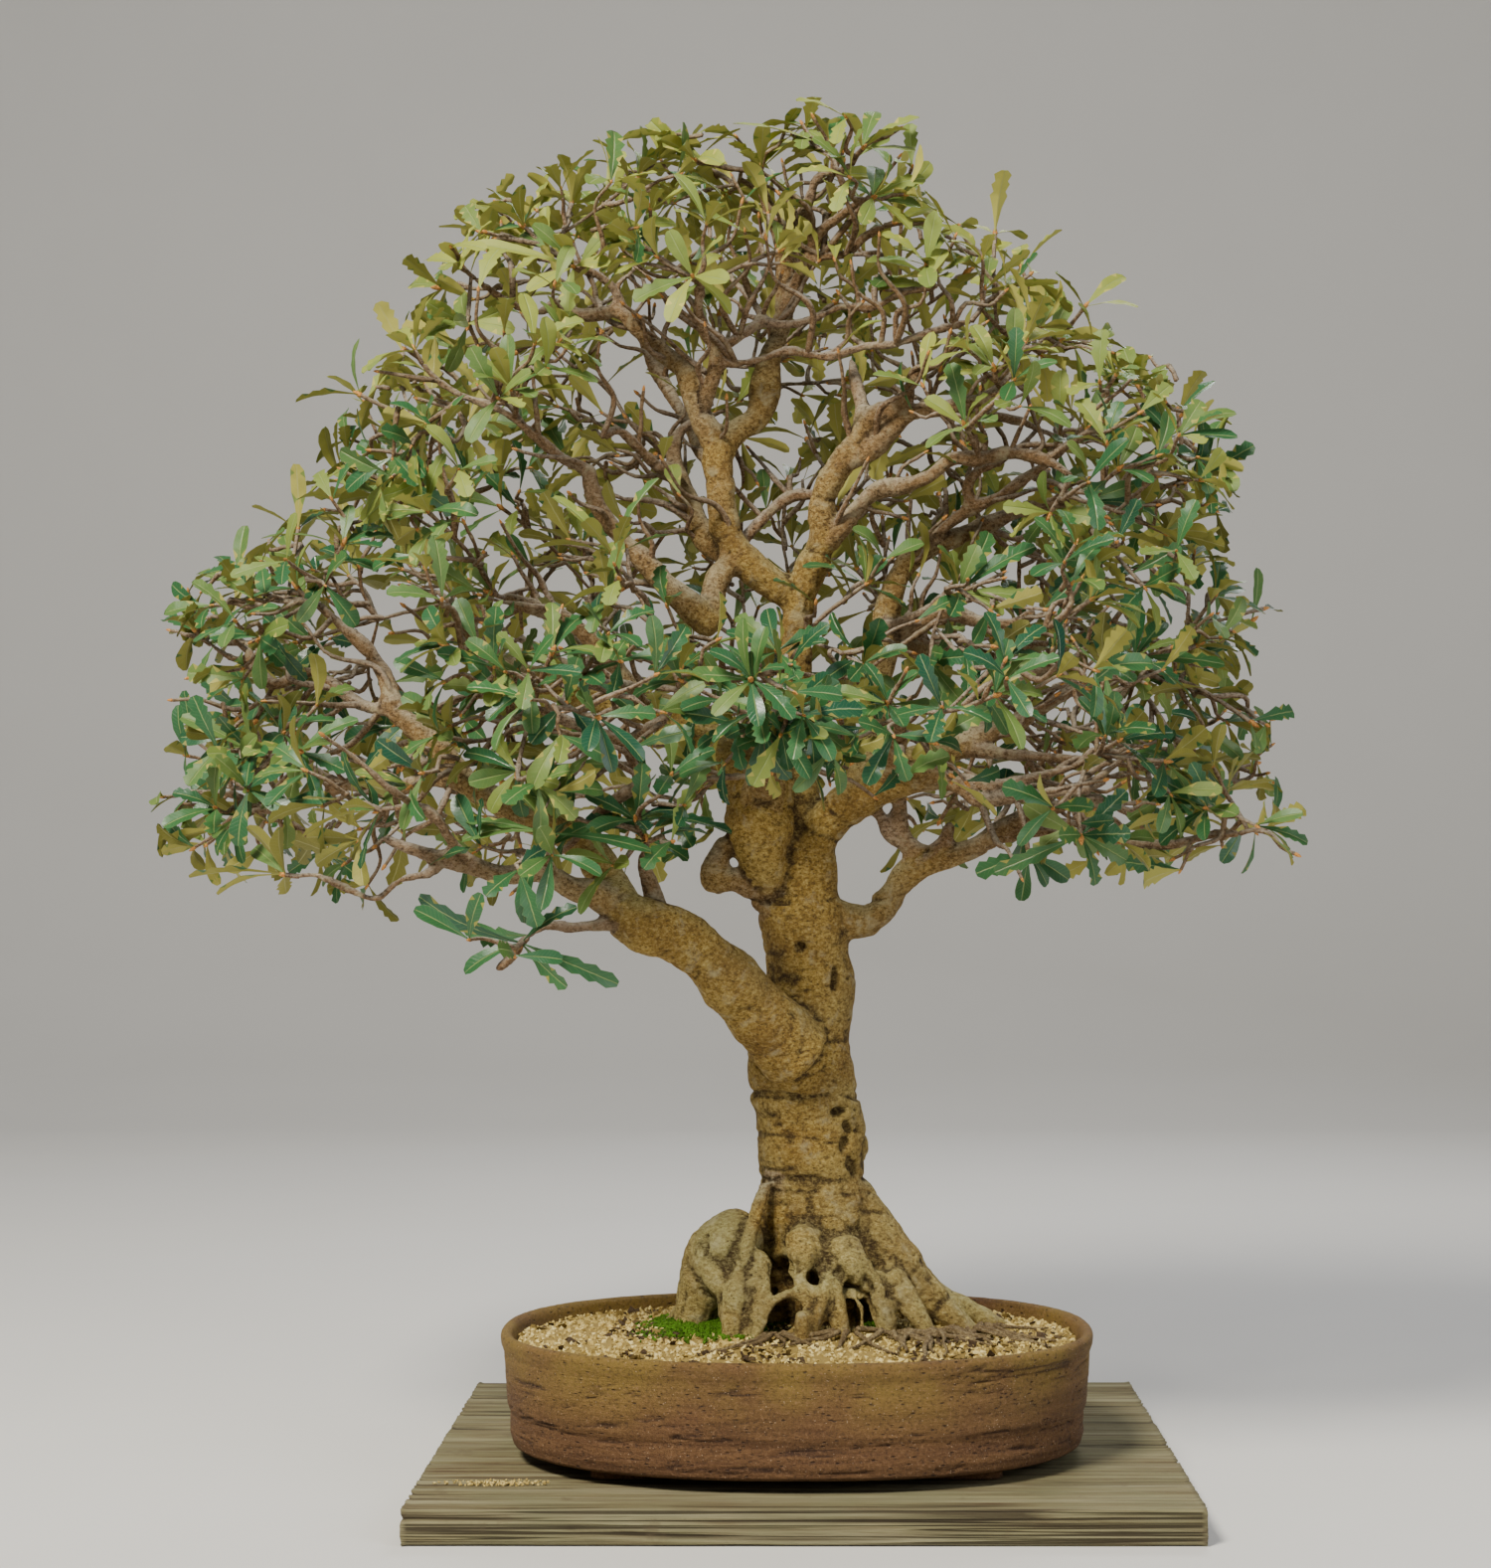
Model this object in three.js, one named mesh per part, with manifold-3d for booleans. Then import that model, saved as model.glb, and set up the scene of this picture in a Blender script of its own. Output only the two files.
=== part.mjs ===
// Coast banksia bonsai in an oval stoneware pot that stands on a board of three planks.
// Units are mm and +Z is up. +Y points away from whoever looks at the front of the tree, +X to the
// right. The origin is the centre of the board's underside.
import * as THREE from 'three';
import { mergeVertices } from 'three/addons/utils/BufferGeometryUtils.js';
import Module from 'manifold-3d';

const wasm = await Module();
wasm.setup();

// Driving dimensions
const gap = 0.3;
const boardWidth = 517;
const plankDepths = [142, 169, 138];
const boardThickness = 24;
const plankSlit = 0.8;
const potCentre = [-5, -33];
const potWidth = 416;
const potDepth = 320;
const potHeight = 86.3;
const potWall = 9;
const potFloor = 10;
const footHeight = 7;
const drainRadius = 11;
const drainOffset = 95;
const screenSize = 34;
const screenThickness = 1.2;
const soilRimDrop = 9;
const soilCrown = 6.5;
const bladeThickness = 0.8;
const leafLength = 42;
const twigTipRadius = 1.6;

// The points of the tree were read off a front view in the pot's middle plane, where what lies
// farther back looks smaller. These two give the place of the eye.
const eyeDistance = 2030;
const eyeHeight = 441.6;

const boardDepth = plankDepths.reduce((sum, depth) => sum + depth, 0);
const potBottom = boardThickness + gap;
const rimHeight = potBottom + potHeight;

// The pot is an oval that is a little squarer than an ellipse, whose power would be 1
const ovalPower = 0.86;
const potSides = 32;
const footAcross = 112;
const footDeep = 92;
const footSize = [52, 30];
const screenHoles = 3;
const screenOpen = 0.72;
const plankChamfer = 1.5;
const plankWear = 1.6;
// Middle across and in depth, half width, half depth and height of each moss pad
const mossPads = [
  [-72, 18, 42, 46, 13],
  [50, -4, 11, 9, 9],
];

// The trunk's roundness and bark, and how much a limb must turn to be joined from two tubes, or
// bend or swell to need a point
const trunkSides = 14;
const barkBump = 0.07;
const sharpTurn = 1.15;
const leastBend = 3.5;

// Leaves: rise of the arch along a blade, share of toothed ones, number in a rosette, places tried
// for them, least angle between two and between their starts, most lean, least slope of a blade to
// the twig, the hub that they share and how far behind it the twig ends
const bladeArch = 0.07;
const toothedShare = 0.4;
const leavesPerRosette = 3;
const leafTries = 8;
const leastAngle = 0.45;
const leastTurn = 0.8;
const mostLean = 0.5;
const leastSlope = 0.3;
const hubRadius = 2.4;
const twigTipSink = 0.9;

// Twigs: spacing of the places on a limb that can bear one, length that needs another kink, sway of
// the kinks, and what growing inwards or from a limb instead of another twig costs
const bearingStep = 14;
const kinkStep = 150;
const twigSway = 0.16;
const inwardCost = 0.45;
const limbCost = 1.5;
const bearersTried = 12;
const crownHeart = new THREE.Vector3(0, potCentre[1], 560);

// Trunk sections from the soil up: height, middle across, half width, half depth, middle in depth.
// The trunk leans a little towards the front. The close pairs are its ring creases.
const trunkSections = [
  [88, 10, 50, 44, 40],
  [104, 11, 52, 46, 39],
  [126, 11, 50, 45, 38],
  [143, 11, 49, 44, 37],
  [160, 11, 47.5, 42, 36],
  [175, 11, 44, 40, 34],
  [188, 10, 43, 39, 32],
  [203, 8, 40, 37, 30],
  [211, 6, 38.5, 36, 29],
  [213.5, 6, 36, 33.5, 29],
  [216, 5, 38, 36, 29],
  [235, 5, 38.5, 36, 26],
  [259, 4, 38.5, 36, 23],
  [270, 0, 40, 37, 21],
  [273, 0, 37, 34, 21],
  [277, -1, 38, 36, 20],
  [301, -4, 35, 35, 16],
  [315, -3, 34, 33, 15],
  [330, 3, 30.5, 31, 14],
  [353, 5, 30.8, 29, 12],
  [372, 2, 28.4, 28, 10],
  [389, 0, 30, 29, 9],
  [405, -2, 30.8, 30, 7],
  [408, -2, 28, 27, 7],
  [411, 2, 21.5, 24, 6],
  [418, 3, 19.6, 22, 6],
  [434, 4, 18.5, 20, 5],
  [448, 4, 17, 18, 4],
  [458, 4, 14, 15, 3],
];

// Limbs, then roots: a name, then points across, up, depth behind the pot's middle and radius
const limbs = [
  ['leader to the apex', [-4, 444, 4, 14], [-4, 483, 8, 15], [-5, 525, 12, 13], [-6, 567, 13, 12],
    [-6, 598, 12, 12], [-4, 619, 10, 13], [-16, 628, 8, 12], [-29, 637, 5, 12], [-43, 650, 2, 12],
    [-54, 665, 0, 11.5], [-58, 684, 0, 10.5], [-59, 704, 0, 10.5], [-61, 722, 0, 11.5],
    [-48, 739, 7, 10], [-36, 746, 10, 10], [-29, 758, 12, 10.5], [-27, 773, 13, 11],
    [-25, 790, 14, 9.5], [-18, 806, 15, 8], [-14, 825, 16, 7.5], [-13, 844, 17, 7], [-14, 862, 18, 6.5],
    [-18, 878, 19, 5.5], [-25, 894, 20, 4.5], [-29, 910, 20, 3.8], [-30, 922, 20, 3]],
  ['right leader', [-5, 619, 10, 12], [2, 636, 8, 11.5], [9, 651, 5, 11.5], [13, 666, 2, 11],
    [12, 682, 0, 9.5], [15, 697, -2, 9.5], [24, 713, -5, 9], [34, 729, -8, 8.5], [43, 744, -10, 8],
    [53, 754, -16, 6.4], [66, 757, -22, 6], [72, 767, -28, 5.4], [80, 780, -34, 4.8],
    [92, 787, -40, 4.2]],
  ['left crown', [-65, 734, 0, 9], [-73, 750, 0, 8.5], [-78, 766, 2, 8.5], [-83, 782, 4, 8],
    [-99, 794, 8, 7], [-115, 809, 12, 6.5], [-129, 824, 16, 6], [-142, 822, 18, 5.5],
    [-159, 821, 18, 5.5], [-173, 829, 16, 5], [-188, 823, 8, 3.4], [-206, 829, 0, 3],
    [-220, 838, -6, 2.8], [-232, 847, -12, 2.6]],
  ['left lobe and arm', [-22, 414, -2, 8], [-27, 432, -7, 15], [-31, 451, -8, 22], [-31, 472, -6, 24],
    [-33, 493, -2, 22], [-57, 508, 3, 16], [-76, 526, 10, 15], [-94, 538, 18, 14.5],
    [-118, 547, 26, 13.5], [-146, 553, 34, 13], [-174, 560, 42, 11.5], [-201, 568, 50, 9.5],
    [-222, 582, 56, 7.5], [-236, 600, 60, 6.4], [-247, 616, 62, 5.4]],
  ['left low limb', [-6, 302, -14, 27], [-31, 328, -34, 24], [-50, 350, -50, 21.5],
    [-72, 372, -62, 18.5], [-93, 386, -72, 18], [-114, 392, -80, 18.5], [-128, 402, -84, 15],
    [-136, 420, -78, 13], [-148, 440, -74, 13], [-163, 456, -68, 13.5], [-188, 465, -66, 11],
    [-215, 479, -64, 9.5], [-237, 491, -60, 9], [-254, 512, -54, 8.4], [-272, 528, -48, 8],
    [-288, 544, -40, 7], [-295, 566, -34, 6.2], [-306, 584, -28, 5.6], [-323, 600, -22, 5],
    [-341, 616, -16, 4.2]],
  ['wiggly twig', [-153, 452, -72, 7], [-142, 472, -88, 5.4], [-125, 485, -96, 5],
    [-111, 493, -98, 5.2], [-120, 505, -98, 4.8], [-127, 519, -98, 5.4], [-148, 528, -104, 4.4],
    [-166, 535, -112, 4.2], [-184, 543, -120, 3.6]],
  ['apex right', [-16, 818, 14, 5], [-8, 836, 8, 5], [-1, 854, 4, 5], [6, 871, 0, 5],
    [14, 882, -4, 4.2], [26, 891, -14, 3.6], [38, 900, -26, 3]],
  ['apex low right', [1, 855, 4, 4.5], [13, 862, 0, 4.5], [30, 864, -2, 4.5], [41, 875, -4, 4],
    [55, 883, -8, 3.4]],
  ['left crown knob', [-128, 826, 16, 5], [-134, 840, 10, 4.5], [-144, 848, 4, 4.5],
    [-155, 855, -4, 3.6]],
  ['middle crown', [-71, 754, -2, 7], [-64, 777, -8, 6.5], [-61, 796, -12, 6.5], [-69, 809, -16, 5.5],
    [-75, 824, -24, 4.5], [-72, 840, -34, 3.6]],
  ['middle fork', [-61, 796, -12, 5.5], [-46, 806, -8, 5], [-30, 818, -2, 4.5], [-35, 829, 4, 3.6]],
  ['right thin', [-31, 816, -2, 4], [-6, 815, -6, 3.6], [15, 822, -10, 3.4], [27, 827, -12, 3.4],
    [50, 827, -14, 3.4], [67, 836, -16, 3.2], [93, 841, -18, 3]],
  ['crown crossing', [-62, 788, -11, 3.6], [-48, 787, -16, 3], [-31, 790, -14, 3.4],
    [-11, 796, -12, 3.4], [16, 792, -14, 4], [43, 799, -18, 4], [65, 801, -24, 3.6],
    [92, 810, -30, 3.2], [118, 817, -34, 2.8]],
  ['left side', [-52, 651, 6, 9], [-68, 661, 14, 8.5], [-78, 683, 20, 8], [-88, 704, 24, 8],
    [-92, 724, 26, 6.5], [-88, 738, 28, 4.5], [-79, 746, 30, 3.4]],
  ['left hook', [-48, 650, 0, 9.5], [-61, 636, -8, 8.5], [-65, 619, -14, 8], [-68, 605, -18, 11],
    [-83, 619, -22, 8.5], [-99, 633, -26, 8], [-118, 654, -30, 7], [-138, 675, -34, 6],
    [-148, 693, -36, 5.5], [-152, 714, -38, 5]],
  ['left high', [-152, 712, -38, 4.6], [-170, 720, -44, 4.4], [-187, 734, -50, 4.2],
    [-204, 748, -54, 4], [-220, 757, -58, 3.8], [-240, 764, -60, 3.6], [-258, 775, -62, 3.2],
    [-269, 787, -62, 3]],
  ['right top', [43, 743, -10, 7], [40, 760, -4, 6], [36, 776, 2, 5.6], [33, 790, 8, 5]],
  ['right arm high', [26, 715, -5, 7], [50, 728, -12, 7], [61, 740, -18, 7], [75, 752, -24, 6.4],
    [99, 756, -32, 5.8], [123, 761, -40, 5], [141, 767, -46, 4.2]],
  ['right arm middle', [18, 664, 0, 8], [29, 675, -2, 6.8], [40, 688, -6, 6.4], [52, 698, -10, 6.6],
    [71, 701, -16, 6.6], [89, 708, -22, 6], [104, 720, -28, 6], [124, 720, -34, 5.2],
    [145, 724, -40, 4.8], [170, 719, -48, 4.2], [188, 708, -54, 3.6]],
  ['crossing twig', [-47, 656, 0, 6], [-44, 661, 12, 5], [-29, 678, 18, 4.6], [-10, 693, 20, 4.4],
    [10, 695, 10, 4]],
  ['right back riser', [41, 493, -8, 12], [48, 528, 12, 10], [53, 564, 24, 9.5], [57, 595, 30, 10],
    [60, 620, 34, 9.5], [70, 643, 38, 8.6], [85, 656, 42, 8], [106, 664, 46, 7], [128, 673, 50, 6],
    [155, 684, 54, 4.8], [187, 690, 58, 4], [206, 687, 60, 3.6], [227, 691, 60, 3.4], [244, 698, 58, 3]],
  ['right back twig', [79, 654, 40, 6], [99, 672, 34, 5], [118, 685, 26, 4.8], [138, 694, 18, 4.6],
    [158, 708, 10, 4.2], [170, 715, 4, 3.6]],
  ['right fork', [58, 595, 30, 6.5], [82, 605, 24, 6], [104, 611, 18, 5.6], [124, 605, 10, 5.2],
    [144, 604, 4, 4.8], [162, 612, -2, 4]],
  ['right up', [5, 446, 0, 15], [20, 468, -5, 15.5], [40, 482, -12, 14.5], [66, 492, -20, 11.5],
    [92, 495, -26, 8.6], [110, 489, -32, 6.2], [124, 479, -36, 5.2], [148, 482, -42, 5],
    [176, 485, -48, 4.6], [204, 488, -54, 4]],
  ['right middle', [33, 482, -10, 12.5], [53, 500, -8, 11], [78, 507, -6, 11], [102, 513, -4, 9.6],
    [124, 524, -2, 7.8], [148, 533, 0, 6.2], [169, 545, 2, 5.2], [187, 556, 4, 4.6], [205, 563, 4, 4]],
  ['right middle low', [114, 516, -4, 6.4], [141, 512, -12, 5.2], [169, 510, -20, 4.6],
    [197, 507, -28, 4], [216, 510, -34, 3.4]],
  ['right middle high', [110, 516, -2, 7], [127, 538, 12, 6.6], [141, 556, 22, 6.4],
    [162, 570, 30, 5.6], [184, 576, 32, 5]],
  ['right thin low', [94, 497, -24, 5], [116, 494, -30, 4.6], [135, 491, -36, 4.2],
    [163, 496, -42, 3.6], [190, 503, -46, 3]],
  ['right low', [20, 398, 8, 12], [44, 394, 6, 11], [59, 409, 5, 10.5], [71, 426, 2, 10.5],
    [87, 437, 0, 10.5], [104, 440, -4, 9], [123, 448, -8, 8], [141, 460, -12, 7], [163, 470, -16, 6],
    [188, 477, -20, 5], [209, 480, -24, 4]],
  ['right low tip', [130, 451, -10, 6], [162, 458, -18, 5.2], [194, 454, -26, 4.8],
    [225, 451, -32, 4.2], [257, 448, -38, 3.8], [282, 454, -42, 3.4], [307, 456, -44, 3]],
  ['right low riser', [82, 438, 0, 8], [70, 453, -3, 6], [66, 469, -5, 5.4], [69, 484, -8, 4.6]],
  ['right low stub', [72, 449, -3, 6], [59, 456, -5, 5], [55, 466, -6, 4.6], [50, 473, -7, 4]],
  ['right low spur', [89, 440, -2, 6.5], [99, 451, -6, 5], [103, 463, -8, 4]],
  ['loop', [-27, 407, 0, 8.5], [-40, 417, -6, 7], [-52, 424, -10, 8.5], [-64, 423, -12, 9.5],
    [-62, 437, -10, 8], [-54, 449, -6, 8.5]],
  ['left arm high', [-118, 549, 24, 9], [-137, 577, 10, 7.6], [-153, 594, 0, 7], [-174, 610, -10, 6.4],
    [-195, 617, -20, 6], [-211, 622, -26, 5.4]],
  ['left low arm', [-128, 404, -84, 12], [-148, 414, -96, 9.4], [-167, 419, -108, 8.8],
    [-184, 430, -118, 8.2], [-212, 427, -126, 7.6], [-238, 435, -132, 7], [-258, 440, -138, 6],
    [-279, 446, -142, 5], [-296, 453, -146, 4]],
  ['left far twig', [-250, 437, -136, 4], [-265, 428, -142, 3.6], [-285, 423, -146, 3.4],
    [-301, 410, -148, 3.4], [-319, 416, -146, 3.2], [-344, 427, -140, 3], [-356, 426, -134, 2.8]],
  ['left mid twig', [-234, 435, -132, 5], [-250, 453, -142, 4.4], [-258, 466, -148, 4],
    [-270, 474, -152, 3.8], [-288, 474, -154, 3.4]],
  ['left pale arm', [-223, 483, -62, 7], [-247, 493, -54, 7], [-271, 493, -44, 6.6],
    [-290, 486, -34, 5.6], [-320, 490, -26, 5], [-344, 498, -20, 4.6], [-363, 510, -24, 4]],
  ['left low tip', [-321, 490, -26, 4.4], [-348, 479, -20, 4], [-376, 473, -14, 3.8],
    [-391, 477, -10, 3.6], [-401, 483, -6, 3.2], [-418, 485, -2, 2.8]],
  ['left outer arm', [-286, 542, -42, 6], [-310, 546, -30, 5.6], [-328, 558, -18, 5.2],
    [-348, 570, -8, 4.8], [-373, 561, 0, 4.6], [-387, 575, 4, 4.2], [-391, 586, 6, 3.6]],
  ['left outer twig', [-386, 575, 4, 3.4], [-404, 580, 6, 3], [-418, 589, 6, 2.6]],
  ['left low riser', [-102, 395, -70, 9], [-107, 416, -64, 7], [-113, 435, -72, 5.6],
    [-111, 446, -86, 4]],
  ['wiggly right', [-127, 518, -98, 4.8], [-111, 529, -98, 4.4], [-98, 538, -98, 4],
    [-91, 552, -98, 3.4]],
  ['front low twig', [-135, 393, -88, 6], [-162, 390, -104, 4.4], [-181, 391, -118, 3.8],
    [-197, 382, -128, 3.2]],
  ['front centre arm', [-29, 483, -18, 10], [-23, 505, -62, 7.5], [-29, 522, -96, 5.4],
    [-33, 533, -108, 4]],
  ['front right arm', [54, 498, -12, 9], [65, 518, -58, 6.6], [67, 533, -96, 5], [61, 542, -114, 4]],
  ['front left arm', [-118, 544, 22, 9], [-125, 557, -34, 7], [-142, 560, -88, 5.4],
    [-155, 560, -112, 4]],
  ['back left arm', [-118, 547, 28, 10], [-142, 558, 106, 8], [-176, 578, 172, 6], [-202, 595, 214, 4.6]],
  ['back right arm', [55, 588, 28, 8.5], [85, 586, 98, 7], [127, 582, 164, 5.6], [169, 589, 206, 4.4]],
  ['back centre arm', [-5, 521, 12, 10], [-13, 540, 84, 8], [-26, 552, 156, 6], [-37, 558, 214, 4.4]],
  ['back crown arm', [-59, 703, 4, 7.5], [-75, 734, 62, 6.4], [-99, 774, 112, 5.4],
    [-118, 815, 146, 4.4]],
  ['back crown right', [41, 740, -8, 6], [64, 749, 44, 5.4], [106, 754, 96, 4.8], [155, 746, 138, 4]],
];

const roots = [
  ['long side root', [-27, 210, 0, 4.5], [-34, 188, -10, 6], [-39, 168, -16, 6.5], [-43, 148, -20, 7.5],
    [-47, 129, -24, 9.5], [-51, 101, -28, 9]],
  ['side root low', [-30, 160, -14, 6], [-33, 140, -22, 7], [-36, 120, -28, 7.5], [-37, 99, -32, 7]],
  ['burl', [-37, 178, 12, 17], [-52, 169, 6, 22], [-64, 154, 4, 22], [-72, 133, 6, 17],
    [-80, 101, 6, 13]],
  ['burl fold', [-72, 160, -8, 10], [-65, 146, -14, 10], [-54, 132, -18, 9.5], [-47, 101, -20, 9]],
  ['left surface root', [-71, 133, 16, 13], [-82, 120, 18, 9.5], [-96, 108, 20, 7], [-113, 94, 22, 5]],
  ['front knob', [-1, 175, -8, 13], [1, 160, -16, 14], [-2, 150, -16, 12]],
  ['front root one', [19, 153, -16, 6.5], [14, 133, -28, 7], [8, 113, -34, 6.6], [5, 98, -36, 6]],
  ['front root two', [23, 140, -20, 6], [24, 120, -28, 6.4], [27, 98, -34, 5.6]],
  ['front root three', [-27, 154, -16, 5.4], [-28, 133, -30, 5.2], [-31, 116, -36, 4.8],
    [-34, 98, -40, 4.4]],
  ['front root arch', [-29, 109, -40, 3.4], [-22, 126, -38, 3.2], [-9, 132, -34, 3.4],
    [1, 125, -34, 3.2], [6, 109, -36, 3]],
  ['front lobe', [26, 168, -6, 15], [30, 153, -12, 15], [40, 144, -10, 13]],
  ['front right root', [44, 144, -10, 12], [52, 129, -14, 9], [58, 112, -18, 7.4], [61, 97, -20, 6]],
  ['right buttress', [40, 199, 26, 22], [52, 172, 26, 22], [68, 148, 24, 19], [88, 129, 20, 13],
    [107, 113, 16, 9], [128, 98, 12, 6]],
  ['right surface root', [72, 146, 34, 15], [94, 130, 38, 10.5], [117, 120, 42, 7.5], [142, 108, 44, 5],
    [162, 94, 46, 3.6]],
  ['right low root', [57, 144, 2, 13], [74, 125, -8, 9.5], [85, 109, -18, 7], [94, 92, -24, 5]],
  ['back left root', [-6, 160, 64, 20], [-20, 136, 84, 13], [-36, 118, 102, 7]],
  ['back right root', [30, 160, 62, 20], [46, 136, 84, 13], [62, 118, 104, 7]],
  ['back root', [12, 154, 68, 20], [13, 133, 92, 12], [18, 116, 112, 7]],
];

// Rosettes of leaves: the place at the twig's end across, up and in depth, then the tips of those
// leaves that show their length in the front view, across and up
const rosettes = [
  [[1, 952, 4], [8, 974], [-2, 938]],
  [[18, 939, -18], [-50, 956], [27, 946], [-13, 927]],
  [[41, 938, -30], [81, 960], [29, 963], [50, 964], [72, 952]],
  [[-76, 930, 10], [-108, 958], [-45, 952], [-101, 945], [-57, 927]],
  [[-118, 918, 0], [-155, 930], [-149, 944], [-124, 940], [-107, 931]],
  [[48, 904, -40], [85, 917], [50, 925], [76, 899], [29, 913]],
  [[62, 886, -10], [95, 897], [95, 878], [51, 868]],
  [[-164, 899, 24], [-172, 934], [-136, 885], [-174, 908]],
  [[-197, 883, -10], [-230, 899], [-200, 912], [-223, 910]],
  [[-216, 875, 34], [-257, 883], [-237, 893]],
  [[-240, 855, -20], [-265, 860], [-255, 872]],
  [[-162, 855, -46], [-234, 871], [-157, 838], [-174, 878]],
  [[-237, 815, -30], [-265, 830], [-241, 835], [-209, 826]],
  [[-274, 796, -62], [-306, 782], [-292, 808], [-254, 819]],
  [[-115, 871, -58], [-146, 893], [-83, 878], [-145, 871]],
  [[-78, 848, -70], [-120, 831], [-61, 864], [-52, 822]],
  [[-174, 801, -70], [-197, 782], [-209, 798], [-157, 780]],
  [[-206, 768, -80], [-218, 798], [-174, 784], [-232, 777]],
  [[127, 838, -20], [179, 844], [104, 872], [159, 866], [131, 862], [176, 827]],
  [[202, 801, 14], [193, 829], [172, 794], [225, 798]],
  [[236, 770, 4], [253, 782], [225, 798], [258, 770]],
  [[257, 735, -10], [242, 771], [304, 752], [305, 735], [225, 749]],
  [[282, 708, 20], [317, 729], [305, 693], [298, 707]],
  [[134, 782, -62], [95, 776], [111, 801], [162, 791]],
  [[166, 794, 34], [184, 782], [194, 805]],
  [[-265, 745, -60], [-300, 740], [-261, 762], [-248, 749]],
  [[-264, 714, -34], [-289, 726], [-257, 699], [-237, 706]],
  [[-264, 682, -80], [-274, 722], [-230, 680], [-289, 692]],
  [[-325, 659, -44], [-382, 664], [-342, 678], [-299, 672]],
  [[-356, 628, -12], [-386, 651], [-320, 647], [-356, 651]],
  [[-395, 628, 4], [-426, 639], [-412, 651]],
  [[-428, 598, 4], [-463, 622], [-435, 571], [-435, 623], [-418, 616]],
  [[-367, 526, -76], [-370, 554], [-341, 538], [-355, 557]],
  [[-388, 513, -44], [-439, 538], [-393, 562], [-405, 528]],
  [[-430, 485, 0], [-481, 493], [-383, 505], [-484, 472], [-435, 518], [-433, 463]],
  [[-365, 427, -130], [-433, 425], [-413, 413], [-370, 459], [-387, 446]],
  [[-299, 472, -156], [-353, 481], [-325, 514], [-353, 454]],
  [[-244, 519, -110], [-248, 553], [-236, 536], [-274, 550]],
  [[-206, 549, -132], [-216, 575], [-254, 560], [-174, 549]],
  [[-220, 625, -30], [-234, 651], [-208, 648], [-254, 633]],
  [[-134, 651, -90], [-177, 693], [-190, 656], [-124, 679], [-102, 706]],
  [[-178, 582, -140], [-216, 578], [-156, 609], [-146, 584], [-164, 558]],
  [[-181, 456, -150], [-177, 519], [-238, 465], [-108, 444], [-197, 393], [-241, 451], [-174, 432]],
  [[-199, 379, -130], [-271, 412], [-131, 350], [-239, 358], [-167, 348], [-239, 389], [-160, 404]],
  [[-111, 451, -92], [-68, 456], [-118, 468], [-93, 463]],
  [[-202, 500, -150], [-239, 513], [-216, 526], [-173, 490]],
  [[-87, 571, -98], [-129, 589], [-40, 594], [-104, 563]],
  [[-34, 542, -112], [-46, 561], [-76, 560], [-10, 554]],
  [[59, 547, -122], [106, 544], [39, 558], [44, 538]],
  [[-19, 584, -60], [-47, 609], [16, 598], [-26, 614]],
  [[109, 626, -60], [130, 668], [163, 658], [94, 658], [159, 622]],
  [[212, 570, -60], [174, 589], [219, 524], [212, 612], [232, 563]],
  [[276, 588, 4], [305, 584], [277, 612], [291, 595]],
  [[221, 521, -80], [212, 553], [253, 528], [239, 542]],
  [[314, 535, 4], [351, 507], [344, 542], [314, 499], [298, 547]],
  [[296, 485, -20], [337, 485], [331, 493], [267, 497]],
  [[326, 460, -44], [367, 440], [361, 462], [331, 477]],
  [[195, 455, -92], [134, 429], [155, 477], [205, 420], [227, 486], [230, 456]],
  [[254, 668, -20], [296, 658], [239, 684], [284, 668]],
  [[289, 623, 4], [324, 611], [302, 608]],
  [[174, 682, -60], [170, 711], [205, 678], [148, 665]],
  [[-356, 591, 110]],
  [[-272, 665, 190]],
  [[-298, 538, 150]],
  [[-174, 647, 240]],
  [[-146, 808, 160]],
  [[-59, 878, 150]],
  [[34, 560, 236]],
  [[198, 608, 236]],
  [[246, 651, 176]],
  [[268, 578, 150]],
  [[191, 735, 170]],
  [[142, 796, 140]],
  [[-146, 538, -196]],
  [[134, 553, -180]],
  [[-76, 560, 256]],
  [[-247, 623, 66], [-265, 634], [-258, 595]],
  [[201, 620, -150]],
  [[-191, 742, 180]],
  [[-37, 564, -196]],
  [[-230, 609, 236]],
  [[-58, 860, 44], [-33, 840], [-75, 875]],
  [[-75, 502, -50], [-93, 496], [-73, 488]],
  [[141, 581, 256]],
];

// Halves of a blade's outline: share of its length, share of its half width
const toothedEdge = [[0.66, 1], [0.73, 0.68], [0.96, 0.74]];
const plainEdge = [[0.64, 0.95], [0.98, 0.5]];

const paints = {
  wood: { color: '#8f7a4c', roughness: 0.85 },
  leaf: { color: '#4f7340', roughness: 0.45 },
  pot: { color: '#6b4a32', roughness: 0.8 },
  soil: { color: '#c2ae7c', roughness: 0.95 },
  moss: { color: '#4c6b1c', roughness: 0.95 },
  screen: { color: '#23282a', roughness: 0.6 },
  board: { color: '#75705a', roughness: 0.85 },
};

// A fraction from 0 to 1 that depends on the two numbers alone
function draw(index, salt) {
  let mix = Math.imul(index + 1, 0x9e3779b1) ^ Math.imul(salt + 1, 0x85ebca6b);
  mix = Math.imul(mix ^ (mix >>> 15), 0x2c1b3c6d);
  mix = Math.imul(mix ^ (mix >>> 12), 0x297a2d39);
  return ((mix ^ (mix >>> 15)) >>> 0) / 4294967296;
}

// How much larger a thing really is than the front view shows it, for its depth behind the pot's middle
function spreadAt(depth) {
  return 1 + depth / eyeDistance;
}

// A point of the front view [across, up, depth behind the pot's middle] in the part's frame
function fromFront([across, up, depth]) {
  const spread = spreadAt(depth);
  return new THREE.Vector3(
    across * spread,
    potCentre[1] + depth,
    eyeHeight + (up - eyeHeight) * spread,
  );
}

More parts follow.
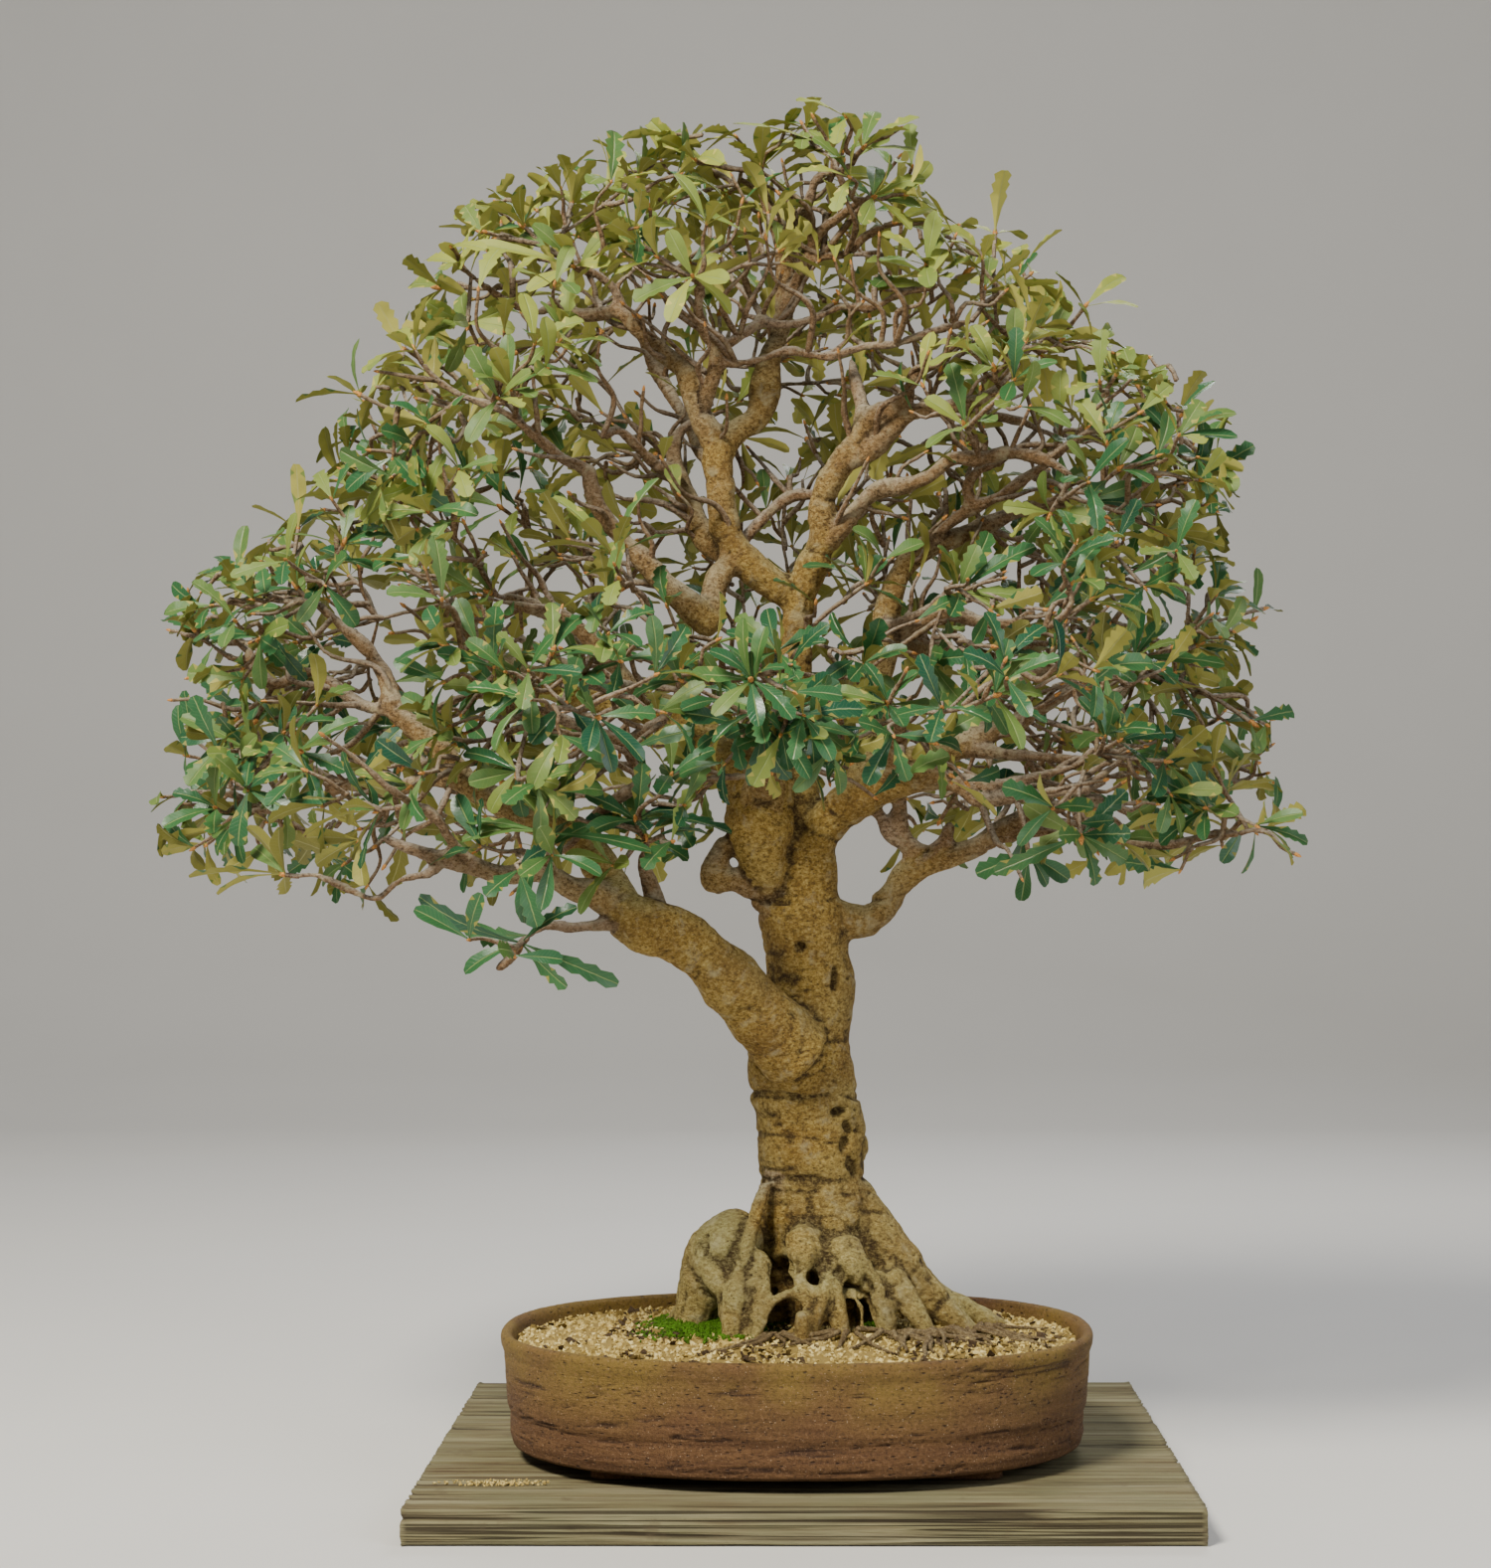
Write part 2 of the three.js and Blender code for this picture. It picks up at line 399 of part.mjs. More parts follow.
function solid(points, faces) {
  return new wasm.Manifold(
    new wasm.Mesh({
      numProp: 3,
      vertProperties: new Float32Array(points.flatMap((point) => [point.x, point.y, point.z])),
      triVerts: new Uint32Array(faces.flat()),
    }),
  );
}

function solidOfGeometry(geometry) {
  const bare = geometry.clone();
  bare.deleteAttribute('normal');
  bare.deleteAttribute('uv');
  const merged = mergeVertices(bare, 1e-3);
  return new wasm.Manifold(
    new wasm.Mesh({
      numProp: 3,
      vertProperties: new Float32Array(merged.attributes.position.array),
      triVerts: new Uint32Array(merged.index.array),
    }),
  );
}

function unite(solids) {
  return wasm.Manifold.union(solids);
}

// The largest body of a solid, without loose scraps and sealed hollows
function oneBody(joined) {
  const shells = joined.decompose();
  shells.sort((first, second) => second.volume() - first.volume());
  return shells[0];
}

function meets(first, second) {
  const a = first.boundingBox();
  const b = second.boundingBox();
  const apart = [0, 1, 2].some((axis) => a.max[axis] < b.min[axis] || b.max[axis] < a.min[axis]);
  return !apart && !first.intersect(second).isEmpty();
}

const group = new THREE.Group();
group.name = 'coast_banksia_bonsai';

function addNode(name, body, paint) {
  const mesh = body.getMesh();
  const geometry = new THREE.BufferGeometry();
  geometry.setAttribute('position', new THREE.BufferAttribute(mesh.vertProperties, 3));
  geometry.setIndex(new THREE.BufferAttribute(mesh.triVerts, 1));
  geometry.computeVertexNormals();
  const material = new THREE.MeshStandardMaterial({ ...paints[paint], metalness: 0 });
  const node = new THREE.Mesh(geometry, material);
  node.name = name;
  group.add(node);
}

// Faces that close a stack of rings, each with the same number of points, and fan its two ends
function stackFaces(ringCount, sides) {
  const faces = [];
  for (let ring = 0; ring + 1 < ringCount; ring += 1) {
    for (let side = 0; side < sides; side += 1) {
      const here = ring * sides + side;
      const next = ring * sides + ((side + 1) % sides);
      faces.push([here, next, next + sides]);
      faces.push([here, next + sides, here + sides]);
    }
  }
  const bottom = ringCount * sides;
  const last = (ringCount - 1) * sides;
  for (let side = 0; side < sides; side += 1) {
    const next = (side + 1) % sides;
    faces.push([bottom, next, side]);
    faces.push([bottom + 1, last + side, last + next]);
  }
  return faces;
}

// A tapered tube along a line of points with its ends rounded off to a point
function tube(line, radii, sides) {
  const points = [];
  const lastIndex = line.length - 1;
  const across = new THREE.Vector3(0.31, 0.17, 0.94);
  let heading = new THREE.Vector3();
  for (let index = 0; index <= lastIndex; index += 1) {
    const before = line[Math.max(index - 1, 0)];
    const after = line[Math.min(index + 1, lastIndex)];
    heading = after.clone().sub(before).normalize();
    across.addScaledVector(heading, -across.dot(heading)).normalize();
    const other = heading.clone().cross(across);
    for (let side = 0; side < sides; side += 1) {
      const turn = (side / sides) * Math.PI * 2;
      points.push(
        line[index]
          .clone()
          .addScaledVector(across, Math.cos(turn) * radii[index])
          .addScaledVector(other, Math.sin(turn) * radii[index]),
      );
    }
  }
  const start = line[0].clone().sub(line[1]).setLength(radii[0] * 0.6);
  const end = heading.clone().setLength(radii[lastIndex] * 0.6);
  points.push(line[0].clone().add(start), line[lastIndex].clone().add(end));
  return solid(points, stackFaces(line.length, sides));
}

function sidesFor(radius) {
  if (radius > 10) return 7;
  if (radius > 7) return 5;
  return radius > 4.6 ? 4 : 3;
}

// The points of a limb that bend or swell it by more than a little
function neededPoints(points) {
  const kept = [points[0]];
  for (let index = 1; index + 1 < points.length; index += 1) {
    const before = kept[kept.length - 1];
    const after = points[index + 1];
    const whole = fromFront(after).sub(fromFront(before));
    const part = fromFront(points[index]).sub(fromFront(before));
    const share = part.dot(whole) / whole.lengthSq();
    const off = part.addScaledVector(whole, -share).length();
    const swell = Math.abs(points[index][3] - before[3] - share * (after[3] - before[3]));
    if (off + swell > leastBend) kept.push(points[index]);
  }
  kept.push(points[points.length - 1]);
  return kept;
}

// The tubes of one limb. A limb that turns sharply is made of two that meet at the turn.
function limbTubes(limbPoints, grow) {
  const points = neededPoints(limbPoints);
  const line = points.map(fromFront);
  const radii = points.map((point) => point[3] * spreadAt(point[2]) + grow);
  const runs = [];
  let first = 0;
  for (let index = 1; index + 1 < line.length; index += 1) {
    const arriving = line[index].clone().sub(line[index - 1]);
    const leaving = line[index + 1].clone().sub(line[index]);
    if (arriving.angleTo(leaving) > sharpTurn) {
      runs.push([first, index]);
      first = index;
    }
  }
  runs.push([first, line.length - 1]);
  return runs.map(([from, to]) => {
    const sides = sidesFor((radii[from] + radii[to]) / 2 - grow);
    return tube(line.slice(from, to + 1), radii.slice(from, to + 1), sides);
  });
}

// The trunk's rings, with a seeded bumpiness
function trunkBody(grow) {
  const points = [];
  trunkSections.forEach(([height, across, halfWidth, halfDepth, depth], ring) => {
    const middle = fromFront([across, height, depth]);
    for (let side = 0; side < trunkSides; side += 1) {
      const turn = (side / trunkSides) * Math.PI * 2;
      const bump = 1 + barkBump * (draw(ring, side) - 0.5);
      points.push(
        new THREE.Vector3(
          middle.x + Math.cos(turn) * (halfWidth * spreadAt(depth) * bump + grow),
          middle.y + Math.sin(turn) * (halfDepth * bump + grow),
          middle.z,
        ),
      );
    }
  });
  const [lowest] = trunkSections;
  const highest = trunkSections[trunkSections.length - 1];
  points.push(fromFront([lowest[1], lowest[0] - 3 - grow, lowest[4]]));
  points.push(fromFront([highest[1], highest[0] + 6 + grow, highest[4]]));
  return solid(points, stackFaces(trunkSections.length, trunkSides));
}

function woodBody(grow) {
  const parts = [trunkBody(grow)];
  for (const [, ...points] of [...roots, ...limbs]) {
    parts.push(...limbTubes(points, grow));
  }
  return unite(parts);
}

// The way that a blade's upper face looks: along the twig and leaning, but never twisted over
function bladeFace(along, axis, lean) {
  const upright = axis.clone().addScaledVector(along, -axis.dot(along));
  const face = axis.clone().add(lean);
  face.addScaledVector(along, -face.dot(along)).normalize();
  if (upright.length() < 0.1 || face.angleTo(upright) < mostLean) return face;
  return upright.normalize();
}

// One whorl of thin blades that share a hub at the end of a twig. Each leaf has its tip and the
// rows of its edge, and starts between two corners of the hub.
function whorl(centre, axis, leaves, spare) {
  const half = (bladeThickness + spare) / 2;
  const level = axis.clone().cross(new THREE.Vector3(0.3, 0.2, 1)).normalize();
  const other = axis.clone().cross(level);
  const placed = leaves.map((leaf) => {
    const way = leaf.tip.clone().sub(centre);
    return { ...leaf, way, turn: Math.atan2(way.dot(other), way.dot(level)) };
  });
  placed.sort((first, second) => first.turn - second.turn);
  const upper = [];
  const lower = [];
  const addCorner = (turn) => {
    const corner = centre.clone();
    corner.addScaledVector(level, Math.cos(turn) * (hubRadius + spare));
    corner.addScaledVector(other, Math.sin(turn) * (hubRadius + spare));
    upper.push(corner.clone().addScaledVector(axis, half));
    lower.push(corner.clone().addScaledVector(axis, -half));
    return upper.length - 1;
  };
  placed.forEach((leaf, index) => {
    const next = placed[(index + 1) % placed.length];
    const step = (next.turn - leaf.turn + Math.PI * 2) % (Math.PI * 2) || Math.PI * 2;
    const share = Math.min(step / 2, Math.PI / 2);
    leaf.leftAt = addCorner(leaf.turn + share);
    next.rightAt = step > Math.PI ? addCorner(next.turn - share) : leaf.leftAt;
  });
  const faces = [];
  for (let corner = 1; corner + 1 < upper.length; corner += 1) faces.push([0, corner, corner + 1]);
  const rim = [];
  for (const leaf of placed) {
    const length = leaf.way.length();
    const along = leaf.way.clone().normalize();
    const face = bladeFace(along, axis, leaf.lean);
    const side = along.clone().cross(face);
    const rightRim = [leaf.rightAt];
    const leftRim = [leaf.leftAt];
    for (const [share, spread] of leaf.edge) {
      const arch = bladeArch * length * share * (1 - share) * 4;
      const middle = centre.clone().addScaledVector(along, share * length).addScaledVector(face, arch);
      const reach = side.clone().multiplyScalar((spread * (leaf.width + spare)) / 2);
      for (const sign of [1, -1]) {
        const point = middle.clone().addScaledVector(reach, sign);
        upper.push(point.clone().addScaledVector(face, half));
        lower.push(point.clone().addScaledVector(face, -half));
      }
      const right = upper.length - 2;
      const left = upper.length - 1;
      faces.push([rightRim[rightRim.length - 1], right, left]);
      faces.push([rightRim[rightRim.length - 1], left, leftRim[0]]);
      rightRim.push(right);
      leftRim.unshift(left);
    }
    rim.push(...rightRim, ...leftRim);
  }
  const under = upper.length;
  const lowerFaces = faces.map(([a, b, c]) => [c + under, b + under, a + under]);
  const walls = rim.flatMap((here, index) => {
    const next = rim[(index + 1) % rim.length];
    return here === next ? [] : [[here, here + under, next + under], [here, next + under, next]];
  });
  return solid([...upper, ...lower], [...faces, ...lowerFaces, ...walls]);
}

// Places that a twig can grow from: along each limb, and later along the twigs too
function bearingPoints() {
  const places = [];
  for (const [, ...points] of limbs) {
    const line = points.map(fromFront);
    for (let index = 0; index + 1 < line.length; index += 1) {
      const steps = Math.max(1, Math.round(line[index].distanceTo(line[index + 1]) / bearingStep));
      for (let step = 0; step <= steps; step += 1) {
        const share = step / steps;
        places.push({
          at: line[index].clone().lerp(line[index + 1], share),
          radius: points[index][3] * (1 - share) + points[index + 1][3] * share,
          spray: null,
        });
      }
    }
  }
  return places;
}

// How far a twig has to grow from a place to a rosette, where growing inwards counts extra
function growCost(place, target) {
  const way = target.clone().sub(place.at);
  const outward = target.clone().sub(crownHeart).normalize();
  const length = way.length();
  const inward = length > 0 ? 1 - way.dot(outward) / length : 0;
  const onLimb = place.spray ? 1 : limbCost;
  return length * (1 + inwardCost * inward) * onLimb;
}

// A kinked line from a bearing place to a rosette
function twigLine(place, target, seed, attempt) {
  const heading = target.clone().sub(place.at);
  const length = heading.length();
  heading.normalize();
  const level = heading.clone().cross(new THREE.Vector3(0.2, 0.1, 1)).normalize();
  const other = heading.clone().cross(level);
  const kinks = Math.min(3, Math.max(1, Math.round(length / kinkStep)));
  const sway = length * (twigSway + 0.1 * attempt);
  const line = [place.at.clone()];
  for (let kink = 1; kink <= kinks; kink += 1) {
    const point = place.at.clone().lerp(target, kink / (kinks + 1));
    point.addScaledVector(level, (draw(seed, kink + attempt * 7) - 0.5) * sway);
    point.addScaledVector(other, (draw(seed, kink + 40 + attempt * 7) - 0.5) * sway);
    line.push(point);
  }
  line.push(target.clone());
  return line;
}

// Where a twig's line leaves what bears it
function leavingPoint(line, place) {
  const first = line[0].distanceTo(line[1]);
  return line[0].clone().lerp(line[1], Math.min(0.8, (place.radius + 2) / first));
}

function twigRadii(line, place) {
  let run = 0;
  for (let index = 1; index < line.length; index += 1) {
    run += line[index].distanceTo(line[index - 1]);
  }
  const thick = Math.min(place.radius * 0.8, twigTipRadius + run * 0.014);
  return line.map((point, index) => {
    const share = index / (line.length - 1);
    return thick * (1 - share) + twigTipRadius * share;
  });
}

// Where the tips of a rosette's leaves lie: those read off the front view first, then seeded ones
function leafTips(rosette, seed, heading) {
  const [place, ...seen] = rosette;
  const centre = fromFront(place);
  const tips = seen.map(([across, up], index) => {
    const flat = fromFront([across, up, place[2]]);
    const shown = flat.distanceTo(centre);
    const length = leafLength * (0.9 + 0.25 * draw(seed, 60 + index));
    const slant = Math.sqrt(Math.max(0, length * length - shown * shown)) * 0.85;
    const away = draw(seed, 70 + index) > 0.5 ? slant : -slant;
    return fromFront([across, up, place[2] + away]);
  });
  const level = heading.clone().cross(new THREE.Vector3(0.3, 0.2, 1)).normalize();
  const other = heading.clone().cross(level);
  for (let index = tips.length; index < leafTries; index += 1) {
    const turn = (index * 2.4 + draw(seed, 80) * 6.28);
    const open = 0.75 + 0.5 * draw(seed, 90 + index);
    const length = leafLength * (0.85 + 0.3 * draw(seed, 100 + index));
    const way = heading.clone().multiplyScalar(Math.cos(open));
    way.addScaledVector(level, Math.sin(open) * Math.cos(turn));
    way.addScaledVector(other, Math.sin(open) * Math.sin(turn));
    tips.push(centre.clone().addScaledVector(way, length));
  }
  return tips;
}

function leafOf(centre, tip, seed, index) {
  return {
    tip,
    edge: draw(seed, 130 + index) < toothedShare ? toothedEdge : plainEdge,
    width: 5.5 + 0.11 * tip.distanceTo(centre),
    lean: new THREE.Vector3(draw(seed, 110 + index) - 0.5, draw(seed, 120 + index) - 0.7, 0.9),
  };
}

// One plank: a stack of chamfered sections along the board, worn unevenly where its edge is free
function plankBody(front, back, frontWear, backWear, seed) {
  const stations = 5;
  const points = [];
  for (let station = 0; station < stations; station += 1) {
    const x = -boardWidth / 2 + (boardWidth * station) / (stations - 1);
    const near = front + draw(seed, station) * frontWear;
    const far = back - draw(seed, station + 20) * backWear;
    const end = station === 0 || station === stations - 1 ? plankChamfer : 0;
    const inset = Math.sign(x) * end;
    const section = [
      [x, near + plankChamfer, 0],
      [x, far - plankChamfer, 0],
      [x, far, plankChamfer],
      [x, far, boardThickness - plankChamfer],
      [x - inset, far - plankChamfer, boardThickness],
      [x - inset, near + plankChamfer, boardThickness],
      [x, near, boardThickness - plankChamfer],
      [x, near, plankChamfer],
    ];
    points.push(...section.map((corner) => new THREE.Vector3(...corner)));
  }
  const middle = (front + back) / 2;
  points.push(new THREE.Vector3(-boardWidth / 2, middle, boardThickness / 2));
  points.push(new THREE.Vector3(boardWidth / 2, middle, boardThickness / 2));
  return solid(points, stackFaces(stations, 8));
}

let plankFront = -boardDepth / 2;
plankDepths.forEach((depth, index) => {
  const front = plankFront + (index > 0 ? plankSlit / 2 : 0);
  plankFront += depth;
  const back = plankFront - (index < plankDepths.length - 1 ? plankSlit / 2 : 0);
  const frontWear = index === 0 ? plankWear : 0;
  const backWear = index === plankDepths.length - 1 ? plankWear : 0;
  const name = ['board_front_plank', 'board_middle_plank', 'board_back_plank'][index];
  addNode(name, plankBody(front, back, frontWear, backWear, 300 + index), 'board');
});

// A stack of ovals about the pot's middle. Each row gives how far it lies inside the rim and its height.
function ovalStack(profile, sides, roughness, seed) {
  const points = [];
  profile.forEach(([inset, height], ring) => {
    for (let side = 0; side < sides; side += 1) {
      const turn = (side / sides) * Math.PI * 2;
      const lift = roughness[ring] ? roughness[ring] * (draw(seed + ring, side) - 0.5) : 0;
      const x = Math.cos(turn);
      const y = Math.sin(turn);
      points.push(
        new THREE.Vector3(
          potCentre[0] + Math.sign(x) * Math.abs(x) ** ovalPower * (potWidth / 2 - inset),
          potCentre[1] + Math.sign(y) * Math.abs(y) ** ovalPower * (potDepth / 2 - inset),
          height + lift,
        ),
      );
    }
  });
  points.push(new THREE.Vector3(...potCentre, profile[0][1]));
  points.push(new THREE.Vector3(...potCentre, profile[profile.length - 1][1] + 0.5));
  return solid(points, stackFaces(profile.length, sides));
}

function boxBody(size, middle) {
  return solidOfGeometry(new THREE.BoxGeometry(...size).translate(...middle));
}

function drainPost(x) {
  const post = new THREE.CylinderGeometry(drainRadius, drainRadius, potFloor * 4, 12);
  post.rotateX(Math.PI / 2).translate(x, potCentre[1], floorTop - potFloor);
  return solidOfGeometry(post);
}

const potUnderside = potBottom + footHeight;
const floorTop = potUnderside + potFloor;
const soilEdge = rimHeight - soilRimDrop;
const drainPlaces = [potCentre[0] - drainOffset, potCentre[0] + drainOffset];

// The pot's wall bellies a little, with the shallow ledges that the torn clay left
const potOutside = [
  [16, potUnderside],
  [9, potUnderside + 2],
  [6.5, potUnderside + 9],
  [7, potUnderside + 24],
  [5, potUnderside + 28],
  [3, potUnderside + 50],
  [2.5, rimHeight - 14],
  [0, rimHeight - 11],
  [0, rimHeight - 3],
  [2.5, rimHeight],
];
const potInside = [
  [potWall + 16, floorTop],
  [potWall + 7, floorTop + 6],
  [potWall + 3, rimHeight - 16],
  [potWall - 2, rimHeight + 1],
];
const footPlaces = [-footAcross, footAcross].flatMap((x) => [-footDeep, footDeep].map((y) => [x, y]));
let pot = ovalStack(potOutside, potSides, [], 0).subtract(ovalStack(potInside, potSides, [], 0));
for (const x of drainPlaces) pot = pot.subtract(drainPost(x));
for (const [x, y] of footPlaces) {
  const middle = [potCentre[0] + x, potCentre[1] + y, potBottom + (footHeight + 2) / 2];
  pot = pot.add(boxBody([...footSize, footHeight + 2], middle));
}
addNode('pot', pot, 'pot');

// Each drainage hole is covered by a square of plastic mesh that lies on the pot's floor
function screenBody(x, spare) {
  const middle = [x, potCentre[1], floorTop + gap + screenThickness / 2];
  const size = screenSize + spare * 2;
  return boxBody([size, size, screenThickness + spare * 2], middle);
}

drainPlaces.forEach((x, index) => {
  const pitch = screenSize / screenHoles;
  let screen = screenBody(x, 0);
  for (let row = 0; row < screenHoles; row += 1) {
    for (let column = 0; column < screenHoles; column += 1) {
      const holeX = x - screenSize / 2 + (column + 0.5) * pitch;
      const holeY = potCentre[1] - screenSize / 2 + (row + 0.5) * pitch;
      const size = pitch * screenOpen;
      screen = screen.subtract(boxBody([size, size, 4], [holeX, holeY, floorTop + gap]));
    }
  }
  addNode(['drain_screen_left', 'drain_screen_right'][index], screen, 'screen');
});

const woodSleeve = woodBody(gap + 0.05);
addNode('tree_wood', oneBody(woodBody(0)), 'wood');

// Soil fills the pot and mounds towards the trunk, which stands in a hole of its own shape
const soilShape = [
  [potWall + 16 + gap, floorTop + gap],
  [potWall + 7.5 + gap, floorTop + 6.6],
  [potWall + 3.6 + gap, soilEdge - 8],
  [potWall + 2.8 + gap, soilEdge],
  [potWall + 30, soilEdge + soilCrown * 0.45],
  [potWall + 62, soilEdge + soilCrown * 0.75],
  [potWall + 98, soilEdge + soilCrown],
];
const soilBlock = ovalStack(soilShape, potSides, [0, 0, 0, 1.2, 2.4, 2.4, 1.6], 400);
let soil = soilBlock.subtract(woodSleeve);
for (const x of drainPlaces) soil = soil.subtract(screenBody(x, gap));
addNode('soil', oneBody(soil), 'soil');

// A moss pad lies on the soil and keeps clear of the roots
function mossBody([across, depth, halfWidth, halfDepth, height], seed) {
  const sides = 14;
  const rows = [[1, 0], [0.86, 0.55], [0.5, 0.92]];
  const middle = fromFront([across, 0, depth]);
  const base = soilEdge + soilCrown * 0.4;
  const points = rows.flatMap(([share, lift]) =>
    Array.from({ length: sides }, (_, side) => {
      const turn = (side / sides) * Math.PI * 2;
      const reach = share * (0.88 + 0.24 * draw(seed, side));
      return new THREE.Vector3(
        middle.x + Math.cos(turn) * halfWidth * reach,
        middle.y + Math.sin(turn) * halfDepth * reach,
        base + lift * height,
      );
    }),
  );
  points.push(new THREE.Vector3(middle.x, middle.y, base - 1));
  points.push(new THREE.Vector3(middle.x, middle.y, base + height));
  const dome = solid(points, stackFaces(rows.length, sides));
  return oneBody(dome.subtract(soilBlock.translate([0, 0, gap])).subtract(woodSleeve));
}

addNode('moss_pad_left', mossBody(mossPads[0], 500), 'moss');
addNode('moss_pad_right', mossBody(mossPads[1], 520), 'moss');

// The sprays, each a twig with its side twigs and their rosettes of leaves
const sprays = [];
const places = bearingPoints();

function clearOfOthers(candidate, own) {
  if (meets(candidate, woodSleeve)) return false;
  return sprays.every((spray) => spray === own || spray.parts.every((part) => !meets(candidate, part)));
}

// Whether a leaf stands up too straight, or points or starts too close to another of its rosette
function crowds(leaf, others, centre, axis) {
  const way = leaf.tip.clone().sub(centre);
  const flat = way.clone().projectOnPlane(axis);
  if (flat.length() < way.length() * leastSlope) return true;
  return others.some((other) => {
    const otherWay = other.tip.clone().sub(centre);
    const close = way.angleTo(otherWay) < leastAngle;
    return close || flat.angleTo(otherWay.projectOnPlane(axis)) < leastTurn;
  });
}

function growRosette(rosette, seed) {
  const centre = fromFront(rosette[0]);
  const nearest = places
    .map((place) => ({ place, cost: growCost(place, centre) }))
    .sort((first, second) => first.cost - second.cost)
    .slice(0, bearersTried)
    .map((entry) => entry.place);
  for (let attempt = 0; attempt < 3; attempt += 1) {
    for (const place of nearest) {
      const line = twigLine(place, centre, seed, attempt);
      const radii = twigRadii(line, place);
      const own = place.spray;
      const outside = [leavingPoint(line, place), ...line.slice(1)];
      const outer = tube(outside, radii.map((radius) => radius + gap), 4);
      if (!clearOfOthers(outer, own)) continue;
      const spray = own ?? { parts: [] };
      if (!own) sprays.push(spray);
      const heading = centre.clone().sub(line[line.length - 2]).normalize();
      const leaves = [];
      leafTips(rosette, seed, heading).forEach((tip, index) => {
        const leaf = leafOf(centre, tip, seed, index);
        if (leaves.length === leavesPerRosette || crowds(leaf, leaves, centre, heading)) return;
        if (clearOfOthers(whorl(centre, heading, [leaf], gap * 2), null)) leaves.push(leaf);
      });
      line[line.length - 1].addScaledVector(heading, -twigTipSink);
      spray.parts.push(tube(line, radii, 3));
      if (leaves.length > 0) spray.parts.push(whorl(centre, heading, leaves, 0));
      for (let index = 0; index + 2 < line.length; index += 1) {
        places.push({ at: line[index].clone().lerp(line[index + 1], 0.6), radius: radii[index + 1], spray });
        places.push({ at: line[index + 1], radius: radii[index + 1], spray });
      }
      return;
    }
  }
}

const order = rosettes
  .map((rosette, seed) => {
    const centre = fromFront(rosette[0]);
    const nearest = Math.min(...places.map((place) => place.at.distanceTo(centre)));
    return { rosette, seed, nearest };
  })
  .sort((first, second) => first.nearest - second.nearest);
for (const { rosette, seed } of order) growRosette(rosette, seed);
sprays.forEach((spray, index) => {
  const body = oneBody(unite(spray.parts).subtract(woodSleeve));
  addNode(`spray_${String(index + 1).padStart(2, '0')}`, body, 'leaf');
});

export default group;
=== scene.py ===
# The looks of a coast banksia bonsai in an oval stoneware pot on a board of three planks.
# Lengths are in mm until a mesh is made. +Z is up and +Y points away from the tree's front.
import math

import bpy
import numpy as np
from mathutils.kdtree import KDTree
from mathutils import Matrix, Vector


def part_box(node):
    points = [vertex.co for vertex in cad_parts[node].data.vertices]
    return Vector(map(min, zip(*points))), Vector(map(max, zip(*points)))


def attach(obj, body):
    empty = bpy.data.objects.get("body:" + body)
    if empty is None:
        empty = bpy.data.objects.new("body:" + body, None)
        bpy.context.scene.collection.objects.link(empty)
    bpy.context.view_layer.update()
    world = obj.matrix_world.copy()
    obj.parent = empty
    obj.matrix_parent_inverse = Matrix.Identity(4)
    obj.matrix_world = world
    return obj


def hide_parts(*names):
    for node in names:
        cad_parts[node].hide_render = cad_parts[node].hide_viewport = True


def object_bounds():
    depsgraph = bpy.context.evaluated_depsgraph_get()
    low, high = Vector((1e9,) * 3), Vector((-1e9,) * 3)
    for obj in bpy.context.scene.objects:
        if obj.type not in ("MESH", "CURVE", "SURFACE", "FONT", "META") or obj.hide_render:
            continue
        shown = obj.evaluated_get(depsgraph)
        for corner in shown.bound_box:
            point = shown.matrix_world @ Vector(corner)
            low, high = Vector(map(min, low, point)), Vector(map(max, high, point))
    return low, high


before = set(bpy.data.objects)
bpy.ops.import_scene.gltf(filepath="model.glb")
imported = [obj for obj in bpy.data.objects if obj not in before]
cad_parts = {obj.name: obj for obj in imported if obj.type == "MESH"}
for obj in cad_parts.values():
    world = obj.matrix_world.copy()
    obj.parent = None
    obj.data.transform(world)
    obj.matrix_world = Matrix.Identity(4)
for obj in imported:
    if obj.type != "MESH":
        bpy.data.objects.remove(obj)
solid_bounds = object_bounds()

# Driving dimensions, the same as those of the solids
GAP = 0.3
BOARD_WIDTH = 517
PLANK_DEPTHS = (142, 169, 138)
BOARD_THICKNESS = 24
PLANK_SLIT = 0.8
POT_CENTRE = np.array([-5.0, -33.0])
POT_WIDTH = 416
POT_DEPTH = 320
POT_HEIGHT = 86.3
POT_WALL = 9
POT_FLOOR = 10
FOOT_HEIGHT = 7
DRAIN_RADIUS = 11
DRAIN_OFFSET = 95
SOIL_RIM_DROP = 9
SOIL_CROWN = 6.5
OVAL_POWER = 0.86
LEAF_LENGTH = 42
TWIG_TIP_RADIUS = 1.6
EYE_DISTANCE = 2030
EYE_HEIGHT = 441.6
POT_BOTTOM = BOARD_THICKNESS + GAP
RIM_HEIGHT = POT_BOTTOM + POT_HEIGHT
SOIL_EDGE = RIM_HEIGHT - SOIL_RIM_DROP
CROWN_HEART = np.array([0, POT_CENTRE[1], 560])

# Sides of the pot's oval and the mean reach of its wall from its middle
POT_SIDES = 230
POT_REACH = 190
FOOT_ACROSS = 112
FOOT_DEEP = 92
FOOT_SIZE = (52, 30)
FOOT_SIDES = 40
FOOT_POWER = 0.35
DRAIN_SIDES = 24
OUTSIDE_STEP = 1.3
INSIDE_STEP = 3.5
SCREEN_SIZE = 34
SCREEN_THICKNESS = 1.2
SCREEN_STRANDS = 12
STRAND_RADIUS = 0.42
STRAND_SWAY = 0.12
PLANK_EDGE = 1.4
PLANK_STATIONS = 105
SECTION_STEP = 2.3
SOIL_SIDES = 160
SOIL_RINGS = 30
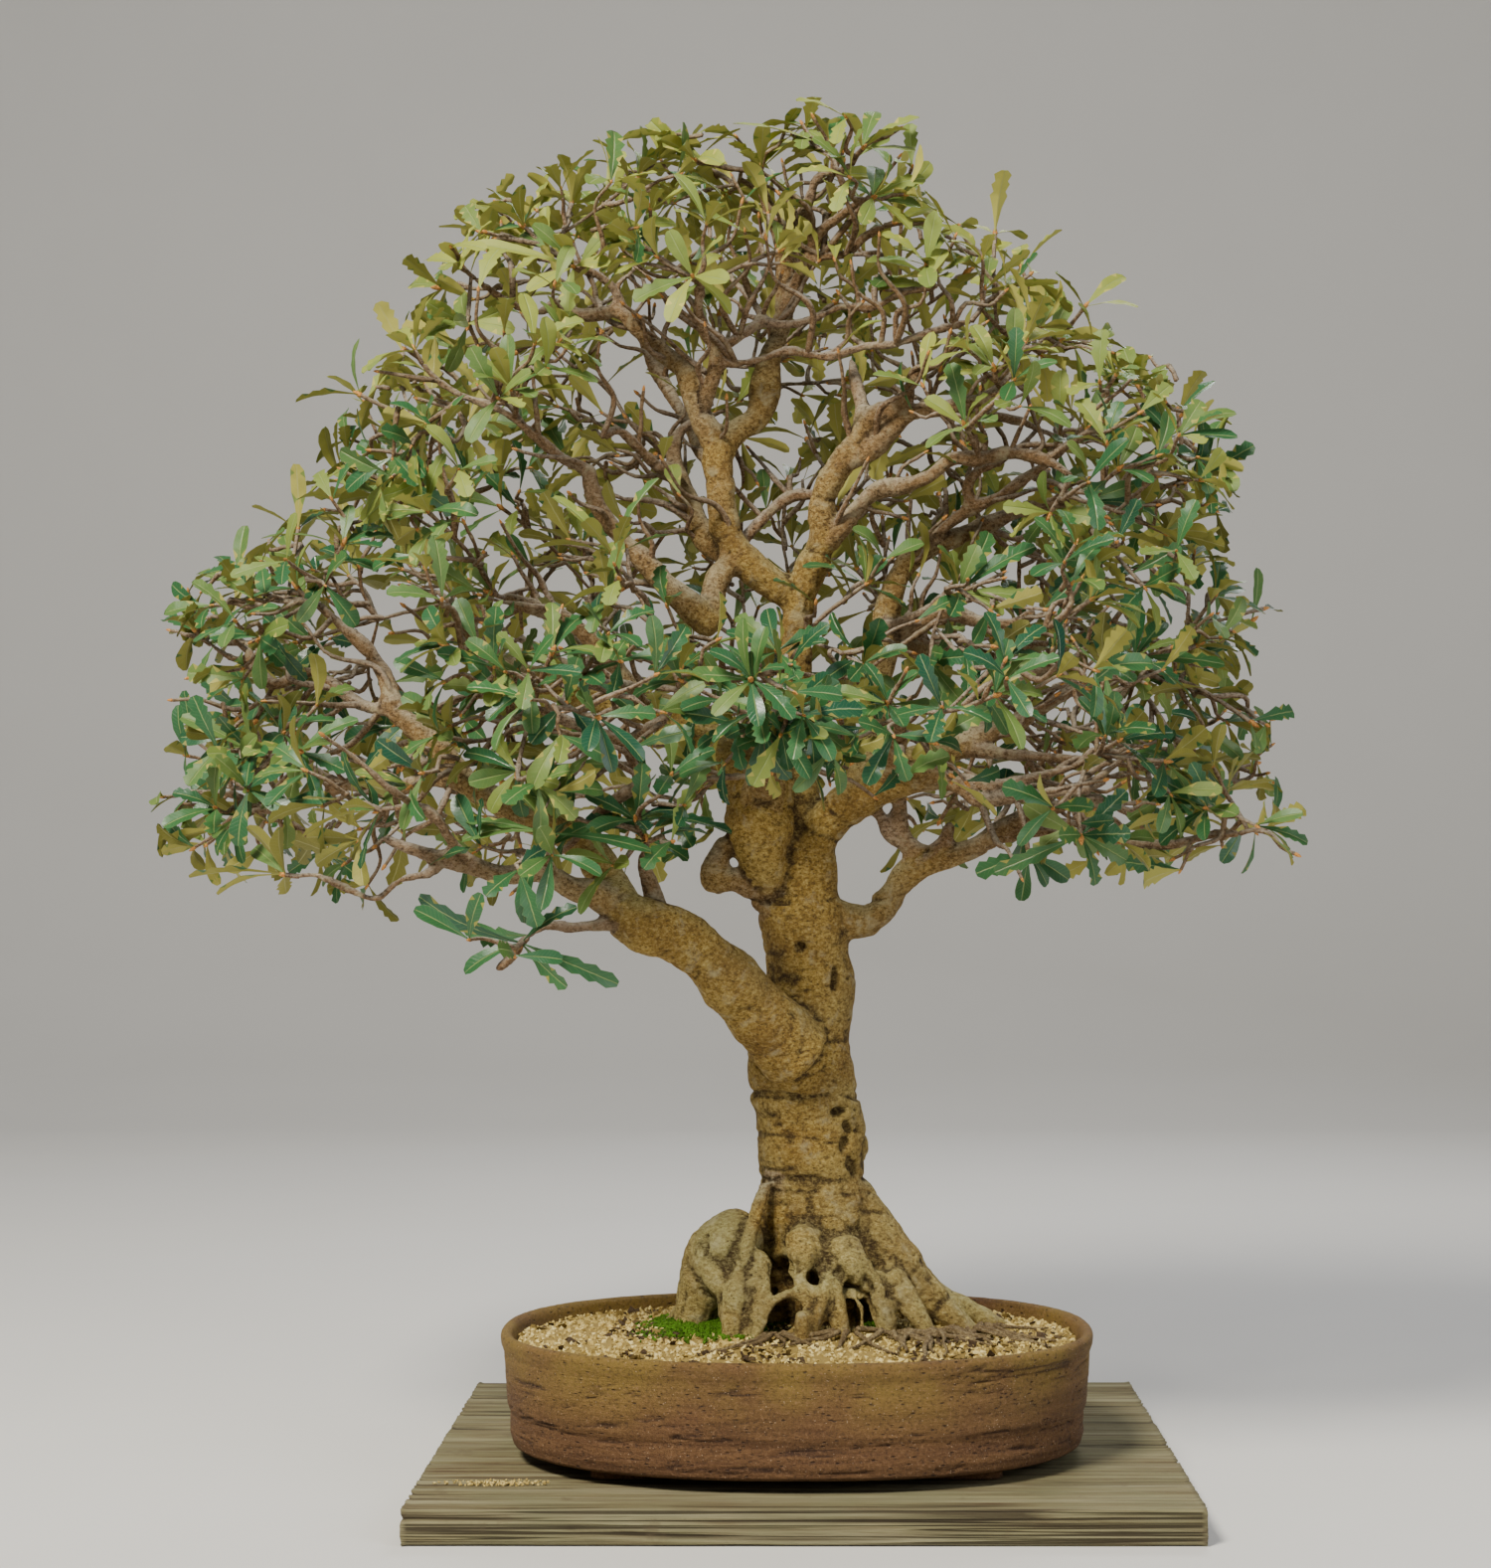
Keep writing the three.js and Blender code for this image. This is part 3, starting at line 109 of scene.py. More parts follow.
# Moss pads: name, middle across and in depth, half width, half depth, height, number of tufts, seed
MOSS_PADS = (
    ("moss_pad_left", -70, 16, 44, 47, 14, 3400, 8),
    ("moss_pad_right", 50, -4, 11, 9, 9, 300, 9),
)
GRAIN_COUNT = 9200
FLAKE_COUNT = 1500
# Crumbs of grit on the front plank: number, middle and spread across and in depth
CRUMB_COUNT = 260
CRUMB_MIDDLE = np.array([-206.0, -147.0])
CRUMB_SPREAD = np.array([21.0, 5.0])

# Size of the grid that the wood's skin is laid on, and the height where trunk and limbs part
WOOD_VOXEL = 2.45
CROWN_BASE = 470
TRUNK_STEP = 3.0
TRUNK_SIDES = 56
LIMB_STEP = 3.5
LIMB_SIDES = 14
# How far apart the bark's coordinates of two limbs lie
RUN_APART = 977.0

# Holes in the trunk's front: middle across and up, half width, half height, depth
TRUNK_HOLES = (
    (-3, 376, 5, 4, 7),
    (22, 353, 3, 10, 6),
    (24, 260, 8, 5, 9),
    (32, 250, 5, 7, 7),
    (28, 236, 4, 9, 5),
    (34, 222, 4, 8, 5),
    (-14, 146, 14, 10, 12),
    (8, 122, 44, 26, 15),
    (30, 146, 12, 7, 9),
)
# Creases round the trunk: height, slope, half height, depth
TRUNK_CREASES = (
    (408, 0.05, 3.0, 2.6),
    (398, -0.06, 2.2, 0.8),
    (386, 0.04, 2.2, 0.7),
    (345, 0.3, 2.2, 0.9),
    (272, -0.05, 2.6, 2.2),
    (212, 0.05, 2.6, 2.0),
    (204, -0.05, 2.2, 0.9),
    (188, 0.03, 2.2, 0.9),
    (326, -0.14, 1.9, 0.6),
    (304, 0.18, 1.9, 0.7),
    (254, 0.22, 1.9, 0.9),
    (241, -0.1, 1.9, 0.8),
    (228, 0.08, 1.9, 0.8),
)

# The pale burl at the left of the trunk: middle across and up, half width, half height
BURL = (-54, 155, 26, 36)

# Outline of a blade: share of its length, then the half width there, toothed or plain
EDGE_STATIONS = (0, 0.12, 0.38, 0.56, 0.63, 0.74, 0.8, 0.91, 1)
TOOTHED_EDGE = (0.08, 0.15, 0.55, 1.0, 0.7, 1.08, 0.72, 0.98, 0.36)
PLAIN_EDGE = (0.08, 0.15, 0.56, 0.88, 0.94, 1.0, 0.98, 0.82, 0.36)
TOOTHED_SHARE = 0.5
BLADE_THICKNESS = 0.56
# Numbers of the twigs' and the buds' material in a piece of foliage
TWIG_SLOT = 2
BUD_SLOT = 3
# Leaves of a rosette at the twig's end and below it, and of seeded rosettes, shoots and spurs
TOP_LEAVES = 7
LOWER_LEAVES = 1
FILL_LEAVES = 3
SHOOTS = 2
SHOOT_LEAVES = 4
SPUR_LEAVES = 3
SMALL_LEAF = 0.86
# Length from which a twig bears one more shoot and a shoot bears a spur
LONG_TWIG = 90
SPUR_FROM = 42
# Greatest cosine between two leaves of a rosette, the turn from one to the next, and how many are tried
CROWDED = 0.9
GOLDEN_TURN = 2.4
TIPS_TRIED = 30
# Number of the first of the lower leaves in its rosette's draws
LOWER_SALT = 40
# Twigs: spacing of the places that bear them, length for one kink, spacing and sides of their rings,
# sway, extra cost of growing inwards or from a limb, bearers and shapes tried, distance from other limbs
BEARING_STEP = 14
KINK_STEP = 150
TWIG_STEP = 5.6
TWIG_SIDES = 5
TWIG_SWAY = 0.16
INWARD_COST = 0.45
LIMB_COST = 1.5
BEARERS_TRIED = 12
ATTEMPTS = 3
LIMB_CLEARANCE = 2.5
BOX_MARGIN = 8.5
# Finer growth behind the front's limbs: places tried, least spacing and the crown's depth there
FILL_TRIES = 1500
FILL_SPACING = 60
CROWN_DEPTH = 190
# Nearly bare twigs inside the crown: number, greatest radius of a limb that bears one, least height
INNER_TWIGS = 230
THICK_LIMB = 9
INNER_BASE = 470
# Middle and reach of the crown's nearly bare inside in the front view: across, up and in depth
HEART_VIEW = (-30, 600)
INSIDE_REACH = np.array([330.0, 255.0, 150.0])
# Fine roots on the soil: number, points of each, and where they start from the part's middle
ROOTLETS = 44
ROOTLET_POINTS = 6
ROOTLET_STARTS = ((95, -60), (110, -40), (60, -72), (30, -76), (-20, -76), (128, -20), (80, -66))
# Height in the front view below which the trunk's front is hollow behind its roots
ROOTS_TOP = 165
# The crown's outline in the front view, across and up
CROWN_OUTLINE = (
    (-484, 458), (-488, 490), (-461, 623), (-426, 644), (-381, 668), (-335, 728), (-320, 780), (-290, 808),
    (-265, 868), (-234, 903), (-174, 938), (-108, 960), (-48, 956), (4, 976), (81, 963), (97, 896),
    (162, 869), (197, 829), (256, 787), (319, 735), (305, 693), (302, 644), (330, 612), (321, 560),
    (351, 511), (369, 437), (204, 407), (155, 416), (95, 448), (36, 483), (-45, 483), (-76, 448),
    (-118, 343), (-223, 353), (-300, 404), (-433, 418),
)
# Middles of the crown's zones, each a piece of foliage
CROWN_ZONES = (
    ("left_low", -300, -80, 480),
    ("left_high", -250, -20, 680),
    ("top_left", -110, -20, 850),
    ("top_right", 90, -20, 850),
    ("right_high", 230, 0, 680),
    ("right_low", 250, -40, 530),
    ("front_middle", 0, -140, 600),
    ("back", 0, 170, 640),
)

# Lights: name, place and aim in metres, size, power, colour
LIGHTS = (
    ("key", (-1.2, -1.9, 2.6), (0, 0, 0.5), 0.9, 165, (1.0, 0.95, 0.83)),
    ("fill", (1.9, -1.7, 1.2), (0, 0, 0.5), 1.6, 24, (0.95, 0.97, 1.0)),
    ("back", (0.6, 1.8, 2.1), (0, 0, 0.6), 1.2, 28, (0.97, 0.98, 1.0)),
)
WORLD_LIGHT = 0.22
# The floor's depth and height in metres, from the front up its curved back
FLOOR_PROFILE = ((-4, 0), (2.6, 0), (3.1, 0.06), (3.5, 0.25), (3.8, 0.6), (3.95, 1.1), (4, 1.8), (4, 5))
# Focal length, and how far the picture's middle is moved across and up
CAMERA_LENS = 66.2
CAMERA_SHIFT = (-0.0374, 0.0447)

# Trunk sections from the soil up: height, middle across, half width, half depth, middle in depth
TRUNK_SECTIONS = (
    (88, 10, 50, 44, 40),
    (104, 11, 52, 46, 39),
    (126, 11, 50, 45, 38),
    (143, 11, 49, 44, 37),
    (160, 11, 47.5, 42, 36),
    (175, 11, 44, 40, 34),
    (188, 10, 43, 39, 32),
    (203, 8, 40, 37, 30),
    (211, 6, 38.5, 36, 29),
    (213.5, 6, 36, 33.5, 29),
    (216, 5, 38, 36, 29),
    (235, 5, 38.5, 36, 26),
    (259, 4, 38.5, 36, 23),
    (270, 0, 40, 37, 21),
    (273, 0, 37, 34, 21),
    (277, -1, 38, 36, 20),
    (301, -4, 35, 35, 16),
    (315, -3, 34, 33, 15),
    (330, 3, 30.5, 31, 14),
    (353, 5, 30.8, 29, 12),
    (372, 2, 28.4, 28, 10),
    (389, 0, 30, 29, 9),
    (405, -2, 30.8, 30, 7),
    (408, -2, 28, 27, 7),
    (411, 2, 21.5, 24, 6),
    (418, 3, 19.6, 22, 6),
    (434, 4, 18.5, 20, 5),
    (448, 4, 17, 18, 4),
    (458, 4, 14, 15, 3),
)

# Limbs and roots: a name, then points of the front view: across, up, depth behind the pot's middle
# and radius
LIMBS = (
    ("leader to the apex", (-4, 444, 4, 14), (-4, 483, 8, 15), (-5, 525, 12, 13), (-6, 567, 13, 12),
      (-6, 598, 12, 12), (-4, 619, 10, 13), (-16, 628, 8, 12), (-29, 637, 5, 12), (-43, 650, 2, 12),
      (-54, 665, 0, 11.5), (-58, 684, 0, 10.5), (-59, 704, 0, 10.5), (-61, 722, 0, 11.5),
      (-48, 739, 7, 10), (-36, 746, 10, 10), (-29, 758, 12, 10.5), (-27, 773, 13, 11),
      (-25, 790, 14, 9.5), (-18, 806, 15, 8), (-14, 825, 16, 7.5), (-13, 844, 17, 7), (-14, 862, 18, 6.5),
      (-18, 878, 19, 5.5), (-25, 894, 20, 4.5), (-29, 910, 20, 3.8), (-30, 922, 20, 3)),
    ("right leader", (-5, 619, 10, 12), (2, 636, 8, 11.5), (9, 651, 5, 11.5), (13, 666, 2, 11),
      (12, 682, 0, 9.5), (15, 697, -2, 9.5), (24, 713, -5, 9), (34, 729, -8, 8.5), (43, 744, -10, 8),
      (53, 754, -16, 6.4), (66, 757, -22, 6), (72, 767, -28, 5.4), (80, 780, -34, 4.8),
      (92, 787, -40, 4.2)),
    ("left crown", (-65, 734, 0, 9), (-73, 750, 0, 8.5), (-78, 766, 2, 8.5), (-83, 782, 4, 8),
      (-99, 794, 8, 7), (-115, 809, 12, 6.5), (-129, 824, 16, 6), (-142, 822, 18, 5.5),
      (-159, 821, 18, 5.5), (-173, 829, 16, 5), (-188, 823, 8, 3.4), (-206, 829, 0, 3),
      (-220, 838, -6, 2.8), (-232, 847, -12, 2.6)),
    ("left lobe and arm", (-22, 414, -2, 8), (-27, 432, -7, 15), (-31, 451, -8, 22), (-31, 472, -6, 24),
      (-33, 493, -2, 22), (-57, 508, 3, 16), (-76, 526, 10, 15), (-94, 538, 18, 14.5),
      (-118, 547, 26, 13.5), (-146, 553, 34, 13), (-174, 560, 42, 11.5), (-201, 568, 50, 9.5),
      (-222, 582, 56, 7.5), (-236, 600, 60, 6.4), (-247, 616, 62, 5.4)),
    ("left low limb", (-6, 302, -14, 27), (-31, 328, -34, 24), (-50, 350, -50, 21.5),
      (-72, 372, -62, 18.5), (-93, 386, -72, 18), (-114, 392, -80, 18.5), (-128, 402, -84, 15),
      (-136, 420, -78, 13), (-148, 440, -74, 13), (-163, 456, -68, 13.5), (-188, 465, -66, 11),
      (-215, 479, -64, 9.5), (-237, 491, -60, 9), (-254, 512, -54, 8.4), (-272, 528, -48, 8),
      (-288, 544, -40, 7), (-295, 566, -34, 6.2), (-306, 584, -28, 5.6), (-323, 600, -22, 5),
      (-341, 616, -16, 4.2)),
    ("wiggly twig", (-153, 452, -72, 7), (-142, 472, -88, 5.4), (-125, 485, -96, 5),
      (-111, 493, -98, 5.2), (-120, 505, -98, 4.8), (-127, 519, -98, 5.4), (-148, 528, -104, 4.4),
      (-166, 535, -112, 4.2), (-184, 543, -120, 3.6)),
    ("apex right", (-16, 818, 14, 5), (-8, 836, 8, 5), (-1, 854, 4, 5), (6, 871, 0, 5),
      (14, 882, -4, 4.2), (26, 891, -14, 3.6), (38, 900, -26, 3)),
    ("apex twig", (7, 872, 0, 4), (0, 890, -2, 3.8), (5, 906, -6, 3.6), (9, 918, -10, 3.4),
      (20, 922, -14, 3.2), (34, 927, -20, 3)),
    ("apex low right", (1, 855, 4, 4.5), (13, 862, 0, 4.5), (30, 864, -2, 4.5), (41, 875, -4, 4),
      (55, 883, -8, 3.4)),
    ("left crown knob", (-128, 826, 16, 5), (-134, 840, 10, 4.5), (-144, 848, 4, 4.5),
      (-155, 855, -4, 3.6)),
    ("middle crown", (-71, 754, -2, 7), (-64, 777, -8, 6.5), (-61, 796, -12, 6.5), (-69, 809, -16, 5.5),
      (-75, 824, -24, 4.5), (-72, 840, -34, 3.6)),
    ("middle fork", (-61, 796, -12, 5.5), (-46, 806, -8, 5), (-30, 818, -2, 4.5), (-35, 829, 4, 3.6)),
    ("right thin", (-31, 816, -2, 4), (-6, 815, -6, 3.6), (15, 822, -10, 3.4), (27, 827, -12, 3.4),
      (50, 827, -14, 3.4), (67, 836, -16, 3.2), (93, 841, -18, 3)),
    ("crown crossing", (-62, 788, -11, 3.6), (-48, 787, -16, 3), (-31, 790, -14, 3.4),
      (-11, 796, -12, 3.4), (16, 792, -14, 4), (43, 799, -18, 4), (65, 801, -24, 3.6),
      (92, 810, -30, 3.2), (118, 817, -34, 2.8)),
    ("left side", (-52, 651, 6, 9), (-68, 661, 14, 8.5), (-78, 683, 20, 8), (-88, 704, 24, 8),
      (-92, 724, 26, 6.5), (-88, 738, 28, 4.5), (-79, 746, 30, 3.4)),
    ("left side twig", (-90, 708, 24, 5), (-104, 715, 16, 4.5), (-117, 728, 6, 4), (-131, 740, -4, 3.6),
      (-142, 735, -14, 3)),
    ("left hook", (-48, 650, 0, 9.5), (-61, 636, -8, 8.5), (-65, 619, -14, 8), (-68, 605, -18, 11),
      (-83, 619, -22, 8.5), (-99, 633, -26, 8), (-118, 654, -30, 7), (-138, 675, -34, 6),
      (-148, 693, -36, 5.5), (-152, 714, -38, 5)),
    ("left high", (-152, 712, -38, 4.6), (-170, 720, -44, 4.4), (-187, 734, -50, 4.2),
      (-204, 748, -54, 4), (-220, 757, -58, 3.8), (-240, 764, -60, 3.6), (-258, 775, -62, 3.2),
      (-269, 787, -62, 3)),
    ("right top", (43, 743, -10, 7), (40, 760, -4, 6), (36, 776, 2, 4.6), (33, 790, 8, 2.8)),
    ("right arm high", (26, 715, -5, 7), (50, 728, -12, 7), (61, 740, -18, 7), (75, 752, -24, 6.4),
      (99, 756, -32, 5.8), (123, 761, -40, 5), (141, 767, -46, 4.2)),
    ("right arm middle", (18, 664, 0, 8), (29, 675, -2, 6.8), (40, 688, -6, 6.4), (52, 698, -10, 6.6),
      (71, 701, -16, 6.6), (89, 708, -22, 6), (104, 720, -28, 6), (124, 720, -34, 5.2),
      (145, 724, -40, 4.8), (170, 719, -48, 4.2), (188, 708, -54, 3.6)),
    ("crossing twig", (-47, 656, 0, 6), (-44, 661, 12, 5), (-29, 678, 18, 4.6), (-10, 693, 20, 4.4),
      (10, 695, 10, 4)),
    ("right back riser", (41, 493, -8, 12), (48, 528, 12, 10), (53, 564, 24, 9.5), (57, 595, 30, 10),
      (60, 620, 34, 9.5), (70, 643, 38, 8.6), (85, 656, 42, 8), (106, 664, 46, 7), (128, 673, 50, 6),
      (155, 684, 54, 4.8), (187, 690, 58, 4), (206, 687, 60, 3.6), (227, 691, 60, 3.4), (244, 698, 58, 3)),
    ("right back twig", (79, 654, 40, 6), (99, 672, 34, 5), (118, 685, 26, 4.8), (138, 694, 18, 4.6),
      (158, 708, 10, 4.2), (170, 715, 4, 3.6)),
    ("right inner twig", (118, 686, 26, 4.4), (115, 700, 20, 4.2), (122, 711, 14, 3.8), (136, 716, 8, 3.2)),
    ("right orange twig", (54, 600, 28, 5), (69, 605, 6, 4.2), (86, 613, -20, 3.8), (99, 623, -44, 3.4)),
    ("right fork", (58, 595, 30, 6.5), (82, 605, 24, 6), (104, 611, 18, 5.6), (124, 605, 10, 5.2),
      (144, 604, 4, 4.8), (162, 612, -2, 4)),
    ("right up", (5, 446, 0, 15), (20, 468, -5, 15.5), (40, 482, -12, 14.5), (66, 492, -20, 11.5),
      (92, 495, -26, 8.6), (110, 489, -32, 6.2), (124, 479, -36, 5.2), (148, 482, -42, 5),
      (176, 485, -48, 4.6), (204, 488, -54, 4)),
    ("right middle", (33, 482, -10, 12.5), (53, 500, -8, 11), (78, 507, -6, 11), (102, 513, -4, 9.6),
      (124, 524, -2, 7.8), (148, 533, 0, 6.2), (169, 545, 2, 5.2), (187, 556, 4, 4.6), (205, 563, 4, 4)),
    ("right middle low", (114, 516, -4, 6.4), (141, 512, -12, 5.2), (169, 510, -20, 4.6),
      (197, 507, -28, 4), (216, 510, -34, 3.4)),
    ("right middle high", (110, 516, -2, 7), (127, 538, 12, 6.6), (141, 556, 22, 6.4),
      (162, 570, 30, 5.6), (184, 576, 32, 5)),
    ("right thin low", (94, 497, -24, 5), (116, 494, -30, 4.6), (135, 491, -36, 4.2),
      (163, 496, -42, 3.6), (190, 503, -46, 3)),
    ("right low", (20, 398, 8, 12), (44, 394, 6, 11), (59, 409, 5, 10.5), (71, 426, 2, 10.5),
      (87, 437, 0, 10.5), (104, 440, -4, 9), (123, 448, -8, 8), (141, 460, -12, 7), (163, 470, -16, 6),
      (188, 477, -20, 5), (209, 480, -24, 4)),
    ("right low tip", (130, 451, -10, 6), (162, 458, -18, 5.2), (194, 454, -26, 4.8),
      (225, 451, -32, 4.2), (257, 448, -38, 3.8), (282, 454, -42, 3.4), (307, 456, -44, 3)),
    ("right low riser", (82, 438, 0, 8), (70, 453, -3, 6), (66, 469, -5, 5.4), (69, 484, -8, 4.6)),
    ("right low stub", (72, 449, -3, 6), (59, 456, -5, 5), (55, 466, -6, 4.6), (50, 473, -7, 4)),
    ("right low spur", (89, 440, -2, 6.5), (99, 451, -6, 5), (103, 463, -8, 4)),
    ("loop", (-27, 407, 0, 8.5), (-40, 417, -6, 7), (-52, 424, -10, 8.5), (-64, 423, -12, 9.5),
      (-62, 437, -10, 8), (-54, 449, -6, 8.5)),
    ("left arm high", (-118, 549, 24, 9), (-137, 577, 10, 7.6), (-153, 594, 0, 7), (-174, 610, -10, 6.4),
      (-195, 617, -20, 6), (-211, 622, -26, 5.4)),
    ("left low arm", (-128, 404, -84, 12), (-148, 414, -96, 9.4), (-167, 419, -108, 8.8),
      (-184, 430, -118, 8.2), (-212, 427, -126, 7.6), (-238, 435, -132, 7), (-258, 440, -138, 6),
      (-279, 446, -142, 5), (-296, 453, -146, 4)),
    ("left far twig", (-250, 437, -136, 4), (-265, 428, -142, 3.6), (-285, 423, -146, 3.4),
      (-301, 410, -148, 3.4), (-319, 416, -146, 3.2), (-344, 427, -140, 3), (-356, 426, -134, 2.8)),
    ("left mid twig", (-234, 435, -132, 5), (-250, 453, -142, 4.4), (-258, 466, -148, 4),
      (-270, 474, -152, 3.8), (-288, 474, -154, 3.4)),
    ("left pale arm", (-223, 483, -62, 7), (-247, 493, -54, 7), (-271, 493, -44, 6.6),
      (-290, 486, -34, 5.6), (-320, 490, -26, 5), (-344, 498, -20, 4.6), (-363, 510, -24, 4)),
    ("left low tip", (-321, 490, -26, 4.4), (-348, 479, -20, 4), (-376, 473, -14, 3.8),
      (-391, 477, -10, 3.6), (-401, 483, -6, 3.2), (-418, 485, -2, 2.8)),
    ("left outer arm", (-286, 542, -42, 6), (-310, 546, -30, 5.6), (-328, 558, -18, 5.2),
      (-348, 570, -8, 4.8), (-373, 561, 0, 4.6), (-387, 575, 4, 4.2), (-391, 586, 6, 3.6)),
    ("left outer twig", (-386, 575, 4, 3.4), (-404, 580, 6, 3), (-418, 589, 6, 2.6)),
    ("left low riser", (-102, 395, -70, 9), (-107, 416, -64, 7), (-113, 435, -72, 5.6),
      (-111, 446, -86, 4)),
    ("wiggly right", (-127, 518, -98, 4.8), (-111, 529, -98, 4.4), (-98, 538, -98, 4),
      (-91, 552, -98, 3.4)),
    ("front low twig", (-135, 393, -88, 6), (-162, 390, -104, 4.4), (-181, 391, -118, 3.8),
      (-197, 382, -128, 3.2)),
    ("front stub", (-197, 382, -128, 3.2), (-205, 370, -130, 3.8), (-216, 360, -130, 4)),
    ("front centre arm", (-29, 483, -18, 10), (-23, 505, -62, 7.5), (-29, 522, -96, 5.4),
      (-33, 533, -108, 4)),
    ("front right arm", (54, 498, -12, 9), (65, 518, -58, 6.6), (67, 533, -96, 5), (61, 542, -114, 4)),
    ("front left arm", (-118, 544, 22, 9), (-125, 557, -34, 7), (-142, 560, -88, 5.4),
      (-155, 560, -112, 4)),
    ("back left arm", (-118, 547, 28, 10), (-142, 558, 106, 8), (-176, 578, 172, 6), (-202, 595, 214, 4.6)),
    ("back right arm", (55, 588, 28, 8.5), (85, 586, 98, 7), (127, 582, 164, 5.6), (169, 589, 206, 4.4)),
    ("back centre arm", (-5, 521, 12, 10), (-13, 540, 84, 8), (-26, 552, 156, 6), (-37, 558, 214, 4.4)),
    ("back crown arm", (-59, 703, 4, 7.5), (-75, 734, 62, 6.4), (-99, 774, 112, 5.4),
      (-118, 815, 146, 4.4)),
    ("back crown right", (41, 740, -8, 6), (64, 749, 44, 5.4), (106, 754, 96, 4.8), (155, 746, 138, 4)),
)

ROOTS = (
    ("long side root", (-27, 210, 0, 4.5), (-34, 188, -10, 6), (-39, 168, -16, 6.5), (-43, 148, -20, 7.5),
      (-47, 129, -24, 9.5), (-51, 101, -28, 9)),
    ("side root low", (-30, 160, -14, 6), (-33, 140, -22, 7), (-36, 120, -28, 7.5), (-37, 99, -32, 7)),
    ("burl", (-37, 178, 12, 17), (-52, 169, 6, 22), (-64, 154, 4, 22), (-72, 133, 6, 17),
      (-80, 101, 6, 13)),
    ("burl fold", (-72, 160, -8, 10), (-65, 146, -14, 10), (-54, 132, -18, 9.5), (-47, 101, -20, 9)),
    ("left surface root", (-71, 133, 16, 13), (-82, 120, 18, 9.5), (-96, 108, 20, 7), (-113, 94, 22, 5)),
    ("front knob", (-1, 175, -8, 13), (1, 160, -16, 14), (-2, 150, -16, 12)),
    ("front root one", (19, 153, -16, 6.5), (14, 133, -28, 7), (8, 113, -34, 6.6), (5, 98, -36, 6)),
    ("front root two", (23, 140, -20, 6), (24, 120, -28, 6.4), (27, 98, -34, 5.6)),
    ("front root three", (-27, 154, -16, 5.4), (-28, 133, -30, 5.2), (-31, 116, -36, 4.8),
      (-34, 98, -40, 4.4)),
    ("front root arch", (-29, 109, -40, 3.4), (-22, 126, -38, 3.2), (-9, 132, -34, 3.4),
      (1, 125, -34, 3.2), (6, 109, -36, 3)),
    ("front root slant", (-9, 150, -16, 5), (-2, 139, -28, 5.4), (9, 130, -32, 5)),
    ("front stub", (-1, 118, -40, 6), (-2, 94, -44, 6)),
    ("front lobe", (26, 168, -6, 15), (30, 153, -12, 15), (40, 144, -10, 13)),
    ("front right root", (44, 144, -10, 12), (52, 129, -14, 9), (58, 112, -18, 7.4), (61, 97, -20, 6)),
    ("fine root", (33, 133, -18, 3.2), (40, 122, -26, 3), (41, 99, -32, 2.8)),
    ("right buttress", (34, 206, 26, 13), (51, 174, 26, 19), (68, 148, 24, 19), (88, 129, 20, 13),
      (107, 113, 16, 9), (128, 98, 12, 6)),
    ("right surface root", (72, 146, 34, 15), (94, 130, 38, 10.5), (117, 120, 42, 7.5), (142, 108, 44, 5),
      (162, 94, 46, 3.6)),
    ("right low root", (57, 144, 2, 13), (74, 125, -8, 9.5), (85, 109, -18, 7), (94, 92, -24, 5)),
    ("back left root", (-6, 160, 64, 20), (-20, 136, 84, 13), (-36, 118, 102, 7)),
    ("back right root", (30, 160, 62, 20), (46, 136, 84, 13), (62, 118, 104, 7)),
    ("back root", (12, 154, 68, 20), (13, 133, 92, 12), (18, 116, 112, 7)),
)

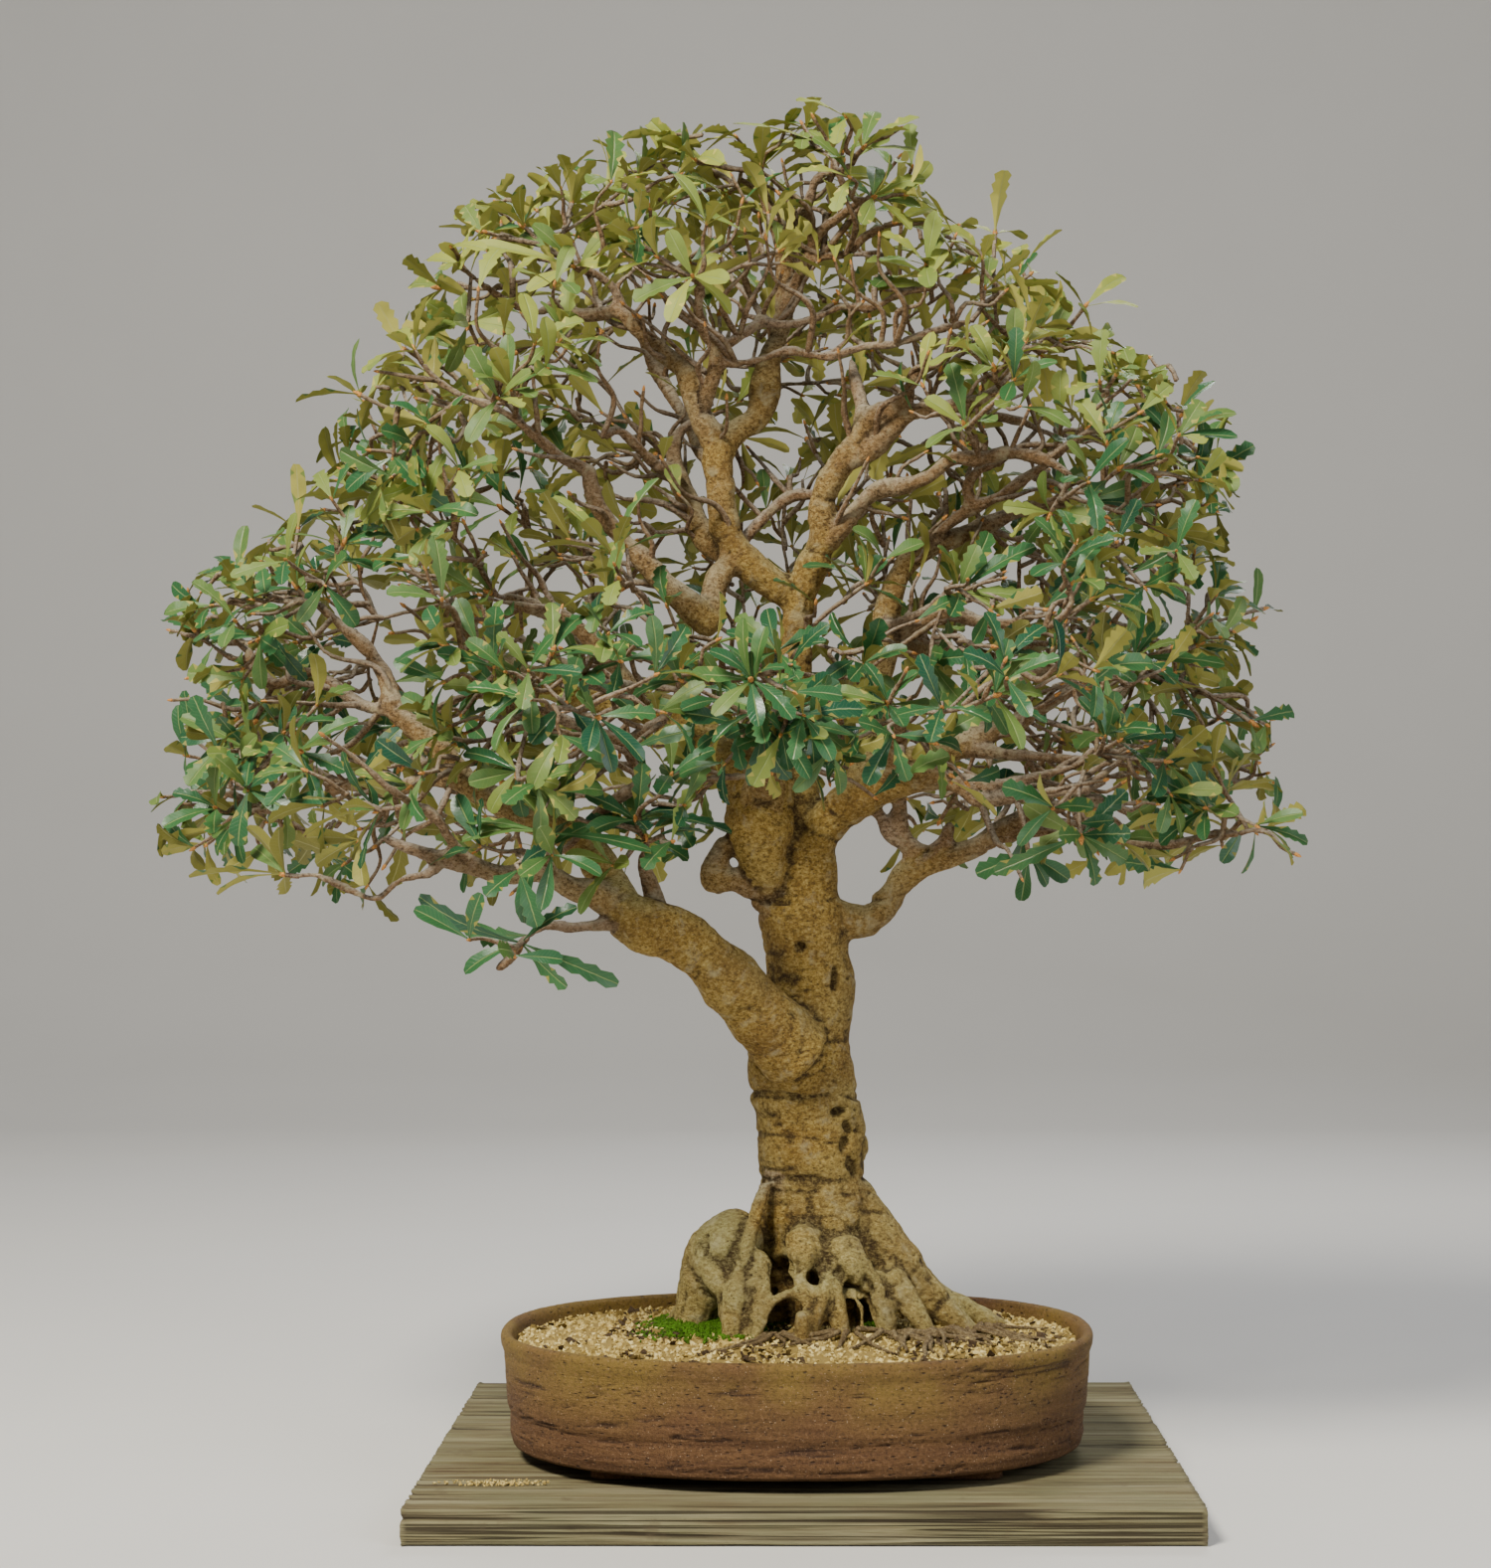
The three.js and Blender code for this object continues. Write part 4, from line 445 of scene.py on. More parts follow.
# Rosettes of leaves: the place at the twig's end across, up and in depth, then the tips of those
# leaves that show their length in the front view, across and up. The solids have the first ones.
ROSETTES = (
    ((1, 952, 4), (8, 974), (-2, 938)),
    ((18, 939, -18), (-50, 956), (27, 946), (-13, 927)),
    ((41, 938, -30), (81, 960), (29, 963), (50, 964), (72, 952)),
    ((-76, 930, 10), (-108, 958), (-45, 952), (-101, 945), (-57, 927)),
    ((-118, 918, 0), (-155, 930), (-149, 944), (-124, 940), (-107, 931)),
    ((48, 904, -40), (85, 917), (50, 925), (76, 899), (29, 913)),
    ((62, 886, -10), (95, 897), (95, 878), (51, 868)),
    ((-164, 899, 24), (-172, 934), (-136, 885), (-174, 908)),
    ((-197, 883, -10), (-230, 899), (-200, 912), (-223, 910)),
    ((-216, 875, 34), (-257, 883), (-237, 893)),
    ((-240, 855, -20), (-265, 860), (-255, 872)),
    ((-162, 855, -46), (-234, 871), (-157, 838), (-174, 878)),
    ((-237, 815, -30), (-265, 830), (-241, 835), (-209, 826)),
    ((-274, 796, -62), (-306, 782), (-292, 808), (-254, 819)),
    ((-115, 871, -58), (-146, 893), (-83, 878), (-145, 871)),
    ((-78, 848, -70), (-120, 831), (-61, 864), (-52, 822)),
    ((-174, 801, -70), (-197, 782), (-209, 798), (-157, 780)),
    ((-206, 768, -80), (-218, 798), (-174, 784), (-232, 777)),
    ((127, 838, -20), (179, 844), (104, 872), (159, 866), (131, 862), (176, 827)),
    ((202, 801, 14), (193, 829), (172, 794), (225, 798)),
    ((236, 770, 4), (253, 782), (225, 798), (258, 770)),
    ((257, 735, -10), (242, 771), (304, 752), (305, 735), (225, 749)),
    ((282, 708, 20), (317, 729), (305, 693), (298, 707)),
    ((134, 782, -62), (95, 776), (111, 801), (162, 791)),
    ((166, 794, 34), (184, 782), (194, 805)),
    ((-265, 745, -60), (-300, 740), (-261, 762), (-248, 749)),
    ((-264, 714, -34), (-289, 726), (-257, 699), (-237, 706)),
    ((-264, 682, -80), (-274, 722), (-230, 680), (-289, 692)),
    ((-325, 659, -44), (-382, 664), (-342, 678), (-299, 672)),
    ((-356, 628, -12), (-386, 651), (-320, 647), (-356, 651)),
    ((-395, 628, 4), (-426, 639), (-412, 651)),
    ((-428, 598, 4), (-463, 622), (-435, 571), (-435, 623), (-418, 616)),
    ((-367, 526, -76), (-370, 554), (-341, 538), (-355, 557)),
    ((-388, 513, -44), (-439, 538), (-393, 562), (-405, 528)),
    ((-430, 485, 0), (-481, 493), (-383, 505), (-484, 472), (-435, 518), (-433, 463)),
    ((-365, 427, -130), (-433, 425), (-413, 413), (-370, 459), (-387, 446)),
    ((-299, 472, -156), (-353, 481), (-325, 514), (-353, 454)),
    ((-244, 519, -110), (-248, 553), (-236, 536), (-274, 550)),
    ((-206, 549, -132), (-216, 575), (-254, 560), (-174, 549)),
    ((-220, 625, -30), (-234, 651), (-208, 648), (-254, 633)),
    ((-134, 651, -90), (-177, 693), (-190, 656), (-124, 679), (-102, 706)),
    ((-178, 582, -140), (-216, 578), (-156, 609), (-146, 584), (-164, 558)),
    ((-181, 456, -150), (-177, 519), (-238, 465), (-108, 444), (-197, 393), (-241, 451), (-174, 432)),
    ((-199, 379, -130), (-271, 412), (-131, 350), (-239, 358), (-167, 348), (-239, 389), (-160, 404)),
    ((-111, 451, -92), (-68, 456), (-118, 468), (-93, 463)),
    ((-202, 500, -150), (-239, 513), (-216, 526), (-173, 490)),
    ((-87, 571, -98), (-129, 589), (-40, 594), (-104, 563)),
    ((-34, 542, -112), (-46, 561), (-76, 560), (-10, 554)),
    ((59, 547, -122), (106, 544), (39, 558), (44, 538)),
    ((-19, 584, -60), (-47, 609), (16, 598), (-26, 614)),
    ((109, 626, -60), (130, 668), (163, 658), (94, 658), (159, 622)),
    ((212, 570, -60), (174, 589), (219, 524), (212, 612), (232, 563)),
    ((276, 588, 4), (305, 584), (277, 612), (291, 595)),
    ((221, 521, -80), (212, 553), (253, 528), (239, 542)),
    ((314, 535, 4), (351, 507), (344, 542), (314, 499), (298, 547)),
    ((296, 485, -20), (337, 485), (331, 493), (267, 497)),
    ((326, 460, -44), (367, 440), (361, 462), (331, 477)),
    ((195, 455, -92), (134, 429), (155, 477), (205, 420), (227, 486), (230, 456)),
    ((254, 668, -20), (296, 658), (239, 684), (284, 668)),
    ((289, 623, 4), (324, 611), (302, 608)),
    ((174, 682, -60), (170, 711), (205, 678), (148, 665)),
    ((-356, 591, 110),),
    ((-272, 665, 190),),
    ((-298, 538, 150),),
    ((-174, 647, 240),),
    ((-146, 808, 160),),
    ((-59, 878, 150),),
    ((34, 560, 236),),
    ((198, 608, 236),),
    ((246, 651, 176),),
    ((268, 578, 150),),
    ((191, 735, 170),),
    ((142, 796, 140),),
    ((-146, 538, -196),),
    ((134, 553, -180),),
    ((-76, 560, 256),),
    ((-247, 623, 66), (-265, 634), (-258, 595)),
    ((201, 620, -150),),
    ((-191, 742, 180),),
    ((-37, 564, -196),),
    ((-230, 609, 236),),
    ((-58, 860, 44), (-33, 840), (-75, 875)),
    ((-75, 502, -50), (-93, 496), (-73, 488)),
    ((141, 581, 256),),
    ((-30, 924, 20), (-45, 936), (-9, 944)),
    ((-90, 902, 36), (-61, 927), (-118, 907)),
    ((-52, 908, 64), (-76, 924), (-27, 916)),
    ((-19, 866, -36), (-62, 850), (-46, 876)),
    ((66, 847, 10), (59, 860), (50, 841)),
    ((90, 847, -24), (82, 861), (97, 860)),
    ((155, 801, -52), (173, 809), (144, 813)),
    ((219, 778, -30), (198, 782), (200, 801)),
    ((249, 708, -44), (225, 728), (239, 689)),
    ((221, 712, -70), (207, 766), (218, 742)),
    ((198, 740, -24), (193, 760), (176, 759)),
    ((114, 742, -64), (125, 731), (135, 746)),
    ((-237, 745, 24), (-216, 735), (-248, 763)),
    ((-297, 693, -20), (-345, 694), (-321, 708)),
    ((-383, 594, -44), (-415, 595), (-363, 603)),
    ((-356, 514, -100), (-331, 519), (-314, 536)),
    ((-396, 468, -24), (-414, 453), (-382, 483)),
    ((-157, 566, -118), (-117, 582), (-120, 542)),
    ((-118, 465, -110), (-51, 456), (-146, 474)),
    ((-68, 567, -40), (-43, 550), (-83, 549)),
    ((-8, 544, -136), (18, 568), (25, 552)),
    ((-29, 532, -150), (-55, 524), (-2, 510)),
    ((4, 533, -166), (44, 544), (20, 519)),
    ((52, 530, -86), (85, 525), (68, 514)),
    ((41, 575, -70), (25, 584), (54, 588)),
    ((89, 578, -64), (102, 605), (115, 581)),
    ((2, 507, -118), (-13, 528), (26, 514)),
    ((88, 521, -92), (110, 514), (76, 510)),
    ((43, 631, -30), (-1, 644), (55, 651)),
    ((123, 560, -84), (116, 581), (135, 570)),
    ((233, 580, -16), (254, 605), (296, 575)),
    ((256, 528, -24), (249, 553), (232, 510)),
    ((158, 442, -58), (153, 409), (170, 432)),
    ((253, 507, -72), (246, 483), (277, 511)),
    ((284, 474, -66), (282, 456), (305, 469)),
    ((267, 647, 24), (302, 644), (277, 628)),
    ((204, 651, -34), (239, 651), (176, 651)),
    ((239, 630, -66), (261, 622), (225, 614)),
    ((274, 553, 24), (313, 554), (260, 544)),
    ((-320, 637, 150),),
    ((-237, 703, 160),),
    ((-132, 588, 256),),
    ((-115, 850, 176),),
    ((-23, 558, 264),),
    ((85, 578, 250),),
    ((225, 538, 190),),
    ((208, 679, 210),),
    ((-251, 588, -160),),
)
ROSETTES_IN_SOLIDS = 84

# Seeded numbers and smooth noise


def draw(index, salt):
    """A fraction from 0 to 1 that depends on two numbers: a thing's own, and which of its draws it is"""
    mask = 0xFFFFFFFF
    mix = ((index + 1) * 0x9E3779B1 ^ (salt + 1) * 0x85EBCA6B) & mask
    mix = (mix ^ (mix >> 15)) * 0x2C1B3C6D & mask
    mix = (mix ^ (mix >> 12)) * 0x297A2D39 & mask
    return (mix ^ (mix >> 15)) / 4294967296


def lattice(cell, seed):
    """A fraction from 0 to 1 for each row of whole numbers"""
    mix = cell[:, 0] * np.uint32(374761393) + cell[:, 1] * np.uint32(668265263)
    mix = mix + cell[:, 2] * np.uint32(2246822519) + np.uint32(seed * 326648991 & 0xFFFFFFFF)
    mix = (mix ^ (mix >> np.uint32(15))) * np.uint32(2246822519)
    mix = (mix ^ (mix >> np.uint32(13))) * np.uint32(3266489917)
    return (mix ^ (mix >> np.uint32(16))) / 4294967295.0


def whole_cells(numbers):
    """Whole numbers, also those below 0, in the form that lattice takes"""
    return numbers.astype(np.int64).astype(np.uint32)


def noise(points, size, seed=0):
    """Smooth noise from -1 to 1 whose features have about that size, one size or one an axis"""
    scaled = np.asarray(points, float) / size
    low = np.floor(scaled)
    cell = whole_cells(low)
    part = scaled - low
    part = part * part * (3 - 2 * part)
    total = np.zeros(len(scaled))
    for step in np.ndindex(2, 2, 2):
        weight = np.prod(np.where(step, part, 1 - part), axis=1)
        total += weight * lattice(cell + np.array(step, np.uint32), seed)
    return total * 2 - 1


def ridges(points, size, seed):
    """Noise from 0 to 1 with sharp valleys at 0"""
    return np.abs(noise(points, size, seed))


def knobs(points, size, seed):
    """Round bumps from 0 to 1, one to a cell of that size, each at a seeded place"""
    scaled = np.asarray(points, float) / size
    low = np.floor(scaled)
    cell = whole_cells(low)
    nearest = np.full(len(scaled), 9.0)
    for step in np.ndindex(3, 3, 3):
        shift = np.array(step) - 1
        other = cell + whole_cells(shift)
        jitter = np.stack([lattice(other, seed + axis) for axis in range(3)], axis=1)
        away = np.linalg.norm(low + shift + jitter - scaled, axis=1)
        nearest = np.minimum(nearest, away)
    return np.clip(1 - nearest, 0, 1) ** 0.8


def smoothstep(low, high, value):
    """0 below low, 1 above high, and smooth between them"""
    share = np.clip((value - low) / (high - low), 0, 1)
    return share * share * (3 - 2 * share)


# Places, directions and lines


def spread_at(depth):
    """How much larger a thing is than the front view shows it, for its depth behind the pot's middle"""
    return 1 + depth / EYE_DISTANCE


def from_front(points):
    """Points of the front view [across, up, depth behind the pot's middle] in the part's frame"""
    points = np.asarray(points, float)
    across, up, depth = points[..., 0], points[..., 1], points[..., 2]
    spread = spread_at(depth)
    height = EYE_HEIGHT + (up - EYE_HEIGHT) * spread
    return np.stack([across * spread, POT_CENTRE[1] + depth, height], axis=-1)


def to_front(points):
    """Across, up and depth in the front view, the inverse of from_front"""
    depth = points[..., 1] - POT_CENTRE[1]
    spread = spread_at(depth)
    return points[..., 0] / spread, EYE_HEIGHT + (points[..., 2] - EYE_HEIGHT) / spread, depth


def level_points(x, y):
    """Points at height 0"""
    return np.stack([x, y, x * 0], axis=-1)


def even_turns(sides):
    """Angles at even steps round a circle"""
    return np.arange(sides) / sides * 2 * math.pi


def unit(vectors):
    """Vectors of the same directions and length 1"""
    vectors = np.asarray(vectors, float)
    return vectors / np.maximum(np.linalg.norm(vectors, axis=-1, keepdims=True), 1e-9)


def sideways(heading, lean=(0.3, 0.2, 1)):
    """Two directions across a heading"""
    level = unit(np.cross(heading, lean))
    return level, np.cross(heading, level)


def turned_side(heading, turn):
    """The direction across a heading at a turn round it"""
    level, other = sideways(heading)
    return level * math.cos(turn) + other * math.sin(turn)


def run_along(line):
    """Distance along a line at each of its points"""
    return np.concatenate([[0], np.cumsum(np.linalg.norm(np.diff(line, axis=0), axis=1))])


def read_off(places, run, rows):
    """The rows at places between those where the run is known"""
    return np.stack([np.interp(places, run, column) for column in rows.T], axis=-1)


def resampled(profile, spacing):
    """Points along an outline at even steps"""
    profile = np.array(profile, float)
    run = run_along(profile)
    return read_off(np.linspace(0, run[-1], max(2, int(run[-1] / spacing) + 1)), run, profile)


def curve_through(line, values, spacing):
    """A smooth line through the points, with the values carried along it"""
    line = np.asarray(line, float)
    values = np.asarray(values, float)
    whole = np.concatenate([line, values[:, None]], axis=1)
    padded = np.concatenate([2 * whole[:1] - whole[1:2], whole, 2 * whole[-1:] - whole[-2:-1]])
    rows = []
    for index in range(len(whole) - 1):
        before, first, second, after = padded[index:index + 4]
        steps = max(1, int(round(np.linalg.norm(second[:3] - first[:3]) / spacing)))
        for share in np.arange(steps) / steps:
            rows.append(
                first
                + 0.5 * share * (second - before)
                + share ** 2 * (before - 2.5 * first + 2 * second - 0.5 * after)
                + share ** 3 * (1.5 * (first - second) + 0.5 * (after - before))
            )
    rows.append(whole[-1])
    rows = np.array(rows)
    return rows[:, :3], np.maximum(rows[:, 3], values.min() * 0.7)


def frames_along(line):
    """Heading and two directions across it at each point of a line, without needless twist"""
    headings = unit(np.gradient(line, axis=0))
    across = np.array([0.31, 0.17, 0.94])
    firsts = []
    for heading in headings:
        across = across - np.dot(across, heading) * heading
        across = across / max(np.linalg.norm(across), 1e-9)
        firsts.append(across)
    firsts = np.array(firsts)
    return headings, firsts, np.cross(headings, firsts)


# Meshes: a shape is a dictionary of points, triangles, a material number and values at the points


def ring_faces(rows, columns):
    """Faces with four corners between closed rings of points"""
    row, column = np.meshgrid(np.arange(rows - 1), np.arange(columns), indexing="ij")
    here = (row * columns + column).ravel()
    right = (row * columns + (column + 1) % columns).ravel()
    return np.stack([here, right, right + columns, here + columns], axis=1)


def split_faces(quads):
    """Triangles from faces with four corners"""
    return np.concatenate([quads[:, [0, 1, 2]], quads[:, [0, 2, 3]]])


def closed_stack(rings, bottom, top):
    """A closed shape from rings of points and the points that end it"""
    count, sides = rings.shape[:2]
    side = np.arange(sides)
    following = (side + 1) % sides
    last = (count - 1) * sides
    low = np.full(sides, count * sides)
    faces = [
        split_faces(ring_faces(count, sides)),
        np.stack([low, following, side], axis=1),
        np.stack([low + 1, last + side, last + following], axis=1),
    ]
    points = np.concatenate([rings.reshape(-1, 3), [bottom, top]])
    return {"points": points, "faces": np.concatenate(faces)}


def tube(line, radii, sides):
    """A closed tube along a line"""
    headings, first, second = frames_along(line)
    turns = even_turns(sides)
    rings = (
        line[:, None]
        + first[:, None] * (np.cos(turns) * radii[:, None])[..., None]
        + second[:, None] * (np.sin(turns) * radii[:, None])[..., None]
    )
    start = line[0] - headings[0] * radii[0] * 0.6
    end = line[-1] + headings[-1] * radii[-1] * 0.6
    return closed_stack(rings, start, end)


def join(shapes):
    """One shape from several, keeping the values that all of them have"""
    starts = np.cumsum([0] + [len(shape["points"]) for shape in shapes])
    materials = [np.zeros(len(shape["faces"]), int) + shape.get("material", 0) for shape in shapes]
    joined = {
        "faces": np.concatenate([shape["faces"] + start for shape, start in zip(shapes, starts)]),
        "material": np.concatenate(materials),
    }
    shared = set(shapes[0]).intersection(*shapes[1:])
    for name in sorted(shared - set(joined)):
        joined[name] = np.concatenate([shape[name] for shape in shapes])
    return joined


def values_of(shape):
    """Names of the values that a shape has at its points"""
    return [name for name in shape if name not in ("points", "faces", "material", "normals")]


def build_mesh(name, shape, smooth=True):
    """A mesh in metres from a shape, with its values as attributes of the points"""
    points = shape["points"] / 1000
    faces = shape["faces"]
    material = np.zeros(len(faces), np.int32) + shape.get("material", 0)
    mesh = bpy.data.meshes.new(name)
    mesh.vertices.add(len(points))
    mesh.vertices.foreach_set("co", points.astype(np.float32).ravel())
    mesh.loops.add(faces.size)
    mesh.loops.foreach_set("vertex_index", faces.astype(np.int32).ravel())
    mesh.polygons.add(len(faces))
    mesh.polygons.foreach_set("loop_start", (np.arange(len(faces)) * 3).astype(np.int32))
    mesh.polygons.foreach_set("material_index", material.astype(np.int32))
    mesh.polygons.foreach_set("use_smooth", np.full(len(faces), smooth))
    mesh.update(calc_edges=True)
    for key in values_of(shape):
        attribute = mesh.attributes.new(key, "FLOAT", "POINT")
        attribute.data.foreach_set("value", np.asarray(shape[key], np.float32))
    if "normals" in shape:
        mesh.normals_split_custom_set(shape["normals"].reshape(-1, 3).tolist())
    return mesh


def placed(name, data):
    """A new object in the scene that holds the data"""
    item = bpy.data.objects.new(name, data)
    bpy.context.scene.collection.objects.link(item)
    return item


def add_piece(name, shape, materials, nodes, smooth=True):
    """A piece of the tree, pot or board that rides with the part and stands for CAD nodes"""
    piece = placed(name, build_mesh(name, shape, smooth))
    for material in materials:
        piece.data.materials.append(material)
    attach(piece, "root")
    if nodes:
        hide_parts(*nodes)


def smoothed(points, edges, rounds, share):
    """Points moved towards the middle of their neighbours"""
    count = np.bincount(edges.ravel(), minlength=len(points))[:, None]
    for _ in range(rounds):
        total = np.zeros_like(points)
        for axis in range(3):
            for one, other in ((0, 1), (1, 0)):
                total[:, axis] += np.bincount(
                    edges[:, one], points[edges[:, other], axis], minlength=len(points)
                )
        points = points + (total / count - points) * share
    return points


def applied(item):
    """The mesh of an object after its modifiers"""
    return bpy.data.meshes.new_from_object(item.evaluated_get(bpy.context.evaluated_depsgraph_get()))


def read_mesh(mesh):
    """Points in mm, triangles and edges of a mesh"""
    mesh.calc_loop_triangles()
    read = []
    for items, key, kind, size in (
        (mesh.vertices, "co", np.float32, 3),
        (mesh.loop_triangles, "vertices", np.int32, 3),
        (mesh.edges, "vertices", np.int32, 2),
    ):
        values = np.empty(len(items) * size, kind)
        items.foreach_get(key, values)
        read.append(values.reshape(-1, size))
    points, faces, edges = read
    return points.astype(float) * 1000, faces, edges


def point_normals(points, faces):
    """Smooth normals of a closed mesh of triangles"""
    corners = points[faces]
    areas = np.cross(corners[:, 1] - corners[:, 0], corners[:, 2] - corners[:, 0])
    total = np.zeros_like(points)
    for axis in range(3):
        for corner in range(3):
            total[:, axis] += np.bincount(faces[:, corner], areas[:, axis], minlength=len(points))
    return unit(total)


def skin_over(shape):
    """Points, triangles and edges of one closed skin over overlapping closed bodies"""
    rough = placed("rough", build_mesh("rough", shape))
    modifier = rough.modifiers.new("skin", "REMESH")
    modifier.mode = "VOXEL"
    modifier.voxel_size = WOOD_VOXEL / 1000
    mesh = applied(rough)
    skin = read_mesh(mesh)
    bpy.data.objects.remove(rough)
    bpy.data.meshes.remove(mesh)
    return skin


def carved_with(shape, cutters):
    """A shape less some closed shapes"""
    whole = placed("whole", build_mesh("whole", shape))
    tools = [placed("tool", build_mesh("tool", cutter)) for cutter in cutters]
    for tool in tools:
        modifier = whole.modifiers.new("cut", "BOOLEAN")
        modifier.object = tool
        modifier.solver = "EXACT"
    mesh = applied(whole)
    points, faces, _ = read_mesh(mesh)
    cut = {"points": points, "faces": faces}
    for key in values_of(shape):
        cut[key] = np.empty(len(points), np.float32)
        mesh.attributes[key].data.foreach_get("value", cut[key])
    for item in [whole, *tools]:
        bpy.data.objects.remove(item)
    return cut


# Materials


class Nodes:
    """A material's node tree with short calls for the nodes it needs"""

    def __init__(self, name):
        self.material = bpy.data.materials.new(name)
        self.material.use_nodes = True
        self.tree = self.material.node_tree
        self.surface = self.tree.nodes["Principled BSDF"]
        self.output = self.tree.nodes["Material Output"]

    def feed(self, socket, source):
        """Puts a number, a colour or another node's output into a socket, or leaves it for None"""
        if isinstance(source, (int, float)):
            socket.default_value = source
        elif isinstance(source, tuple):
            socket.default_value = (*source, 1)
        elif source is not None:
            self.tree.links.new(source, socket)

    def add(self, kind, sockets, **settings):
        """A node with its settings and what feeds its sockets"""
        node = self.tree.nodes.new(kind)
        for key, value in settings.items():
            setattr(node, key, value)
        for key, source in sockets.items():
            self.feed(node.inputs[key], source)
        return node

    def place(self, scale):
        """Object coordinates times a scale, one number or one an axis"""
        coordinates = self.add("ShaderNodeTexCoord", {})
        mapping = self.add("ShaderNodeMapping", {"Vector": coordinates.outputs["Object"]})
        mapping.inputs["Scale"].default_value = (scale,) * 3 if np.isscalar(scale) else scale
        return mapping.outputs["Vector"]

    def noise(self, scale, detail=4, roughness=0.6, warp=0.0):
        sockets = {
            "Vector": self.place(scale),
            "Scale": 1,
            "Detail": detail,
            "Roughness": roughness,
            "Distortion": warp,
        }
        return self.add("ShaderNodeTexNoise", sockets).outputs["Fac"]

    def cells(self, scale):
        """Distance to the nearest of scattered points"""
        sockets = {"Vector": self.place(scale), "Scale": 1}
        return self.add("ShaderNodeTexVoronoi", sockets).outputs["Distance"]

    def value(self, name):
        """A value that the mesh has at its points"""
        return self.add("ShaderNodeAttribute", {}, attribute_name=name).outputs["Fac"]

    def math(self, operation, first, second=0.5):
        return self.add("ShaderNodeMath", {0: first, 1: second}, operation=operation).outputs["Value"]

    def times(self, first, second):
        return self.math("MULTIPLY", first, second)

    def plus(self, first, second):
        return self.math("ADD", first, second)

    def ramp(self, source, low, high, start=0.0, end=1.0):
        """The source stretched from low and high to start and end, and kept between them"""
        sockets = {"Value": source, "From Min": low, "From Max": high, "To Min": start, "To Max": end}
        return self.add("ShaderNodeMapRange", sockets).outputs["Result"]

    def mix(self, share, first, second):
        """A colour mixed from two, each a colour or another node's output"""
        return self.add("ShaderNodeMix", {0: share, 6: first, 7: second}, data_type="RGBA").outputs[2]

    def layered(self, colour, *layers):
        """A colour with others laid over it in turn, each with its share"""
        for share, over in layers:
            colour = self.mix(share, colour, over)
        return colour

    def bump(self, height, strength, distance, before=None):
        """A normal tilted by a height, on top of another bump if there is one"""
        sockets = {"Strength": strength, "Distance": distance, "Height": height, "Normal": before}
        return self.add("ShaderNodeBump", sockets).outputs["Normal"]

    def finish(self, colour, roughness, normal, specular):
        """Feeds the surface and returns the material"""
        sockets = {
            "Base Color": colour,
            "Roughness": roughness,
            "Normal": normal,
            "Specular IOR Level": specular,
        }
        for key, source in sockets.items():
            self.feed(self.surface.inputs[key], source)
        return self.material


def bark_material():
    """Golden grainy bark with painted shade in its hollows, pale green on burls, and pale grey painted
    light on the tops of twigs and thin limbs
    """
    n = Nodes("bark")
    # Painted shade from the mesh, low in the wood's hollows, holes, creases and folds
    relief = n.value("relief")
    girth = n.value("girth")
    # Pale bloom: the wood's own on burls and roots, painted light on the upper sides of twigs and thin
    # limbs
    bloom = n.value("bloom")
    broad = n.noise(22, 3)
    patch = n.noise(75, 5, 0.65, 0.4)
    grain = n.noise((320, 320, 440), 6, 0.8, 0.3)
    fine = n.noise(1100, 4, 0.7)
    golden = n.mix(n.ramp(broad, 0.38, 0.62), (0.35, 0.205, 0.036), (0.46, 0.3, 0.066))
    bloom_middle = n.mix(girth, (0.54, 0.46, 0.36), (0.43, 0.375, 0.14))
    bloom_pale = n.mix(girth, (0.72, 0.66, 0.57), (0.76, 0.68, 0.38))
    dark = n.mix(girth, (0.085, 0.045, 0.022), (0.14, 0.076, 0.02))
    middle = n.mix(bloom, n.mix(girth, (0.31, 0.18, 0.085), golden), bloom_middle)
    pale = n.mix(bloom, n.mix(girth, (0.46, 0.36, 0.25), (0.7, 0.54, 0.19)), bloom_pale)
    # Lichen in patches where the painted shade is light, so partly painted light on ridges and lumps
    lichen_and_ridge_light = n.times(n.ramp(patch, 0.54, 0.66), n.ramp(relief, 0.4, 0.8))
    pits = n.times(n.ramp(n.cells((270, 270, 430)), 0.26, 0.12), n.ramp(patch, 0.58, 0.46))
    # Painted shade: near black deep in the hollows, holes and creases
    deep = n.times(n.ramp(relief, 0.56, 0.12, 0, 0.96), n.ramp(grain, 0.6, 0.44, 0.5, 1))
    colour = n.layered(
        dark,
        (n.ramp(grain, 0.38, 0.51), middle),
        (n.ramp(grain, 0.51, 0.68), pale),
        (n.times(bloom, 0.45), bloom_middle),
        (n.ramp(broad, 0.55, 0.36, 0, 0.35), (0.17, 0.095, 0.028)),
        (n.times(lichen_and_ridge_light, 0.4), (0.6, 0.55, 0.34)),
        (n.times(pits, 0.65), (0.075, 0.04, 0.014)),
        (deep, (0.05, 0.027, 0.009)),
    )
    height = n.plus(n.plus(grain, n.times(fine, 0.35)), n.times(pits, -0.5))
    return n.finish(colour, n.ramp(fine, 0.3, 0.7, 0.72, 0.95), n.bump(height, 1.0, 0.0034), 0.3)


